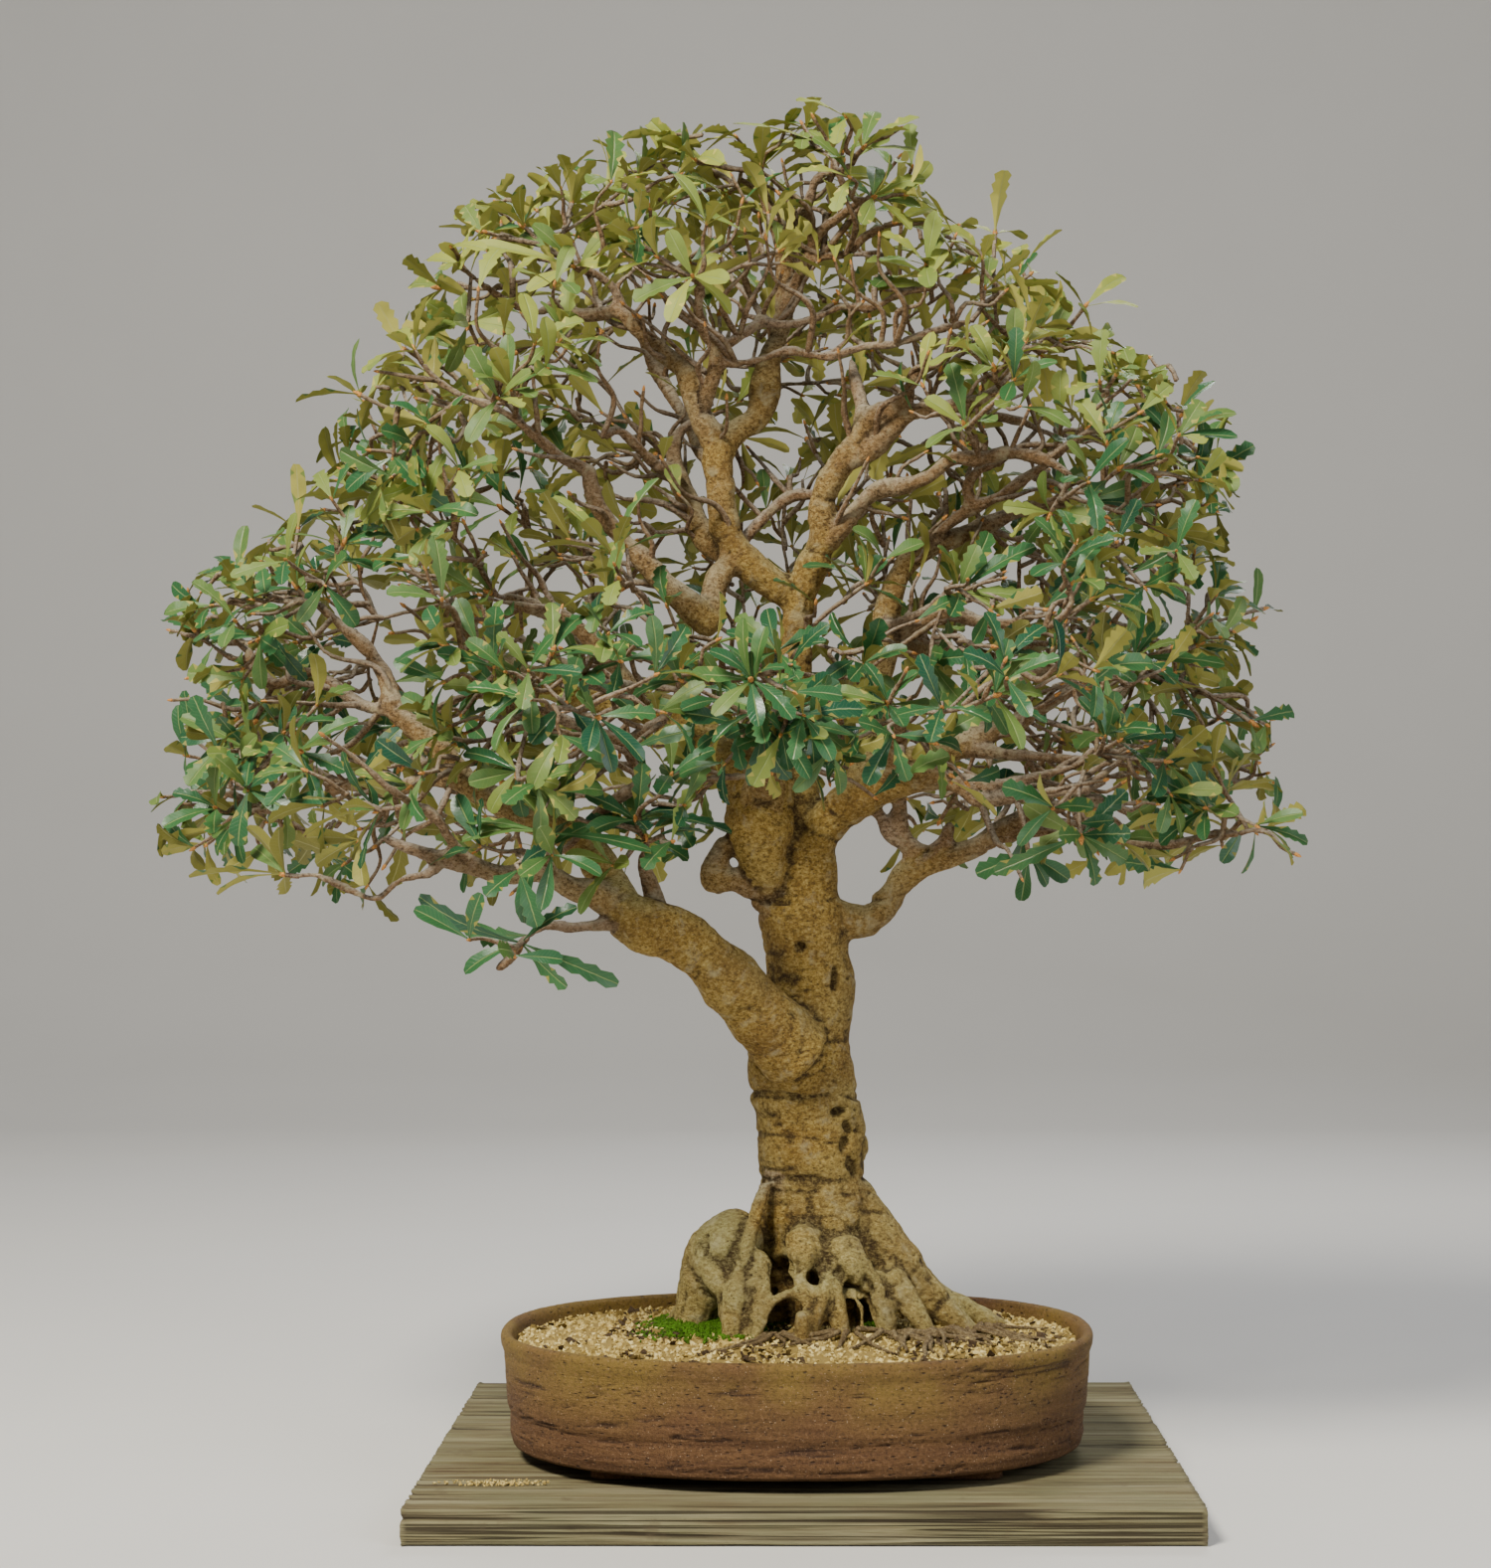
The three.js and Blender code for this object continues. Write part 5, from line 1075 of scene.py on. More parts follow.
def leaf_material(name, colours, vein, roughness, specular):
    """A blade with a pale midrib and side veins, in one of three colours by its tone"""
    n = Nodes(name)
    tone = n.value("tone")
    across = n.math("ABSOLUTE", n.value("across"))
    mottle = n.noise(160, 3)
    share = n.plus(n.times(tone, 0.85), n.times(mottle, 0.15))
    slanted = n.plus(n.times(n.value("along"), 13.0), n.times(across, -1.6))
    side_vein = n.ramp(n.math("PINGPONG", slanted, 0.5), 0.06, 0.0, 0, 0.3)
    colour = n.layered(
        colours[0],
        (n.ramp(share, 0.1, 0.5), colours[1]),
        (n.ramp(share, 0.5, 0.95), colours[2]),
        (side_vein, vein),
        (n.ramp(across, 0.09, 0.03, 0, 0.8), vein),
        (n.ramp(across, 0.94, 1.0, 0, 0.4), vein),
    )
    height = n.plus(n.times(side_vein, -0.6), n.ramp(across, 0.0, 0.14))
    normal = n.bump(height, 0.5, 0.0006, n.bump(mottle, 0.25, 0.0008))
    material = n.finish(colour, n.ramp(tone, 0.2, 0.9, *roughness), normal, specular)
    veil = n.add("ShaderNodeBsdfTranslucent", {"Color": n.mix(0.5, colour, (0.35, 0.5, 0.06))})
    shaders = {0: 0.24, 1: n.surface.outputs["BSDF"], 2: veil.outputs["BSDF"]}
    n.feed(n.output.inputs["Surface"], n.add("ShaderNodeMixShader", shaders).outputs["Shader"])
    return material


def bud_material():
    """Rusty felt"""
    n = Nodes("bud")
    fuzz = n.noise(900, 3)
    colour = n.mix(n.ramp(fuzz, 0.35, 0.65), (0.34, 0.12, 0.03), (0.62, 0.33, 0.1))
    return n.finish(colour, 0.9, n.bump(fuzz, 0.6, 0.0006), 0.2)


def pot_material():
    """Dry brown clay with torn level lines darkened by painted shade, pale specks and an olive bloom at the
    top
    """
    n = Nodes("stoneware")
    bands = n.noise((9, 9, 120), 5, 0.7, 0.5)
    fine = n.noise(420, 5, 0.8)
    pits = n.ramp(n.cells((120, 120, 300)), 0.2, 0.08)
    bloom = n.times(n.ramp(n.noise(11, 3), 0.36, 0.6), n.value("rim"))
    specks = n.times(n.ramp(n.cells(330), 0.17, 0.08), n.ramp(n.noise(90, 3), 0.42, 0.56))
    colour = n.layered(
        (0.105, 0.047, 0.02),
        (n.ramp(bands, 0.34, 0.66), (0.2, 0.1, 0.038)),
        (n.times(bloom, 0.85), (0.26, 0.17, 0.032)),
        (n.ramp(fine, 0.48, 0.34, 0, 0.75), (0.04, 0.018, 0.01)),
        # Painted shade in the torn lines
        (n.ramp(n.value("relief"), 0.7, 0.1, 0, 0.75), (0.035, 0.015, 0.009)),
        (n.times(pits, 0.8), (0.03, 0.013, 0.008)),
        (n.times(specks, 0.75), (0.52, 0.38, 0.25)),
        (n.ramp(fine, 0.54, 0.68, 0, 0.7), (0.33, 0.19, 0.1)),
    )
    height = n.plus(n.plus(fine, n.times(bands, 0.9)), n.times(pits, -1.0))
    return n.finish(colour, n.ramp(fine, 0.3, 0.7, 0.62, 0.9), n.bump(height, 1.0, 0.0026), 0.35)


def grit_material():
    """Grains from brown to pale yellow by their tone, and nearly black flakes"""
    n = Nodes("grit")
    tone = n.value("tone")
    fine = n.noise(900, 4, 0.7)
    colour = n.layered(
        (0.22, 0.15, 0.04),
        (n.ramp(tone, 0.1, 0.6), (0.54, 0.4, 0.125)),
        (n.ramp(tone, 0.6, 1.0), (0.82, 0.68, 0.3)),
        (n.ramp(tone, 0.08, 0.05), (0.05, 0.03, 0.016)),
        (n.ramp(fine, 0.5, 0.3, 0, 0.5), (0.2, 0.14, 0.06)),
    )
    return n.finish(colour, 0.92, n.bump(fine, 0.6, 0.0008), 0.25)


def moss_material():
    """Green from dark to bright by the tuft's tone"""
    n = Nodes("moss")
    fine = n.noise(1100, 3)
    colour = n.layered(
        (0.016, 0.05, 0.003),
        (n.value("tone"), (0.085, 0.22, 0.01)),
        (n.ramp(fine, 0.45, 0.7, 0, 0.5), (0.16, 0.25, 0.03)),
    )
    return n.finish(colour, 0.95, n.bump(fine, 0.7, 0.0008), 0.15)


def board_material():
    """Weathered grey-green timber with grain along the board and cracks darkened by painted shade, with
    more dark lines in front
    """
    n = Nodes("timber")
    grain = n.noise((7, 260, 260), 6, 0.75, 0.25)
    wave = n.math("SUBTRACT", n.noise((2.2, 30, 310), 2, 0.5, 0.25), 0.5)
    lines = n.times(n.ramp(n.math("ABSOLUTE", wave), 0.07, 0.02), n.value("front"))
    colour = n.layered(
        (0.075, 0.045, 0.024),
        (n.ramp(grain, 0.36, 0.62), (0.225, 0.2, 0.1)),
        (n.ramp(n.noise((3, 60, 60), 4), 0.46, 0.66, 0, 0.6), (0.34, 0.315, 0.19)),
        (n.ramp(n.noise(14, 3), 0.42, 0.68, 0, 0.5), (0.17, 0.17, 0.09)),
        # Painted shade in the cracks and fine grooves
        (n.ramp(n.value("relief"), 0.6, 0.1, 0, 0.8), (0.035, 0.024, 0.014)),
        (n.times(lines, 0.88), (0.028, 0.02, 0.011)),
        (n.ramp(n.noise(36, 4, 0.6), 0.62, 0.72, 0, 0.5), (0.1, 0.075, 0.045)),
    )
    height = n.plus(grain, n.times(lines, -1.2))
    return n.finish(colour, 0.88, n.bump(height, 0.8, 0.0014), 0.25)


def mesh_material():
    """Black plastic"""
    n = Nodes("mesh_plastic")
    fine = n.noise(700, 3)
    colour = n.mix(fine, (0.012, 0.013, 0.013), (0.03, 0.032, 0.032))
    return n.finish(colour, 0.55, n.bump(fine, 0.3, 0.0004), 0.4)


def floor_material():
    """Matt pale grey"""
    n = Nodes("floor")
    return n.finish(n.mix(n.noise(3, 3), (0.66, 0.65, 0.63), (0.7, 0.69, 0.67)), 0.8, None, 0.2)


BARK = bark_material()
UPPER = leaf_material(
    "leaf_upper",
    ((0.008, 0.075, 0.045), (0.038, 0.15, 0.042), (0.34, 0.38, 0.06)),
    (0.34, 0.42, 0.15),
    (0.27, 0.6),
    0.55,
)
UNDER = leaf_material(
    "leaf_under",
    ((0.2, 0.19, 0.045), (0.36, 0.33, 0.07), (0.55, 0.51, 0.12)),
    (0.5, 0.48, 0.2),
    (0.55, 0.65),
    0.35,
)
BUD = bud_material()


# The wood of the trunk, roots and limbs under one skin


def trunk_shape():
    """The trunk as a closed stack of ovals, with its middle line and radii"""
    rows = np.array(TRUNK_SECTIONS, float)
    heights = np.arange(rows[0, 0], rows[-1, 0], TRUNK_STEP)
    across, half_width, half_depth, depth = read_off(heights, rows[:, 0], rows[:, 1:]).T
    middles = from_front(np.stack([across, heights, depth], axis=1))
    turns = even_turns(TRUNK_SIDES)
    rings = np.repeat(middles[:, None], TRUNK_SIDES, axis=1)
    rings[..., 0] += np.cos(turns) * (half_width * spread_at(depth))[:, None]
    rings[..., 1] += np.sin(turns) * half_depth[:, None]
    shape = closed_stack(rings, middles[0] - (0, 0, 3), middles[-1] + (0, 0, 6))
    return shape, middles, (half_width + half_depth) / 2


class Spine:
    """Middle lines of the wood, with the way each one runs, to lay bark round it"""

    def __init__(self):
        self.rows = []
        self.near = []

    def add(self, line, radii):
        """Takes in a middle line with its radii, and points round it that stand for it"""
        headings, first, second = frames_along(line)
        run = run_along(line) + RUN_APART * len(self.near)
        start = sum(len(rows) for rows in self.rows)
        columns = [line, first, second, headings, run[:, None], radii[:, None]]
        self.rows.append(np.concatenate(columns, axis=1))
        turns = even_turns(14 if radii.max() > 24 else 6)
        for index in range(0, len(line), 2):
            ring = first[index] * np.cos(turns)[:, None] + second[index] * np.sin(turns)[:, None]
            for way in ring:
                self.near.append((line[index] + way * radii[index] * 0.75, start + index))

    def close(self):
        """Makes the points ready for the search"""
        self.rows = np.concatenate(self.rows)
        self.tree = KDTree(len(self.near))
        for number, (place, _) in enumerate(self.near):
            self.tree.insert(place, number)
        self.tree.balance()

    def straighten(self, points):
        """Where points lie across and along the nearest limb, and its radius"""
        found = [self.near[self.tree.find(point)[1]][1] for point in points]
        middle, first, second, heading = self.rows[found, :12].reshape(-1, 4, 3).transpose(1, 0, 2)
        run, radius = self.rows[found, 12:].T
        away = points - middle
        across, other, ahead = (np.sum(away * way, axis=1) for way in (first, second, heading))
        return np.stack([across, other, run + ahead], axis=1), radius


def bark_relief_and_shade(straight, radius, low):
    """How far the bark stands out from the limb, in mm, and a painted shade from 0 to 1, dark in its folds,
    wrinkles and grooves
    """
    coarse = np.minimum(1.0, radius / 22)
    lumps = knobs(straight, (30, 30, 24), 3) - 0.45
    swelling = noise(straight, (52, 52, 22), 5)
    folds = (1 - ridges(straight, (44, 44, 19), 7)) ** 9 * smoothstep(-0.1, 0.5, noise(straight, 40, 8))
    wrinkles = (1 - ridges(straight, (17, 17, 5), 11)) ** 5
    beads = knobs(straight, (9, 9, 7), 13)
    grooves = (1 - ridges(straight, (8, 8, 42), 15)) ** 4 * low
    knuckles = noise(straight, (70, 70, 12), 9) + 0.7 * noise(straight, (9, 9, 10), 10)
    depth = (
        lumps * 2.1 * coarse
        + swelling * 2.1 * coarse ** 0.6
        - folds * 2.3 * coarse ** 0.7
        - wrinkles * 0.75 * coarse ** 0.5
        + beads * 0.8 * coarse ** 0.4
        - grooves * 1.2
        + knuckles * (1 - coarse) * radius * 0.17
    )
    # Painted shade: lighter on the lumps and beads, darker in the folds, wrinkles and grooves
    shade = 0.6 + 0.2 * lumps * coarse + 0.16 * (beads - 0.4)
    shade = shade - 0.5 * folds - 0.28 * wrinkles - 0.3 * grooves
    return depth, np.clip(shade, 0, 1)


def carve(points, normals, shade):
    """The points with the holes and creases that the front of the trunk shows sunk in, and their shade with
    painted shade in them
    """
    across, up, behind = to_front(points)
    facing = smoothstep(0.1, -0.4, normals[:, 1])
    sunk = np.zeros(len(points))
    for middle, height, half_width, half_height, deep in TRUNK_HOLES:
        away = np.hypot((across - middle) / half_width, (up - height) / half_height)
        away = away + 0.4 * noise(points, 6, int(height))
        past_roots = smoothstep(-26, -20, behind) if height < ROOTS_TOP else 1
        hole = smoothstep(1.15, 0.35, away) * facing * past_roots
        sunk += hole * deep
        # Painted shade in the hole
        shade = shade * (1 - 0.9 * hole)
    on_level = level_points(across, points[:, 1])
    for height, slope, half_height, deep in TRUNK_CREASES:
        wave = 2.4 * noise(on_level, 21, int(height))
        away = np.abs(up - height - slope * across - wave) / half_height
        broken = smoothstep(-0.75, -0.1, noise(on_level, 26, int(height) + 1))
        crease = smoothstep(1, 0.1, away) * (np.abs(across) < 60) * (up < CROWN_BASE) * broken
        sunk += crease * deep
        # Painted shade in the crease
        shade = shade * (1 - 0.35 * crease)
    return points - normals * sunk[:, None], shade


def rootlets_shape():
    """Fine roots that creep over the soil in front of the trunk"""
    shapes = []
    shares = np.linspace(0, 1, ROOTLET_POINTS)
    for index in range(ROOTLETS):
        start = np.array(ROOTLET_STARTS[index % len(ROOTLET_STARTS)])
        turn = -2.7 + 2.9 * draw(index, 401)
        step = (22 + 46 * draw(index, 402)) / (ROOTLET_POINTS - 1)
        spots = []
        for share in shares:
            turn += (draw(index, 410 + int(share * 5)) - 0.5) * 0.8
            start = start + np.array([math.cos(turn), math.sin(turn)]) * step
            spots.append(start)
        x, y = np.array(spots).T
        rows = np.stack([x, y, soil_height(x, y) + 1.8 + 3.4 * (1 - shares) ** 2], axis=1)
        radii = np.linspace(1.9, 0.8, ROOTLET_POINTS) * (0.7 + 0.6 * draw(index, 403))
        shapes.append(tube(*curve_through(rows, radii, LIMB_STEP), 6))
    shape = join(shapes)
    shape["normals"] = point_normals(shape["points"], shape["faces"])[shape["faces"]]
    for key, value in (("relief", 0.36), ("girth", 0.5), ("bloom", 0.3)):
        shape[key] = np.full(len(shape["points"]), value)
    return shape


def build_wood():
    """Adds the wood's two pieces and returns its spine"""
    trunk, middles, radii = trunk_shape()
    spine = Spine()
    spine.add(middles, radii)
    shapes = [trunk]
    for _, *rows in LIMBS + ROOTS:
        rows = np.array(rows, float)
        radii = rows[:, 3] * spread_at(rows[:, 2])
        line, radii = curve_through(from_front(rows[:, :3]), radii, LIMB_STEP)
        shapes.append(tube(line, radii, LIMB_SIDES))
        spine.add(line, radii)
    spine.close()
    points, faces, edges = skin_over(join(shapes))
    points = smoothed(points, edges, 3, 0.5)
    normals = point_normals(points, faces)
    straight, radius = spine.straighten(points)
    depth, shade = bark_relief_and_shade(straight, radius, smoothstep(205, 165, points[:, 2]))
    points, shade = carve(points + normals * depth[:, None], normals, shade)
    points = smoothed(points, edges, 1, 0.25)
    normals = point_normals(points, faces)
    # Painted shade in the wood's concavities and painted light on its ridges
    hollow = np.sum((smoothed(points, edges, 16, 0.6) - points) * normals, axis=1)
    shade = np.clip(shade - np.clip(hollow * 0.45, -0.25, 0.6), 0, 1)
    girth = np.maximum(smoothstep(3.5, 14, radius), smoothstep(230, 190, points[:, 2]))
    # Painted light: paler on the upper sides of thin limbs; the root and burl bloom below is the wood's own
    # colour
    bloom = smoothstep(0.0, 0.8, normals[:, 2]) * smoothstep(24, 7, radius) * 0.8
    bloom = np.maximum(bloom, 0.4 * smoothstep(195, 150, points[:, 2]) * smoothstep(26, 17, radius))
    across, up, _ = to_front(points)
    burl = smoothstep(1.3, 0.7, np.hypot((across - BURL[0]) / BURL[2], (up - BURL[1]) / BURL[3]))
    bloom = np.clip(np.maximum(bloom, burl) + 0.3 * noise(points, 30, 19), 0, 1)
    low = points[faces][:, :, 2].mean(axis=1) < CROWN_BASE
    for name, chosen, more in (("trunk_and_roots", low, [rootlets_shape()]), ("limbs", ~low, [])):
        used, renumbered = np.unique(faces[chosen], return_inverse=True)
        part = {
            "points": points[used],
            "faces": renumbered.reshape(-1, 3),
            "relief": shade[used],
            "girth": girth[used],
            "bloom": bloom[used],
            "normals": normals[faces[chosen]],
        }
        add_piece(name, join([part] + more), [BARK], ["tree_wood"])
    return spine


# Twigs, leaves and buds


def leaves_shape(leaves):
    """Every leaf as a closed blade with a midrib: two edges and a middle above and below"""
    base, tip, face, width, curl, fold, tone, phase = (
        np.array([leaf[key] for leaf in leaves], float)
        for key in ("base", "tip", "face", "width", "curl", "fold", "tone", "phase")
    )
    profile = np.array([TOOTHED_EDGE if leaf["toothed"] else PLAIN_EDGE for leaf in leaves])
    count, stations = profile.shape
    share = np.array(EDGE_STATIONS)
    way = tip - base
    length = np.linalg.norm(way, axis=1)
    heading = unit(way)
    face = unit(face - heading * np.sum(face * heading, axis=1, keepdims=True))
    side = np.cross(heading, face)
    arch = (length * curl)[:, None] * 4 * share * (1 - share)
    middle = base[:, None] + way[:, None] * share[:, None] + face[:, None] * arch[..., None]
    reach = width[:, None] / 2 * profile
    lift = reach * fold[:, None]
    ripple = np.sin(share * 15 + phase[:, None]) * reach * 0.09
    rings = np.stack([middle] * 4, axis=2)
    rings[:, :, 0] += face[:, None] * (lift + ripple)[..., None] - side[:, None] * reach[..., None]
    rings[:, :, 2] += face[:, None] * (lift - ripple)[..., None] + side[:, None] * reach[..., None]
    rings[:, :, 1] += face[:, None] * BLADE_THICKNESS / 2
    rings[:, :, 3] -= face[:, None] * BLADE_THICKNESS / 2
    across = np.roll(rings, -1, axis=2) - rings
    ahead = np.diff(rings + np.roll(rings, -1, axis=2), axis=1)
    flat = np.cross(across[:, 1:] + across[:, :-1], ahead)
    padded = np.concatenate([flat[:, :1], flat, flat[:, -1:]], axis=1)
    strip = unit(padded[:, 1:] + padded[:, :-1])
    quads = ring_faces(stations, 4)
    row, column = quads[:, 0] // 4, quads[:, 0] % 4
    corner_rows = np.stack([row, row, row + 1, row + 1], axis=1)
    starts = np.arange(count)[:, None] * stations * 4
    last = stations * 4 - 4
    caps = [starts + (3, 2, 1, 0), starts + (last, last + 1, last + 2, last + 3)]
    normals = [
        strip[:, corner_rows, column[:, None]].reshape(-1, 4, 3),
        np.repeat(np.concatenate([-heading, heading])[:, None], 4, axis=1),
    ]
    normals = np.concatenate(normals)
    material = np.concatenate([np.tile(np.where(column < 2, 0, 1), count), np.zeros(2 * count, int)])
    ones = np.ones((count, stations, 4))
    return {
        "points": rings.reshape(-1, 3),
        "faces": split_faces(np.concatenate([(quads + starts[:, None]).reshape(-1, 4), *caps])),
        "normals": split_faces(normals),
        "material": np.concatenate([material, material]),
        "across": (ones * (-1, 0, 1, 0)).ravel(),
        "along": (ones * share[:, None]).ravel(),
        "tone": (ones * tone[:, None, None]).ravel(),
        "relief": ones.ravel(),
        "girth": ones.ravel(),
        "bloom": ones.ravel(),
    }


def with_values(shape, material, relief):
    """A twig or bud with the values that its zone's leaves and twigs share"""
    count = len(shape["points"])
    normals = point_normals(shape["points"], shape["faces"])
    return {
        **shape,
        **{key: np.full(count, 0.5) for key in ("across", "along", "tone")},
        "normals": normals[shape["faces"]],
        "material": np.full(len(shape["faces"]), material),
        "relief": np.zeros(count) + relief,
        "girth": np.zeros(count),
        # Painted light: paler on the twig's upper side
        "bloom": smoothstep(-0.1, 0.8, normals[:, 2]) * 0.9,
    }


def twig_shape(line, radii, seed):
    """A twig with a swollen joint now and then and wrinkled bark"""
    line, radii = curve_through(line, radii, TWIG_STEP)
    run = np.arange(len(line)) * TWIG_STEP
    beat = 11 + 6 * draw(seed, 5)
    joints = 1 + 0.26 * np.maximum(0, np.cos(run / beat * 2 * math.pi + draw(seed, 6) * 6)) ** 5
    wobble = noise(level_points(run, run * 0 + seed), 9, 4)[:, None]
    wander = frames_along(line)[1] * wobble * radii[:, None] * 0.35
    wander[[0, -1]] = 0
    shape = tube(line + wander, radii * joints, TWIG_SIDES)
    straight = np.repeat(run, TWIG_SIDES)
    spots = noise(level_points(straight, np.arange(len(straight)) * 0.9), (2.6, 2, 1), seed)
    # Seeded dark spots on the twig go in through its painted-shade value
    return with_values(shape, TWIG_SLOT, np.concatenate([0.62 + 0.3 * spots, [0.5, 0.5]]))


def bud_shape(place, heading, size):
    """A pointed bud at a twig's end"""
    line = place + np.outer((-1.0, 1.6, 4.4, 6.2), heading) * size
    return with_values(tube(line, np.array((1.2, 1.9, 1.3, 0.4)) * size, TWIG_SIDES), BUD_SLOT, 0.7)


def bearing_places():
    """Places that a twig can grow from, along each limb: point, radius and whether on a limb"""
    places = []
    for _, *rows in LIMBS:
        rows = np.array(rows, float)
        line = from_front(rows[:, :3])
        for index in range(len(line) - 1):
            steps = max(1, round(np.linalg.norm(line[index + 1] - line[index]) / BEARING_STEP))
            for step in range(steps + 1):
                share = step / steps
                at = line[index] * (1 - share) + line[index + 1] * share
                places.append((at, rows[index, 3] * (1 - share) + rows[index + 1, 3] * share, True))
    return places


def grow_cost(places, target):
    """How far a twig has to grow from each place, where growing inwards or from a limb costs extra"""
    way = target - np.array([place[0] for place in places])
    on_limb = np.array([place[2] for place in places])
    outward = unit(target - CROWN_HEART)
    length = np.linalg.norm(way, axis=1)
    inward = 1 - way @ outward / np.maximum(length, 1e-6)
    return length * (1 + INWARD_COST * inward) * np.where(on_limb, LIMB_COST, 1.0)


def twig_line(start, target, seed, attempt):
    """A kinked line, which sways more at each attempt"""
    way = target - start
    length = np.linalg.norm(way)
    across = sideways(way / length, (0.2, 0.1, 1))
    kinks = min(3, max(1, int(length / KINK_STEP + 0.5)))
    sway = length * (TWIG_SWAY + 0.1 * attempt)
    line = [start]
    for kink in range(1, kinks + 1):
        point = start + way * kink / (kinks + 1)
        for direction, salt in zip(across, (0, 40)):
            point = point + direction * (draw(seed, kink + salt + attempt * 7) - 0.5) * sway
        line.append(point)
    line.append(target)
    return np.array(line)


def twig_radii(line, bearer_radius):
    """Radii from what bears the twig to its tip, thicker where it is long"""
    thick = min(bearer_radius * 0.8, TWIG_TIP_RADIUS + run_along(line)[-1] * 0.014)
    share = np.linspace(0, 1, len(line))
    return thick * (1 - share) + TWIG_TIP_RADIUS * share


def clear_of_limbs(line, bearer, spine):
    """Whether a twig keeps out of every limb once it has left the one that bears it"""
    samples = read_off(np.linspace(0, 1, 12)[1:], np.linspace(0, 1, len(line)), line)
    away = np.linalg.norm(samples - bearer[0], axis=1)
    for sample in samples[away > bearer[1] * 1.6 + 4]:
        distance = np.linalg.norm(spine.rows[:, :3] - sample, axis=1) - spine.rows[:, 13]
        if distance.min() < LIMB_CLEARANCE:
            return False
    return True


def find_bearer(centre, seed, places, spine):
    """The place that bears a twig and the twig's line. If none is clear, the last line tried is kept."""
    tried = np.argsort(grow_cost(places, centre), kind="stable")[:BEARERS_TRIED]
    for attempt in range(ATTEMPTS):
        for number in tried:
            line = twig_line(places[number][0], centre, seed, attempt)
            if clear_of_limbs(line, places[number], spine):
                return places[number], line
    return places[tried[0]], line


def leaf_tips(rosette, seed, heading, number):
    """Where the leaf tips of a rosette lie: those read off the front view, then seeded ones"""
    place, *seen = rosette
    centre = from_front(place)
    tips = []
    for index, (across, up) in enumerate(seen):
        shown = np.linalg.norm(from_front((across, up, place[2])) - centre)
        length = LEAF_LENGTH * (0.9 + 0.25 * draw(seed, 60 + index))
        slant = math.sqrt(max(0, length * length - shown * shown)) * 0.85
        away = slant if draw(seed, 70 + index) > 0.5 else -slant
        tips.append(from_front((across, up, place[2] + away)))
    ways = [unit(tip - centre) for tip in tips]
    for index in range(len(tips), TIPS_TRIED):
        if len(tips) >= number:
            break
        turn = index * GOLDEN_TURN + draw(seed, 80) * 6.28
        open_by = 0.75 + 0.5 * draw(seed, 90 + index)
        length = LEAF_LENGTH * (0.85 + 0.3 * draw(seed, 100 + index)) * (SMALL_LEAF if index > 2 else 1)
        way = heading * math.cos(open_by) + math.sin(open_by) * turned_side(heading, turn)
        if all(np.dot(way, taken) < CROWDED for taken in ways):
            ways.append(way)
            tips.append(centre + way * length)
    return tips


def leaf_of(base, tip, heading, seed, index, free=True):
    """A leaf on a twig with that heading. A free one is kept only within the crown's outline."""
    length = np.linalg.norm(tip - base)
    lean = np.array([draw(seed, 110 + index) - 0.5, draw(seed, 120 + index) - 0.7, 0.9])
    return {
        "base": base,
        "tip": tip,
        "face": heading + lean,
        "free": free,
        "width": (6.6 + 0.13 * min(length, LEAF_LENGTH)) * (0.9 + 0.3 * draw(seed, 210 + index)),
        "toothed": draw(seed, 130 + index) < TOOTHED_SHARE,
        "curl": 0.03 + 0.09 * draw(seed, 220 + index),
        "fold": 0.1 + 0.3 * draw(seed, 230 + index),
        # The tone rises towards the crown's top: partly the leaves' own yellower colour, partly painted
        # light there
        "tone": 0.6 * draw(seed, 240 + index) + 0.3 * draw(seed, 7) + 0.4 * smoothstep(560, 860, base[2]),
        "phase": 6.28 * draw(seed, 250 + index),
    }


def rosette_leaves(tips, centre, heading, seed, lower):
    """Leaves to the tips, and a number of lower ones on the twig"""
    leaves = [leaf_of(centre, tip, heading, seed, index, index > 2) for index, tip in enumerate(tips)]
    for index in range(lower):
        number = LOWER_SALT + index
        turn = index * GOLDEN_TURN + draw(seed, 81) * 6.28
        open_by = 1.0 + 0.6 * draw(seed, 90 + number)
        length = LEAF_LENGTH * SMALL_LEAF * (0.8 + 0.4 * draw(seed, 100 + number))
        base = centre - heading * (4 + 14 * (index + draw(seed, 140 + number)) / lower)
        way = heading * math.cos(open_by) + math.sin(open_by) * turned_side(heading, turn)
        leaves.append(leaf_of(base, base + way * length, heading, seed, number))
    return leaves


def inside_solids(point):
    """Whether a point lies well inside the box of the solids"""
    low, high = (np.array(corner) * 1000 for corner in solid_bounds)
    return (point > low + BOX_MARGIN).all() and (point < high - BOX_MARGIN).all()


def within_crown(point):
    """Whether the front view shows a point within the crown's outline"""
    across, up, _ = to_front(point)
    inside = False
    for first, second in zip(CROWN_OUTLINE, CROWN_OUTLINE[1:] + CROWN_OUTLINE[:1]):
        if (first[1] > up) != (second[1] > up):
            if across < first[0] + (up - first[1]) * (second[0] - first[0]) / (second[1] - first[1]):
                inside = not inside
    return inside


def deep_inside(point):
    """Whether a point lies in the crown's inside, where twigs are nearly bare"""
    across, up, depth = to_front(point)
    reach = np.array([across - HEART_VIEW[0], up - HEART_VIEW[1], depth]) / INSIDE_REACH
    return np.linalg.norm(reach) < 1


def zone_of(place):
    """The number of the crown zone whose middle is nearest"""
    middles = np.array([middle for _, *middle in CROWN_ZONES], float)
    return int(np.argmin(np.linalg.norm(middles - place, axis=1)))


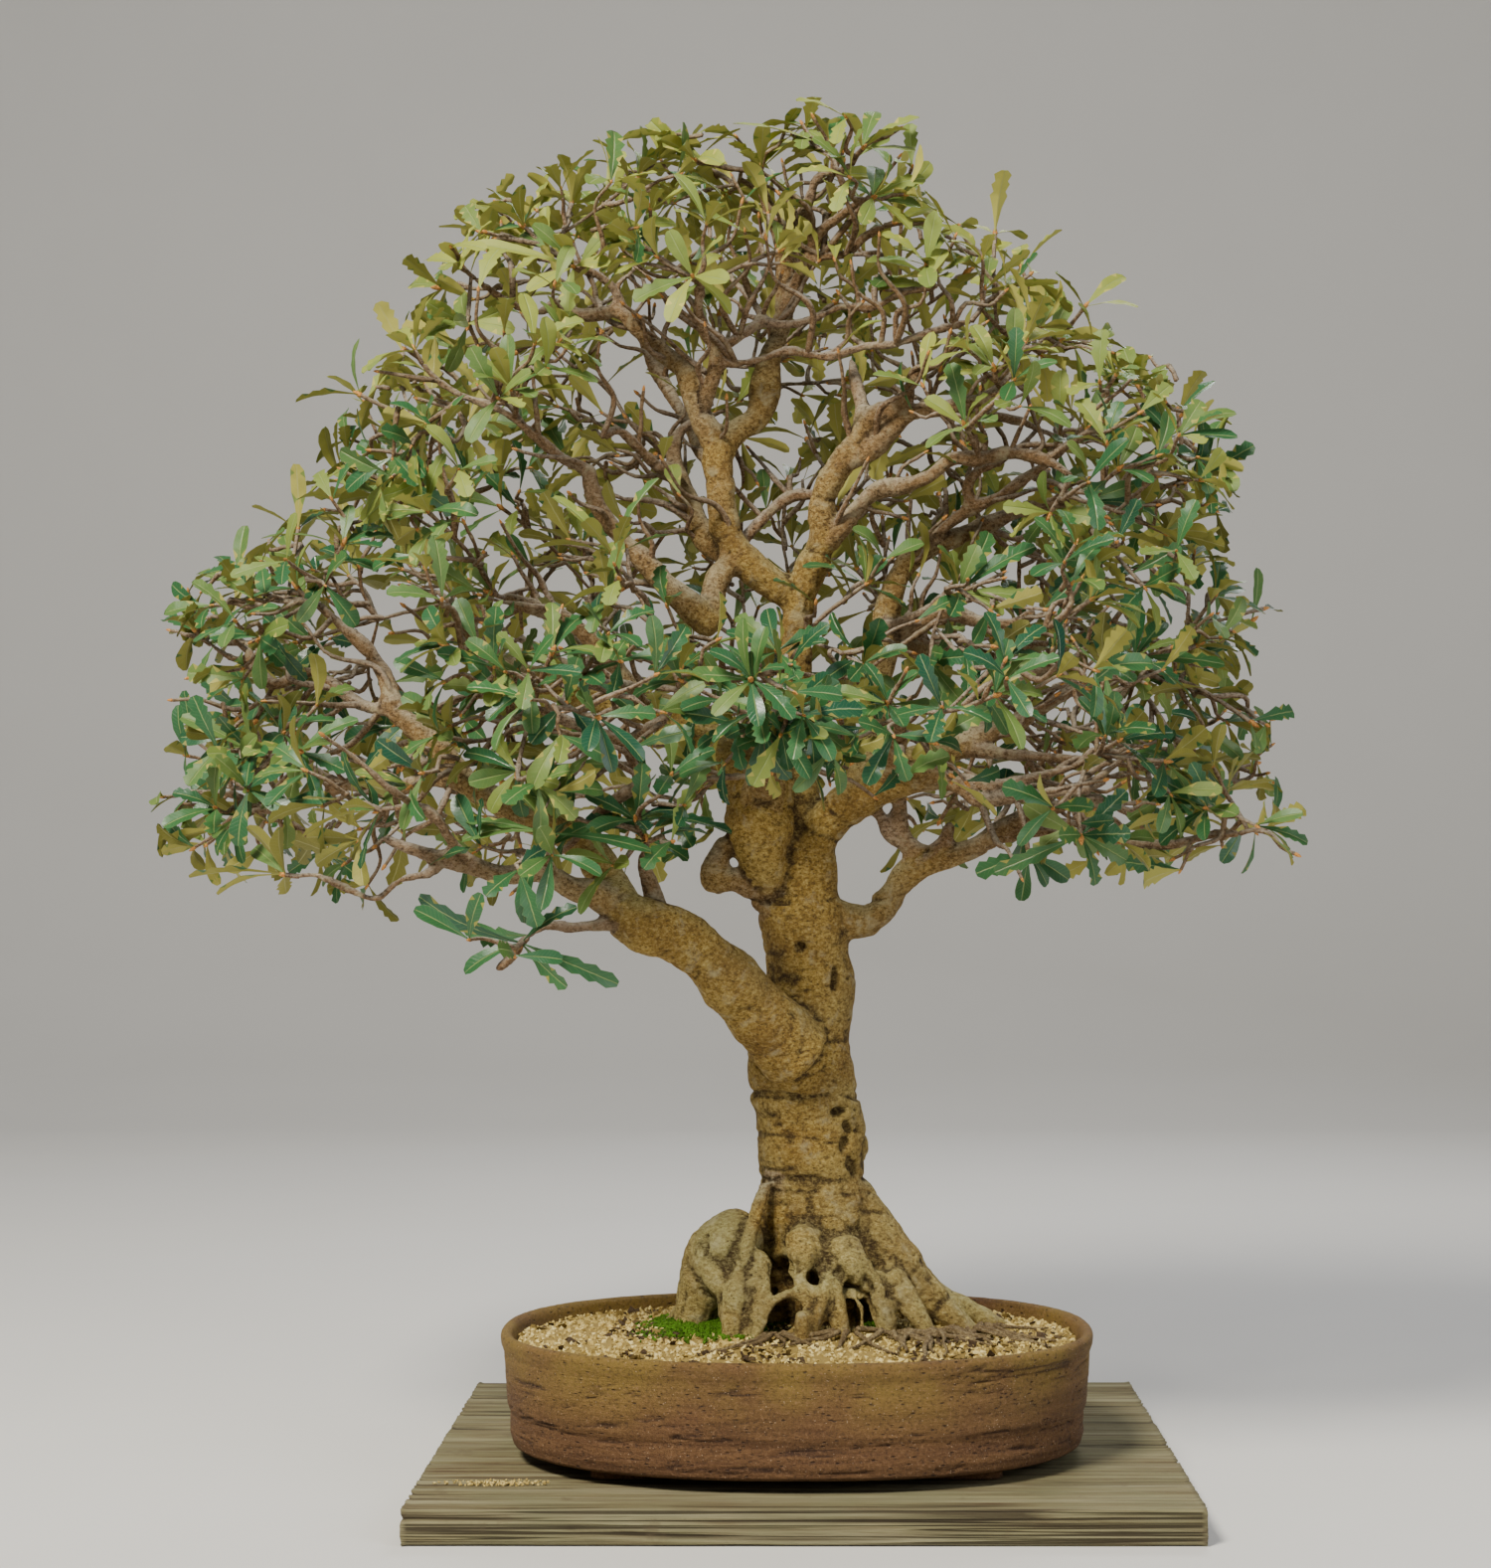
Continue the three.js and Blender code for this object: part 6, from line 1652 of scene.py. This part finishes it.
def fill_rosettes():
    """Seeded places in the crown behind the limbs that the front shows"""
    random = np.random.default_rng(12)
    taken = [from_front(rosette[0]) for rosette in ROSETTES]
    found = []
    for across, up, share in random.uniform((-430, 455, 0), (350, 900, 1), (FILL_TRIES, 3)):
        reach = CROWN_DEPTH * math.sqrt(max(0, 1 - ((up - 610) / 330) ** 2))
        place = (across, up, 15 + share * reach)
        centre = from_front(place)
        close = np.linalg.norm(np.array(taken) - centre, axis=1).min()
        if close > FILL_SPACING and within_crown(centre) and inside_solids(centre):
            taken.append(centre)
            found.append((place,))
    return found


def grow_shoot(zone, place, way, length, seed, leaves):
    """A kinked shoot with a bud and a small rosette, if it ends within the crown"""
    end = place + way * length
    if not within_crown(place + way * (length + 12)) or not inside_solids(end):
        return
    if deep_inside(end):
        leaves = min(leaves, int(draw(seed, 8) * 3))
    level, other = sideways(way)
    aside = level * (draw(seed, 3) - 0.5) + other * (draw(seed, 4) - 0.5)
    line = [place]
    for share, by in ((0.36, 0.34), (0.68, -0.1)):
        line.append(place + way * length * share + aside * length * by)
    line = np.array([*line, end])
    thick = 1.5 + 0.012 * length
    zone["shapes"].append(twig_shape(line, np.array([thick, thick * 0.9, 1.35, 1.2]), seed))
    heading = unit(line[-1] - line[-2])
    zone["shapes"].append(bud_shape(end, heading, 0.55 + 0.3 * draw(seed, 5)))
    for index, tip in enumerate(leaf_tips([to_front(end)], seed, heading, leaves)):
        shorter = SMALL_LEAF if index < 3 else 1
        zone["leaves"].append(leaf_of(end, end + (tip - end) * shorter, heading, seed, index))


def add_shoots(zone, line, heading, seed):
    """Kinked side shoots along a twig, each with a small rosette of its own, some with a spur"""
    run = run_along(line)
    level, other = sideways(heading)
    count = SHOOTS + int(run[-1] > LONG_TWIG)
    for number in range(count):
        salt = 300 + number * 10
        place = read_off(run[-1] * (0.25 + 0.7 * (number + draw(seed, salt)) / count), run, line)
        outward = unit(place - CROWN_HEART)
        turn = number * GOLDEN_TURN + draw(seed, salt + 1) * 2
        way = unit(heading * 0.7 + 1.1 * turned_side(heading, turn) + outward * 0.6 + (0, 0, 0.25))
        length = 24 + 46 * draw(seed, salt + 2) ** 1.4
        shoot = seed * 11 + number
        grow_shoot(zone, place, way, length, shoot + 1000, SHOOT_LEAVES)
        if length > SPUR_FROM:
            turned = unit(way + 1.2 * level * (1 if draw(seed, salt + 4) > 0.5 else -1) + 0.5 * other)
            grow_shoot(zone, place + way * length * 0.45, turned, length * 0.5, shoot + 3000, SPUR_LEAVES)


def add_inner_twigs(zones, places):
    """Nearly bare twigs from the thinner limbs, which fill the inside of the crown"""
    thin = [place for place in places if 2.2 < place[1] < THICK_LIMB and place[0][2] > INNER_BASE]
    for index in range(INNER_TWIGS):
        start = thin[int(draw(index, 501) * len(thin))][0]
        outward = unit(start - CROWN_HEART)
        way = unit(outward + 0.9 * turned_side(outward, 6.28 * draw(index, 502)) + (0, 0, 0.2))
        length = 34 + 56 * draw(index, 503)
        leaves = int(draw(index, 504) * 2)
        grow_shoot(zones[zone_of(start)], start, way, length, index + 7000, leaves)


def grow_crown(spine):
    """Leaves and shapes of each zone: twigs to the rosettes, the nearest to a limb first"""
    places = bearing_places()
    starts = np.array([place[0] for place in places])
    rosettes = [*ROSETTES, *fill_rosettes()]
    order = []
    for seed, rosette in enumerate(rosettes):
        nearest = np.linalg.norm(starts - from_front(rosette[0]), axis=1).min()
        order.append(((seed >= ROSETTES_IN_SOLIDS) + (seed >= len(ROSETTES)), nearest, seed))
    zones = [{"leaves": [], "shapes": []} for _ in CROWN_ZONES]
    for *_, seed in sorted(order):
        rosette = rosettes[seed]
        centre = from_front(rosette[0])
        if not inside_solids(centre):
            continue
        bearer, line = find_bearer(centre, seed, places, spine)
        radii = twig_radii(line, bearer[1])
        for before, after, radius in zip(line[:-2], line[1:], radii[1:]):
            places.append((before * 0.4 + after * 0.6, radius, False))
            places.append((after, radius, False))
        zone = zones[zone_of(centre)]
        heading = unit(line[-1] - line[-2])
        top, lower = (TOP_LEAVES, LOWER_LEAVES) if seed < len(ROSETTES) else (FILL_LEAVES, 0)
        zone["shapes"].append(twig_shape(line, radii, seed))
        zone["shapes"].append(bud_shape(centre, heading, 0.8 + 0.5 * draw(seed, 9)))
        tips = leaf_tips(rosette, seed, heading, top)
        zone["leaves"] += rosette_leaves(tips, centre, heading, seed, lower)
        add_shoots(zone, line, heading, seed)
    add_inner_twigs(zones, places)
    return zones


def kept_leaf(leaf):
    """Whether a leaf lies inside the solids' box, and within the outline if it is free"""
    inside = inside_solids(leaf["base"]) and inside_solids(leaf["tip"])
    return inside and (not leaf["free"] or within_crown(leaf["tip"]))


def build_crown(spine):
    """Adds a piece of foliage for each zone, in place of the sprays that lie nearest to its middle"""
    sprays = [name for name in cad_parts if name.startswith("spray_")]
    spray_zones = [zone_of(np.sum(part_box(name), axis=0) * 500) for name in sprays]
    for number, zone in enumerate(grow_crown(spine)):
        nodes = [spray for spray, home in zip(sprays, spray_zones) if home == number]
        leaves = leaves_shape([leaf for leaf in zone["leaves"] if kept_leaf(leaf)])
        shape = join([leaves] + zone["shapes"])
        add_piece("foliage_" + CROWN_ZONES[number][0], shape, [UPPER, UNDER, BARK, BUD], nodes)


# The pot, what fills it and the board


def rounded(turns, power):
    """Cosine and sine of turns, drawn out towards the corners by a power below 1"""
    return [np.sign(side) * np.abs(side) ** power for side in (np.cos(turns), np.sin(turns))]


def oval(turns, inset, height):
    """Points of an oval round the pot's middle, a distance inside its rim"""
    x, y = rounded(turns, OVAL_POWER)
    x = POT_CENTRE[0] + x * (POT_WIDTH / 2 - inset)
    y = POT_CENTRE[1] + y * (POT_DEPTH / 2 - inset)
    return np.stack([x, y, np.zeros_like(turns) + height], axis=-1)


def post(x, low, high):
    """A cylinder that cuts a drainage hole"""
    turns = even_turns(DRAIN_SIDES)
    y = POT_CENTRE[1]
    ring = level_points(x + np.cos(turns) * DRAIN_RADIUS, y + np.sin(turns) * DRAIN_RADIUS)
    return closed_stack(np.stack([ring + (0, 0, low), ring + (0, 0, high)]), (x, y, low), (x, y, high))


def foot_shape(x, y):
    """A low foot with rounded corners under the pot"""
    flat = level_points(*rounded(even_turns(FOOT_SIDES), FOOT_POWER))
    rings = []
    for share, height in ((0.94, 0), (1.0, 1.2), (1.0, FOOT_HEIGHT + 1.5)):
        half = (FOOT_SIZE[0] / 2 * share, FOOT_SIZE[1] / 2 * share, 0)
        rings.append(flat * half + (POT_CENTRE[0] + x, POT_CENTRE[1] + y, POT_BOTTOM + height))
    foot = closed_stack(np.array(rings), rings[0].mean(axis=0), rings[-1].mean(axis=0))
    foot["relief"] = np.ones(len(foot["points"]))
    foot["rim"] = np.zeros(len(foot["points"]))
    return foot


def build_pot():
    """Adds the pot and returns the height of its floor and the places of its drainage holes"""
    underside = POT_BOTTOM + FOOT_HEIGHT
    floor_top = underside + POT_FLOOR
    outside = [
        (18, underside), (15, underside + 0.2), (12, underside + 0.7), (9, underside + 2.6),
        (6.8, underside + 9), (7, underside + 24), (5, underside + 29), (3.2, underside + 50),
        (2.6, RIM_HEIGHT - 14), (1.4, RIM_HEIGHT - 11), (0.5, RIM_HEIGHT - 8), (0.3, RIM_HEIGHT - 4),
        (1.1, RIM_HEIGHT - 1.6), (2.9, RIM_HEIGHT - 0.4),
    ]
    inside = [
        (POT_WALL - 3.4, RIM_HEIGHT - 0.3), (POT_WALL - 1.2, RIM_HEIGHT - 1.4), (POT_WALL, RIM_HEIGHT - 4),
        (POT_WALL + 2, RIM_HEIGHT - 16), (POT_WALL + 7, floor_top + 6), (POT_WALL + 16, floor_top),
    ]
    outside = resampled(outside, OUTSIDE_STEP)
    outline = np.concatenate([outside, resampled(inside, INSIDE_STEP)])
    turns = even_turns(POT_SIDES)
    rings = np.array([oval(turns, inset, height) for inset, height in outline])
    shape = closed_stack(rings, (*POT_CENTRE, underside), (*POT_CENTRE, floor_top))
    points = shape["points"][:-2]
    normals = point_normals(shape["points"], shape["faces"])[:-2]
    heights = np.repeat(outline[:, 1], POT_SIDES)
    turn = math.pi - np.tile(turns, len(outline))
    around = np.stack([np.abs(turn) * POT_REACH, heights, np.sign(turn) * 400], axis=1)
    swayed = around + np.array([0, 3, 0]) * noise(around, (60, 30, 90), 31)[:, None]
    breaks = smoothstep(-0.25, 0.35, noise(around, (30, 9, 40), 22))
    torn = (1 - ridges(swayed, (62, 6.5, 50), 21)) ** 16 * breaks
    fine_torn = (1 - ridges(around, (22, 3.2, 50), 23)) ** 9 * breaks
    waves = noise(around, (90, 20, 60), 24)
    crumbs = knobs(around, (4.6, 3.4, 30), 25)
    depth = 0.2 + 1.7 * torn + 0.9 * fine_torn + 0.35 * (0.5 - 0.5 * waves) + 0.3 * (1 - crumbs)
    wall = smoothstep(underside + 1, underside + 8, heights)
    wall *= smoothstep(RIM_HEIGHT + 1, RIM_HEIGHT - 9, heights)
    wall[len(outside) * POT_SIDES:] = 0
    depth = depth * wall + np.abs(noise(points, 7, 26)) * 0.35 * (1 - wall)
    # Painted shade: low in the torn lines of the wall
    relief = np.clip(1 - 1.3 * torn * wall - 0.75 * fine_torn * wall, 0, 1)
    rim = smoothstep(underside + 18, RIM_HEIGHT - 8, heights)
    shape["points"][:-2] = points - normals * depth[:, None]
    shape["relief"] = np.concatenate([relief, [1, 1]])
    shape["rim"] = np.concatenate([rim, [0, 0]])
    drains = [POT_CENTRE[0] - DRAIN_OFFSET, POT_CENTRE[0] + DRAIN_OFFSET]
    body = carved_with(shape, [post(x, underside - 5, floor_top + 5) for x in drains])
    feet = [foot_shape(x, y) for x in (-FOOT_ACROSS, FOOT_ACROSS) for y in (-FOOT_DEEP, FOOT_DEEP)]
    add_piece("pot", join([body] + feet), [pot_material()], ["pot"])
    return floor_top, drains


def build_screens(floor_top, drains):
    """Plastic mesh of strands that pass over and under each other, over each drainage hole"""
    material = mesh_material()
    half = SCREEN_SIZE / 2
    pitch = SCREEN_SIZE / SCREEN_STRANDS
    along = np.linspace(-half, half, 2 * SCREEN_STRANDS + 1)
    for x, name in zip(drains, ("drain_screen_left", "drain_screen_right")):
        strands = []
        for index in range(SCREEN_STRANDS + 1):
            place = 0.5 - half + index * (SCREEN_SIZE - 1) / SCREEN_STRANDS
            beat = STRAND_SWAY * np.cos(along / pitch * math.pi + index * math.pi)
            for columns in ([along, along * 0 + place, -beat], [along * 0 + place, along, beat]):
                middle = (x, POT_CENTRE[1], floor_top + GAP + SCREEN_THICKNESS / 2)
                line = np.stack(columns, axis=1) * (0.985, 0.985, 1) + middle
                strands.append(tube(line, np.full(len(line), STRAND_RADIUS), 4))
        add_piece(name, join(strands), [material], [name])


def soil_height(x, y):
    """Height of the soil's surface: it mounds towards the trunk"""
    far = np.hypot(
        (x - POT_CENTRE[0]) / (POT_WIDTH / 2 - POT_WALL), (y - POT_CENTRE[1]) / (POT_DEPTH / 2 - POT_WALL)
    )
    flat = level_points(x, y)
    wave = 1.1 * noise(flat, 38, 41) + 0.6 * noise(flat, 13, 42)
    return SOIL_EDGE - 0.6 + SOIL_CROWN * smoothstep(1.05, 0.35, far) + wave * smoothstep(1.0, 0.9, far)


def grit_shape(places, sizes, seed, flatness, tone):
    """Many small angular stones, or flakes that lie flat, in one shape"""
    count = len(places)
    random = np.random.default_rng(seed)
    corners = np.array([(1, 0, 0), (-1, 0, 0), (0, 1, 0), (0, -1, 0), (0, 0, 1), (0, 0, -1)], float)
    points = corners * (1 + 0.35 * random.uniform(-1, 1, (count, 6, 3)))
    points += 0.22 * random.uniform(-1, 1, (count, 6, 3))
    axes = [np.ones(count), random.uniform(0.6, 0.95, count), random.uniform(*flatness, count)]
    points *= np.stack(axes, axis=1)[:, None]
    turns = unit(random.normal(size=(count, 4)))
    if flatness[1] < 0.4:
        turns = unit(turns * (1, 0.25, 0.25, 1))
    axis = turns[:, None, 1:]
    aside = 2 * np.cross(axis, points)
    points += turns[:, :1, None] * aside + np.cross(axis, aside)
    points = points * (sizes / 2)[:, None, None] + places[:, None]
    faces = [(0, 2, 4), (2, 1, 4), (1, 3, 4), (3, 0, 4), (2, 0, 5), (1, 2, 5), (3, 1, 5), (0, 3, 5)]
    faces = (np.array(faces) + np.arange(count)[:, None, None] * 6).reshape(-1, 3)
    return {"points": points.reshape(-1, 3), "faces": faces, "tone": np.repeat(tone, 6)}


def build_soil(floor_top):
    """The ground with grains and dark flakes on it"""
    turns = even_turns(SOIL_SIDES)
    half_size = np.array([POT_WIDTH / 2, POT_DEPTH / 2])
    edge = POT_WALL + 2.2
    rings = [oval(turns, POT_WALL + 16.5, floor_top + 0.4), oval(turns, POT_WALL + 4, SOIL_EDGE - 10)]
    for share in np.linspace(0, 0.97, SOIL_RINGS):
        ring = oval(turns, edge, 0)
        ring[:, :2] += (POT_CENTRE - ring[:, :2]) * share
        ring[:, 2] = soil_height(ring[:, 0], ring[:, 1]) - 1.6 * smoothstep(0.02, 0, share)
        rings.append(ring)
    ground = closed_stack(
        np.array(rings), (*POT_CENTRE, floor_top + 0.4), (*POT_CENTRE, rings[-1][:, 2].mean())
    )
    ground["tone"] = np.full(len(ground["points"]), 0.18)
    random = np.random.default_rng(5)
    spots = random.uniform(-1, 1, (GRAIN_COUNT, 2)) * half_size
    limit = np.sum((np.abs(spots) / (half_size - edge)) ** 2.3, axis=1)
    spots = spots[limit < 0.985] + POT_CENTRE
    sizes = random.uniform(2.2, 4.8, len(spots)) + 1.6 * (random.uniform(0, 1, len(spots)) > 0.9)
    height = soil_height(*spots.T) + random.uniform(-0.2, 1.0, len(spots))
    tone = random.uniform(0.12, 1.0, len(spots)) ** 0.8
    grains = grit_shape(np.column_stack([spots, height]), sizes, 6, (0.55, 0.9), tone)
    bits = random.uniform(-1, 1, (FLAKE_COUNT, 2)) * (half_size - 22)
    bits = bits[np.linalg.norm(bits / (half_size - 20), axis=1) < 1] + POT_CENTRE
    clumped = noise(level_points(*bits.T), 30, 43) + 0.3 * smoothstep(20, 110, bits[:, 0])
    bits = bits[random.uniform(0, 1, len(bits)) < smoothstep(-0.2, 0.5, clumped)]
    height = soil_height(*bits.T) + 1.6
    sizes = random.uniform(3, 9, len(bits))
    dark = random.uniform(0, 0.09, len(bits))
    flakes = grit_shape(np.column_stack([bits, height]), sizes, 7, (0.16, 0.3), dark)
    add_piece("soil", join([ground, grains, flakes]), [grit_material()], ["soil"], smooth=False)


def build_moss():
    """Pads of tufts that thin out over the soil in front of them"""
    material = moss_material()
    for name, across, depth, half_width, half_depth, height, count, seed in MOSS_PADS:
        middle = from_front((across, 0, depth))
        random = np.random.default_rng(seed)
        turn = random.uniform(0, 2 * math.pi, count)
        reach = np.sqrt(random.uniform(0, 1, count))
        ring = np.stack([np.cos(turn), np.sin(turn), turn * 0 + seed], axis=1)
        wide = reach * (1 + 0.16 * noise(ring, 0.5, 3)) * 0.92
        x = middle[0] + ring[:, 0] * wide * half_width
        y = middle[1] + ring[:, 1] * wide * half_depth
        lumps = 1.6 * knobs(level_points(x, y), 9, 5)
        stray = random.uniform(0, 1, count) < 0.28
        x = np.where(stray, x + random.uniform(-16, 26, count) * half_width / 42, x)
        y = np.where(stray, y - random.uniform(4, 34, count) * half_depth / 46, y)
        dome = np.where(stray, 1.5, height * 0.62 * (1 - reach ** 2.4))
        places = np.stack([x, y, soil_height(x, y) + dome * 0.85 + lumps - 0.6], axis=1)
        sizes = random.uniform(2.4, 4.2, count) * (0.6 if count < 1000 else 1)
        tone = random.uniform(0, 1, count) * (0.35 + 0.65 * lumps / 1.6)
        tufts = grit_shape(places, sizes, seed + 20, (0.8, 1.4), tone)
        add_piece(name, tufts, [material], [name], smooth=False)


def plank_shape(front, back, seed):
    """A weathered plank: a rounded section run along the board, with cracks along its grain"""
    edge = PLANK_EDGE
    corners = [
        (front + edge, 0), (back - edge, 0), (back, edge), (back, BOARD_THICKNESS - edge),
        (back - edge, BOARD_THICKNESS), (front + edge, BOARD_THICKNESS), (front, BOARD_THICKNESS - edge),
        (front, edge), (front + edge, 0),
    ]
    section = resampled(corners, SECTION_STEP)[:-1]
    half = BOARD_WIDTH / 2
    stations = np.linspace(-half, half, PLANK_STATIONS)
    rings = np.zeros((len(stations), len(section), 3))
    rings[..., 0] = stations[:, None]
    rings[..., 1:] = section
    shape = closed_stack(rings, *((x, (front + back) / 2, BOARD_THICKNESS / 2) for x in (-half, half)))
    points = shape["points"]
    normals = point_normals(points, shape["faces"])
    bent = points.copy()
    bent[:, 1] += 2.2 * noise(points, (170, 60, 60), seed)
    cracks = (1 - ridges(bent, (330, 6, 6), seed + 1)) ** 8
    cracks = cracks * smoothstep(-0.5, 0.2, noise(bent, (110, 18, 18), seed + 2))
    lines = (1 - ridges(bent, (220, 3.2, 3.2), seed + 3)) ** 3
    dents = noise(points, (40, 14, 14), seed + 4)
    sunk = 0.1 + 1.5 * cracks + 0.7 * lines + 0.25 * (1 + dents)
    shape["points"] = points - normals * sunk[:, None]
    ends = np.abs(points[:, 0]) > half - 0.1
    shape["points"][ends, 0] -= np.sign(points[ends, 0]) * 0.6 * ridges(points[ends], (5, 9, 3), seed + 5)
    # Painted shade: low in the cracks and fine grooves along the grain
    shape["relief"] = np.clip(1 - 1.1 * cracks - 0.55 * lines, 0, 1)
    shape["front"] = smoothstep(-0.5, -0.9, normals[:, 1])
    return shape


def with_crumbs(plank):
    """The plank with the grit that lies on it at the left of the pot"""
    random = np.random.default_rng(11)
    spots = random.normal(0, 1, (CRUMB_COUNT, 2)) * CRUMB_SPREAD + CRUMB_MIDDLE
    spots = spots[np.linalg.norm((spots - CRUMB_MIDDLE) / CRUMB_SPREAD, axis=1) < 2]
    height = BOARD_THICKNESS + random.uniform(-0.6, 0.3, len(spots))
    sizes = random.uniform(1.4, 3.4, len(spots))
    tone = random.uniform(0.3, 0.9, len(spots))
    crumbs = grit_shape(np.column_stack([spots, height]), sizes, 12, (0.4, 0.7), tone)
    crumbs["material"] = 1
    crumbs["relief"] = crumbs["front"] = np.ones(len(crumbs["points"]))
    plank["tone"] = np.ones(len(plank["points"]))
    return join([plank, crumbs])


def build_board():
    """Three planks from front to back, with a slit between them"""
    materials = [board_material(), bpy.data.materials["grit"]]
    front = -sum(PLANK_DEPTHS) / 2
    names = ("board_front_plank", "board_middle_plank", "board_back_plank")
    for index, (depth, name) in enumerate(zip(PLANK_DEPTHS, names)):
        low = front + (PLANK_SLIT / 2 if index else 0)
        front += depth
        high = front - (PLANK_SLIT / 2 if index < 2 else 0)
        plank = plank_shape(low, high, 50 + index * 10)
        if index == 0:
            plank = with_crumbs(plank)
        add_piece(name, plank, materials, [name])


# Floor, lights and camera


def build_floor():
    """A floor that curves up behind the part"""
    points = [(x, y, z - 0.0004) for y, z in FLOOR_PROFILE for x in (-6, 6)]
    faces = [(2 * i, 2 * i + 1, 2 * i + 3, 2 * i + 2) for i in range(len(FLOOR_PROFILE) - 1)]
    mesh = bpy.data.meshes.new("floor")
    mesh.from_pydata(points, [], faces)
    for polygon in mesh.polygons:
        polygon.use_smooth = True
    mesh.materials.append(floor_material())
    placed("floor", mesh)


def add_light(name, place, aim, size, power, colour):
    """A round lamp at a place that shines at its aim"""
    lamp = bpy.data.lights.new(name, "AREA")
    lamp.shape = "DISK"
    lamp.size = size
    lamp.energy = power
    lamp.color = colour
    holder = placed(name, lamp)
    holder.location = place
    x, y, z = np.array(aim, float) - np.array(place, float)
    holder.rotation_euler = (math.atan2(np.hypot(x, y), -z), 0, math.atan2(y, x) - math.pi / 2)


def light_and_camera():
    """A camera where the photo was taken from, and soft light"""
    for row in LIGHTS:
        add_light(*row)
    world = bpy.data.worlds.new("soft")
    world.use_nodes = True
    world.node_tree.nodes["Background"].inputs["Color"].default_value = (0.95, 0.96, 1, 1)
    world.node_tree.nodes["Background"].inputs["Strength"].default_value = WORLD_LIGHT
    bpy.context.scene.world = world
    lens = bpy.data.cameras.new("camera")
    lens.lens = CAMERA_LENS
    lens.shift_x, lens.shift_y = CAMERA_SHIFT
    lens.clip_end = 50
    camera = placed("camera", lens)
    camera.location = (0, (POT_CENTRE[1] - EYE_DISTANCE) / 1000, EYE_HEIGHT / 1000)
    camera.rotation_euler = (math.pi / 2, 0, 0)
    bpy.context.scene.camera = camera


spine_of_wood = build_wood()
build_crown(spine_of_wood)
top_of_floor, drain_places = build_pot()
build_screens(top_of_floor, drain_places)
build_soil(top_of_floor)
build_moss()
build_board()
build_floor()
light_and_camera()
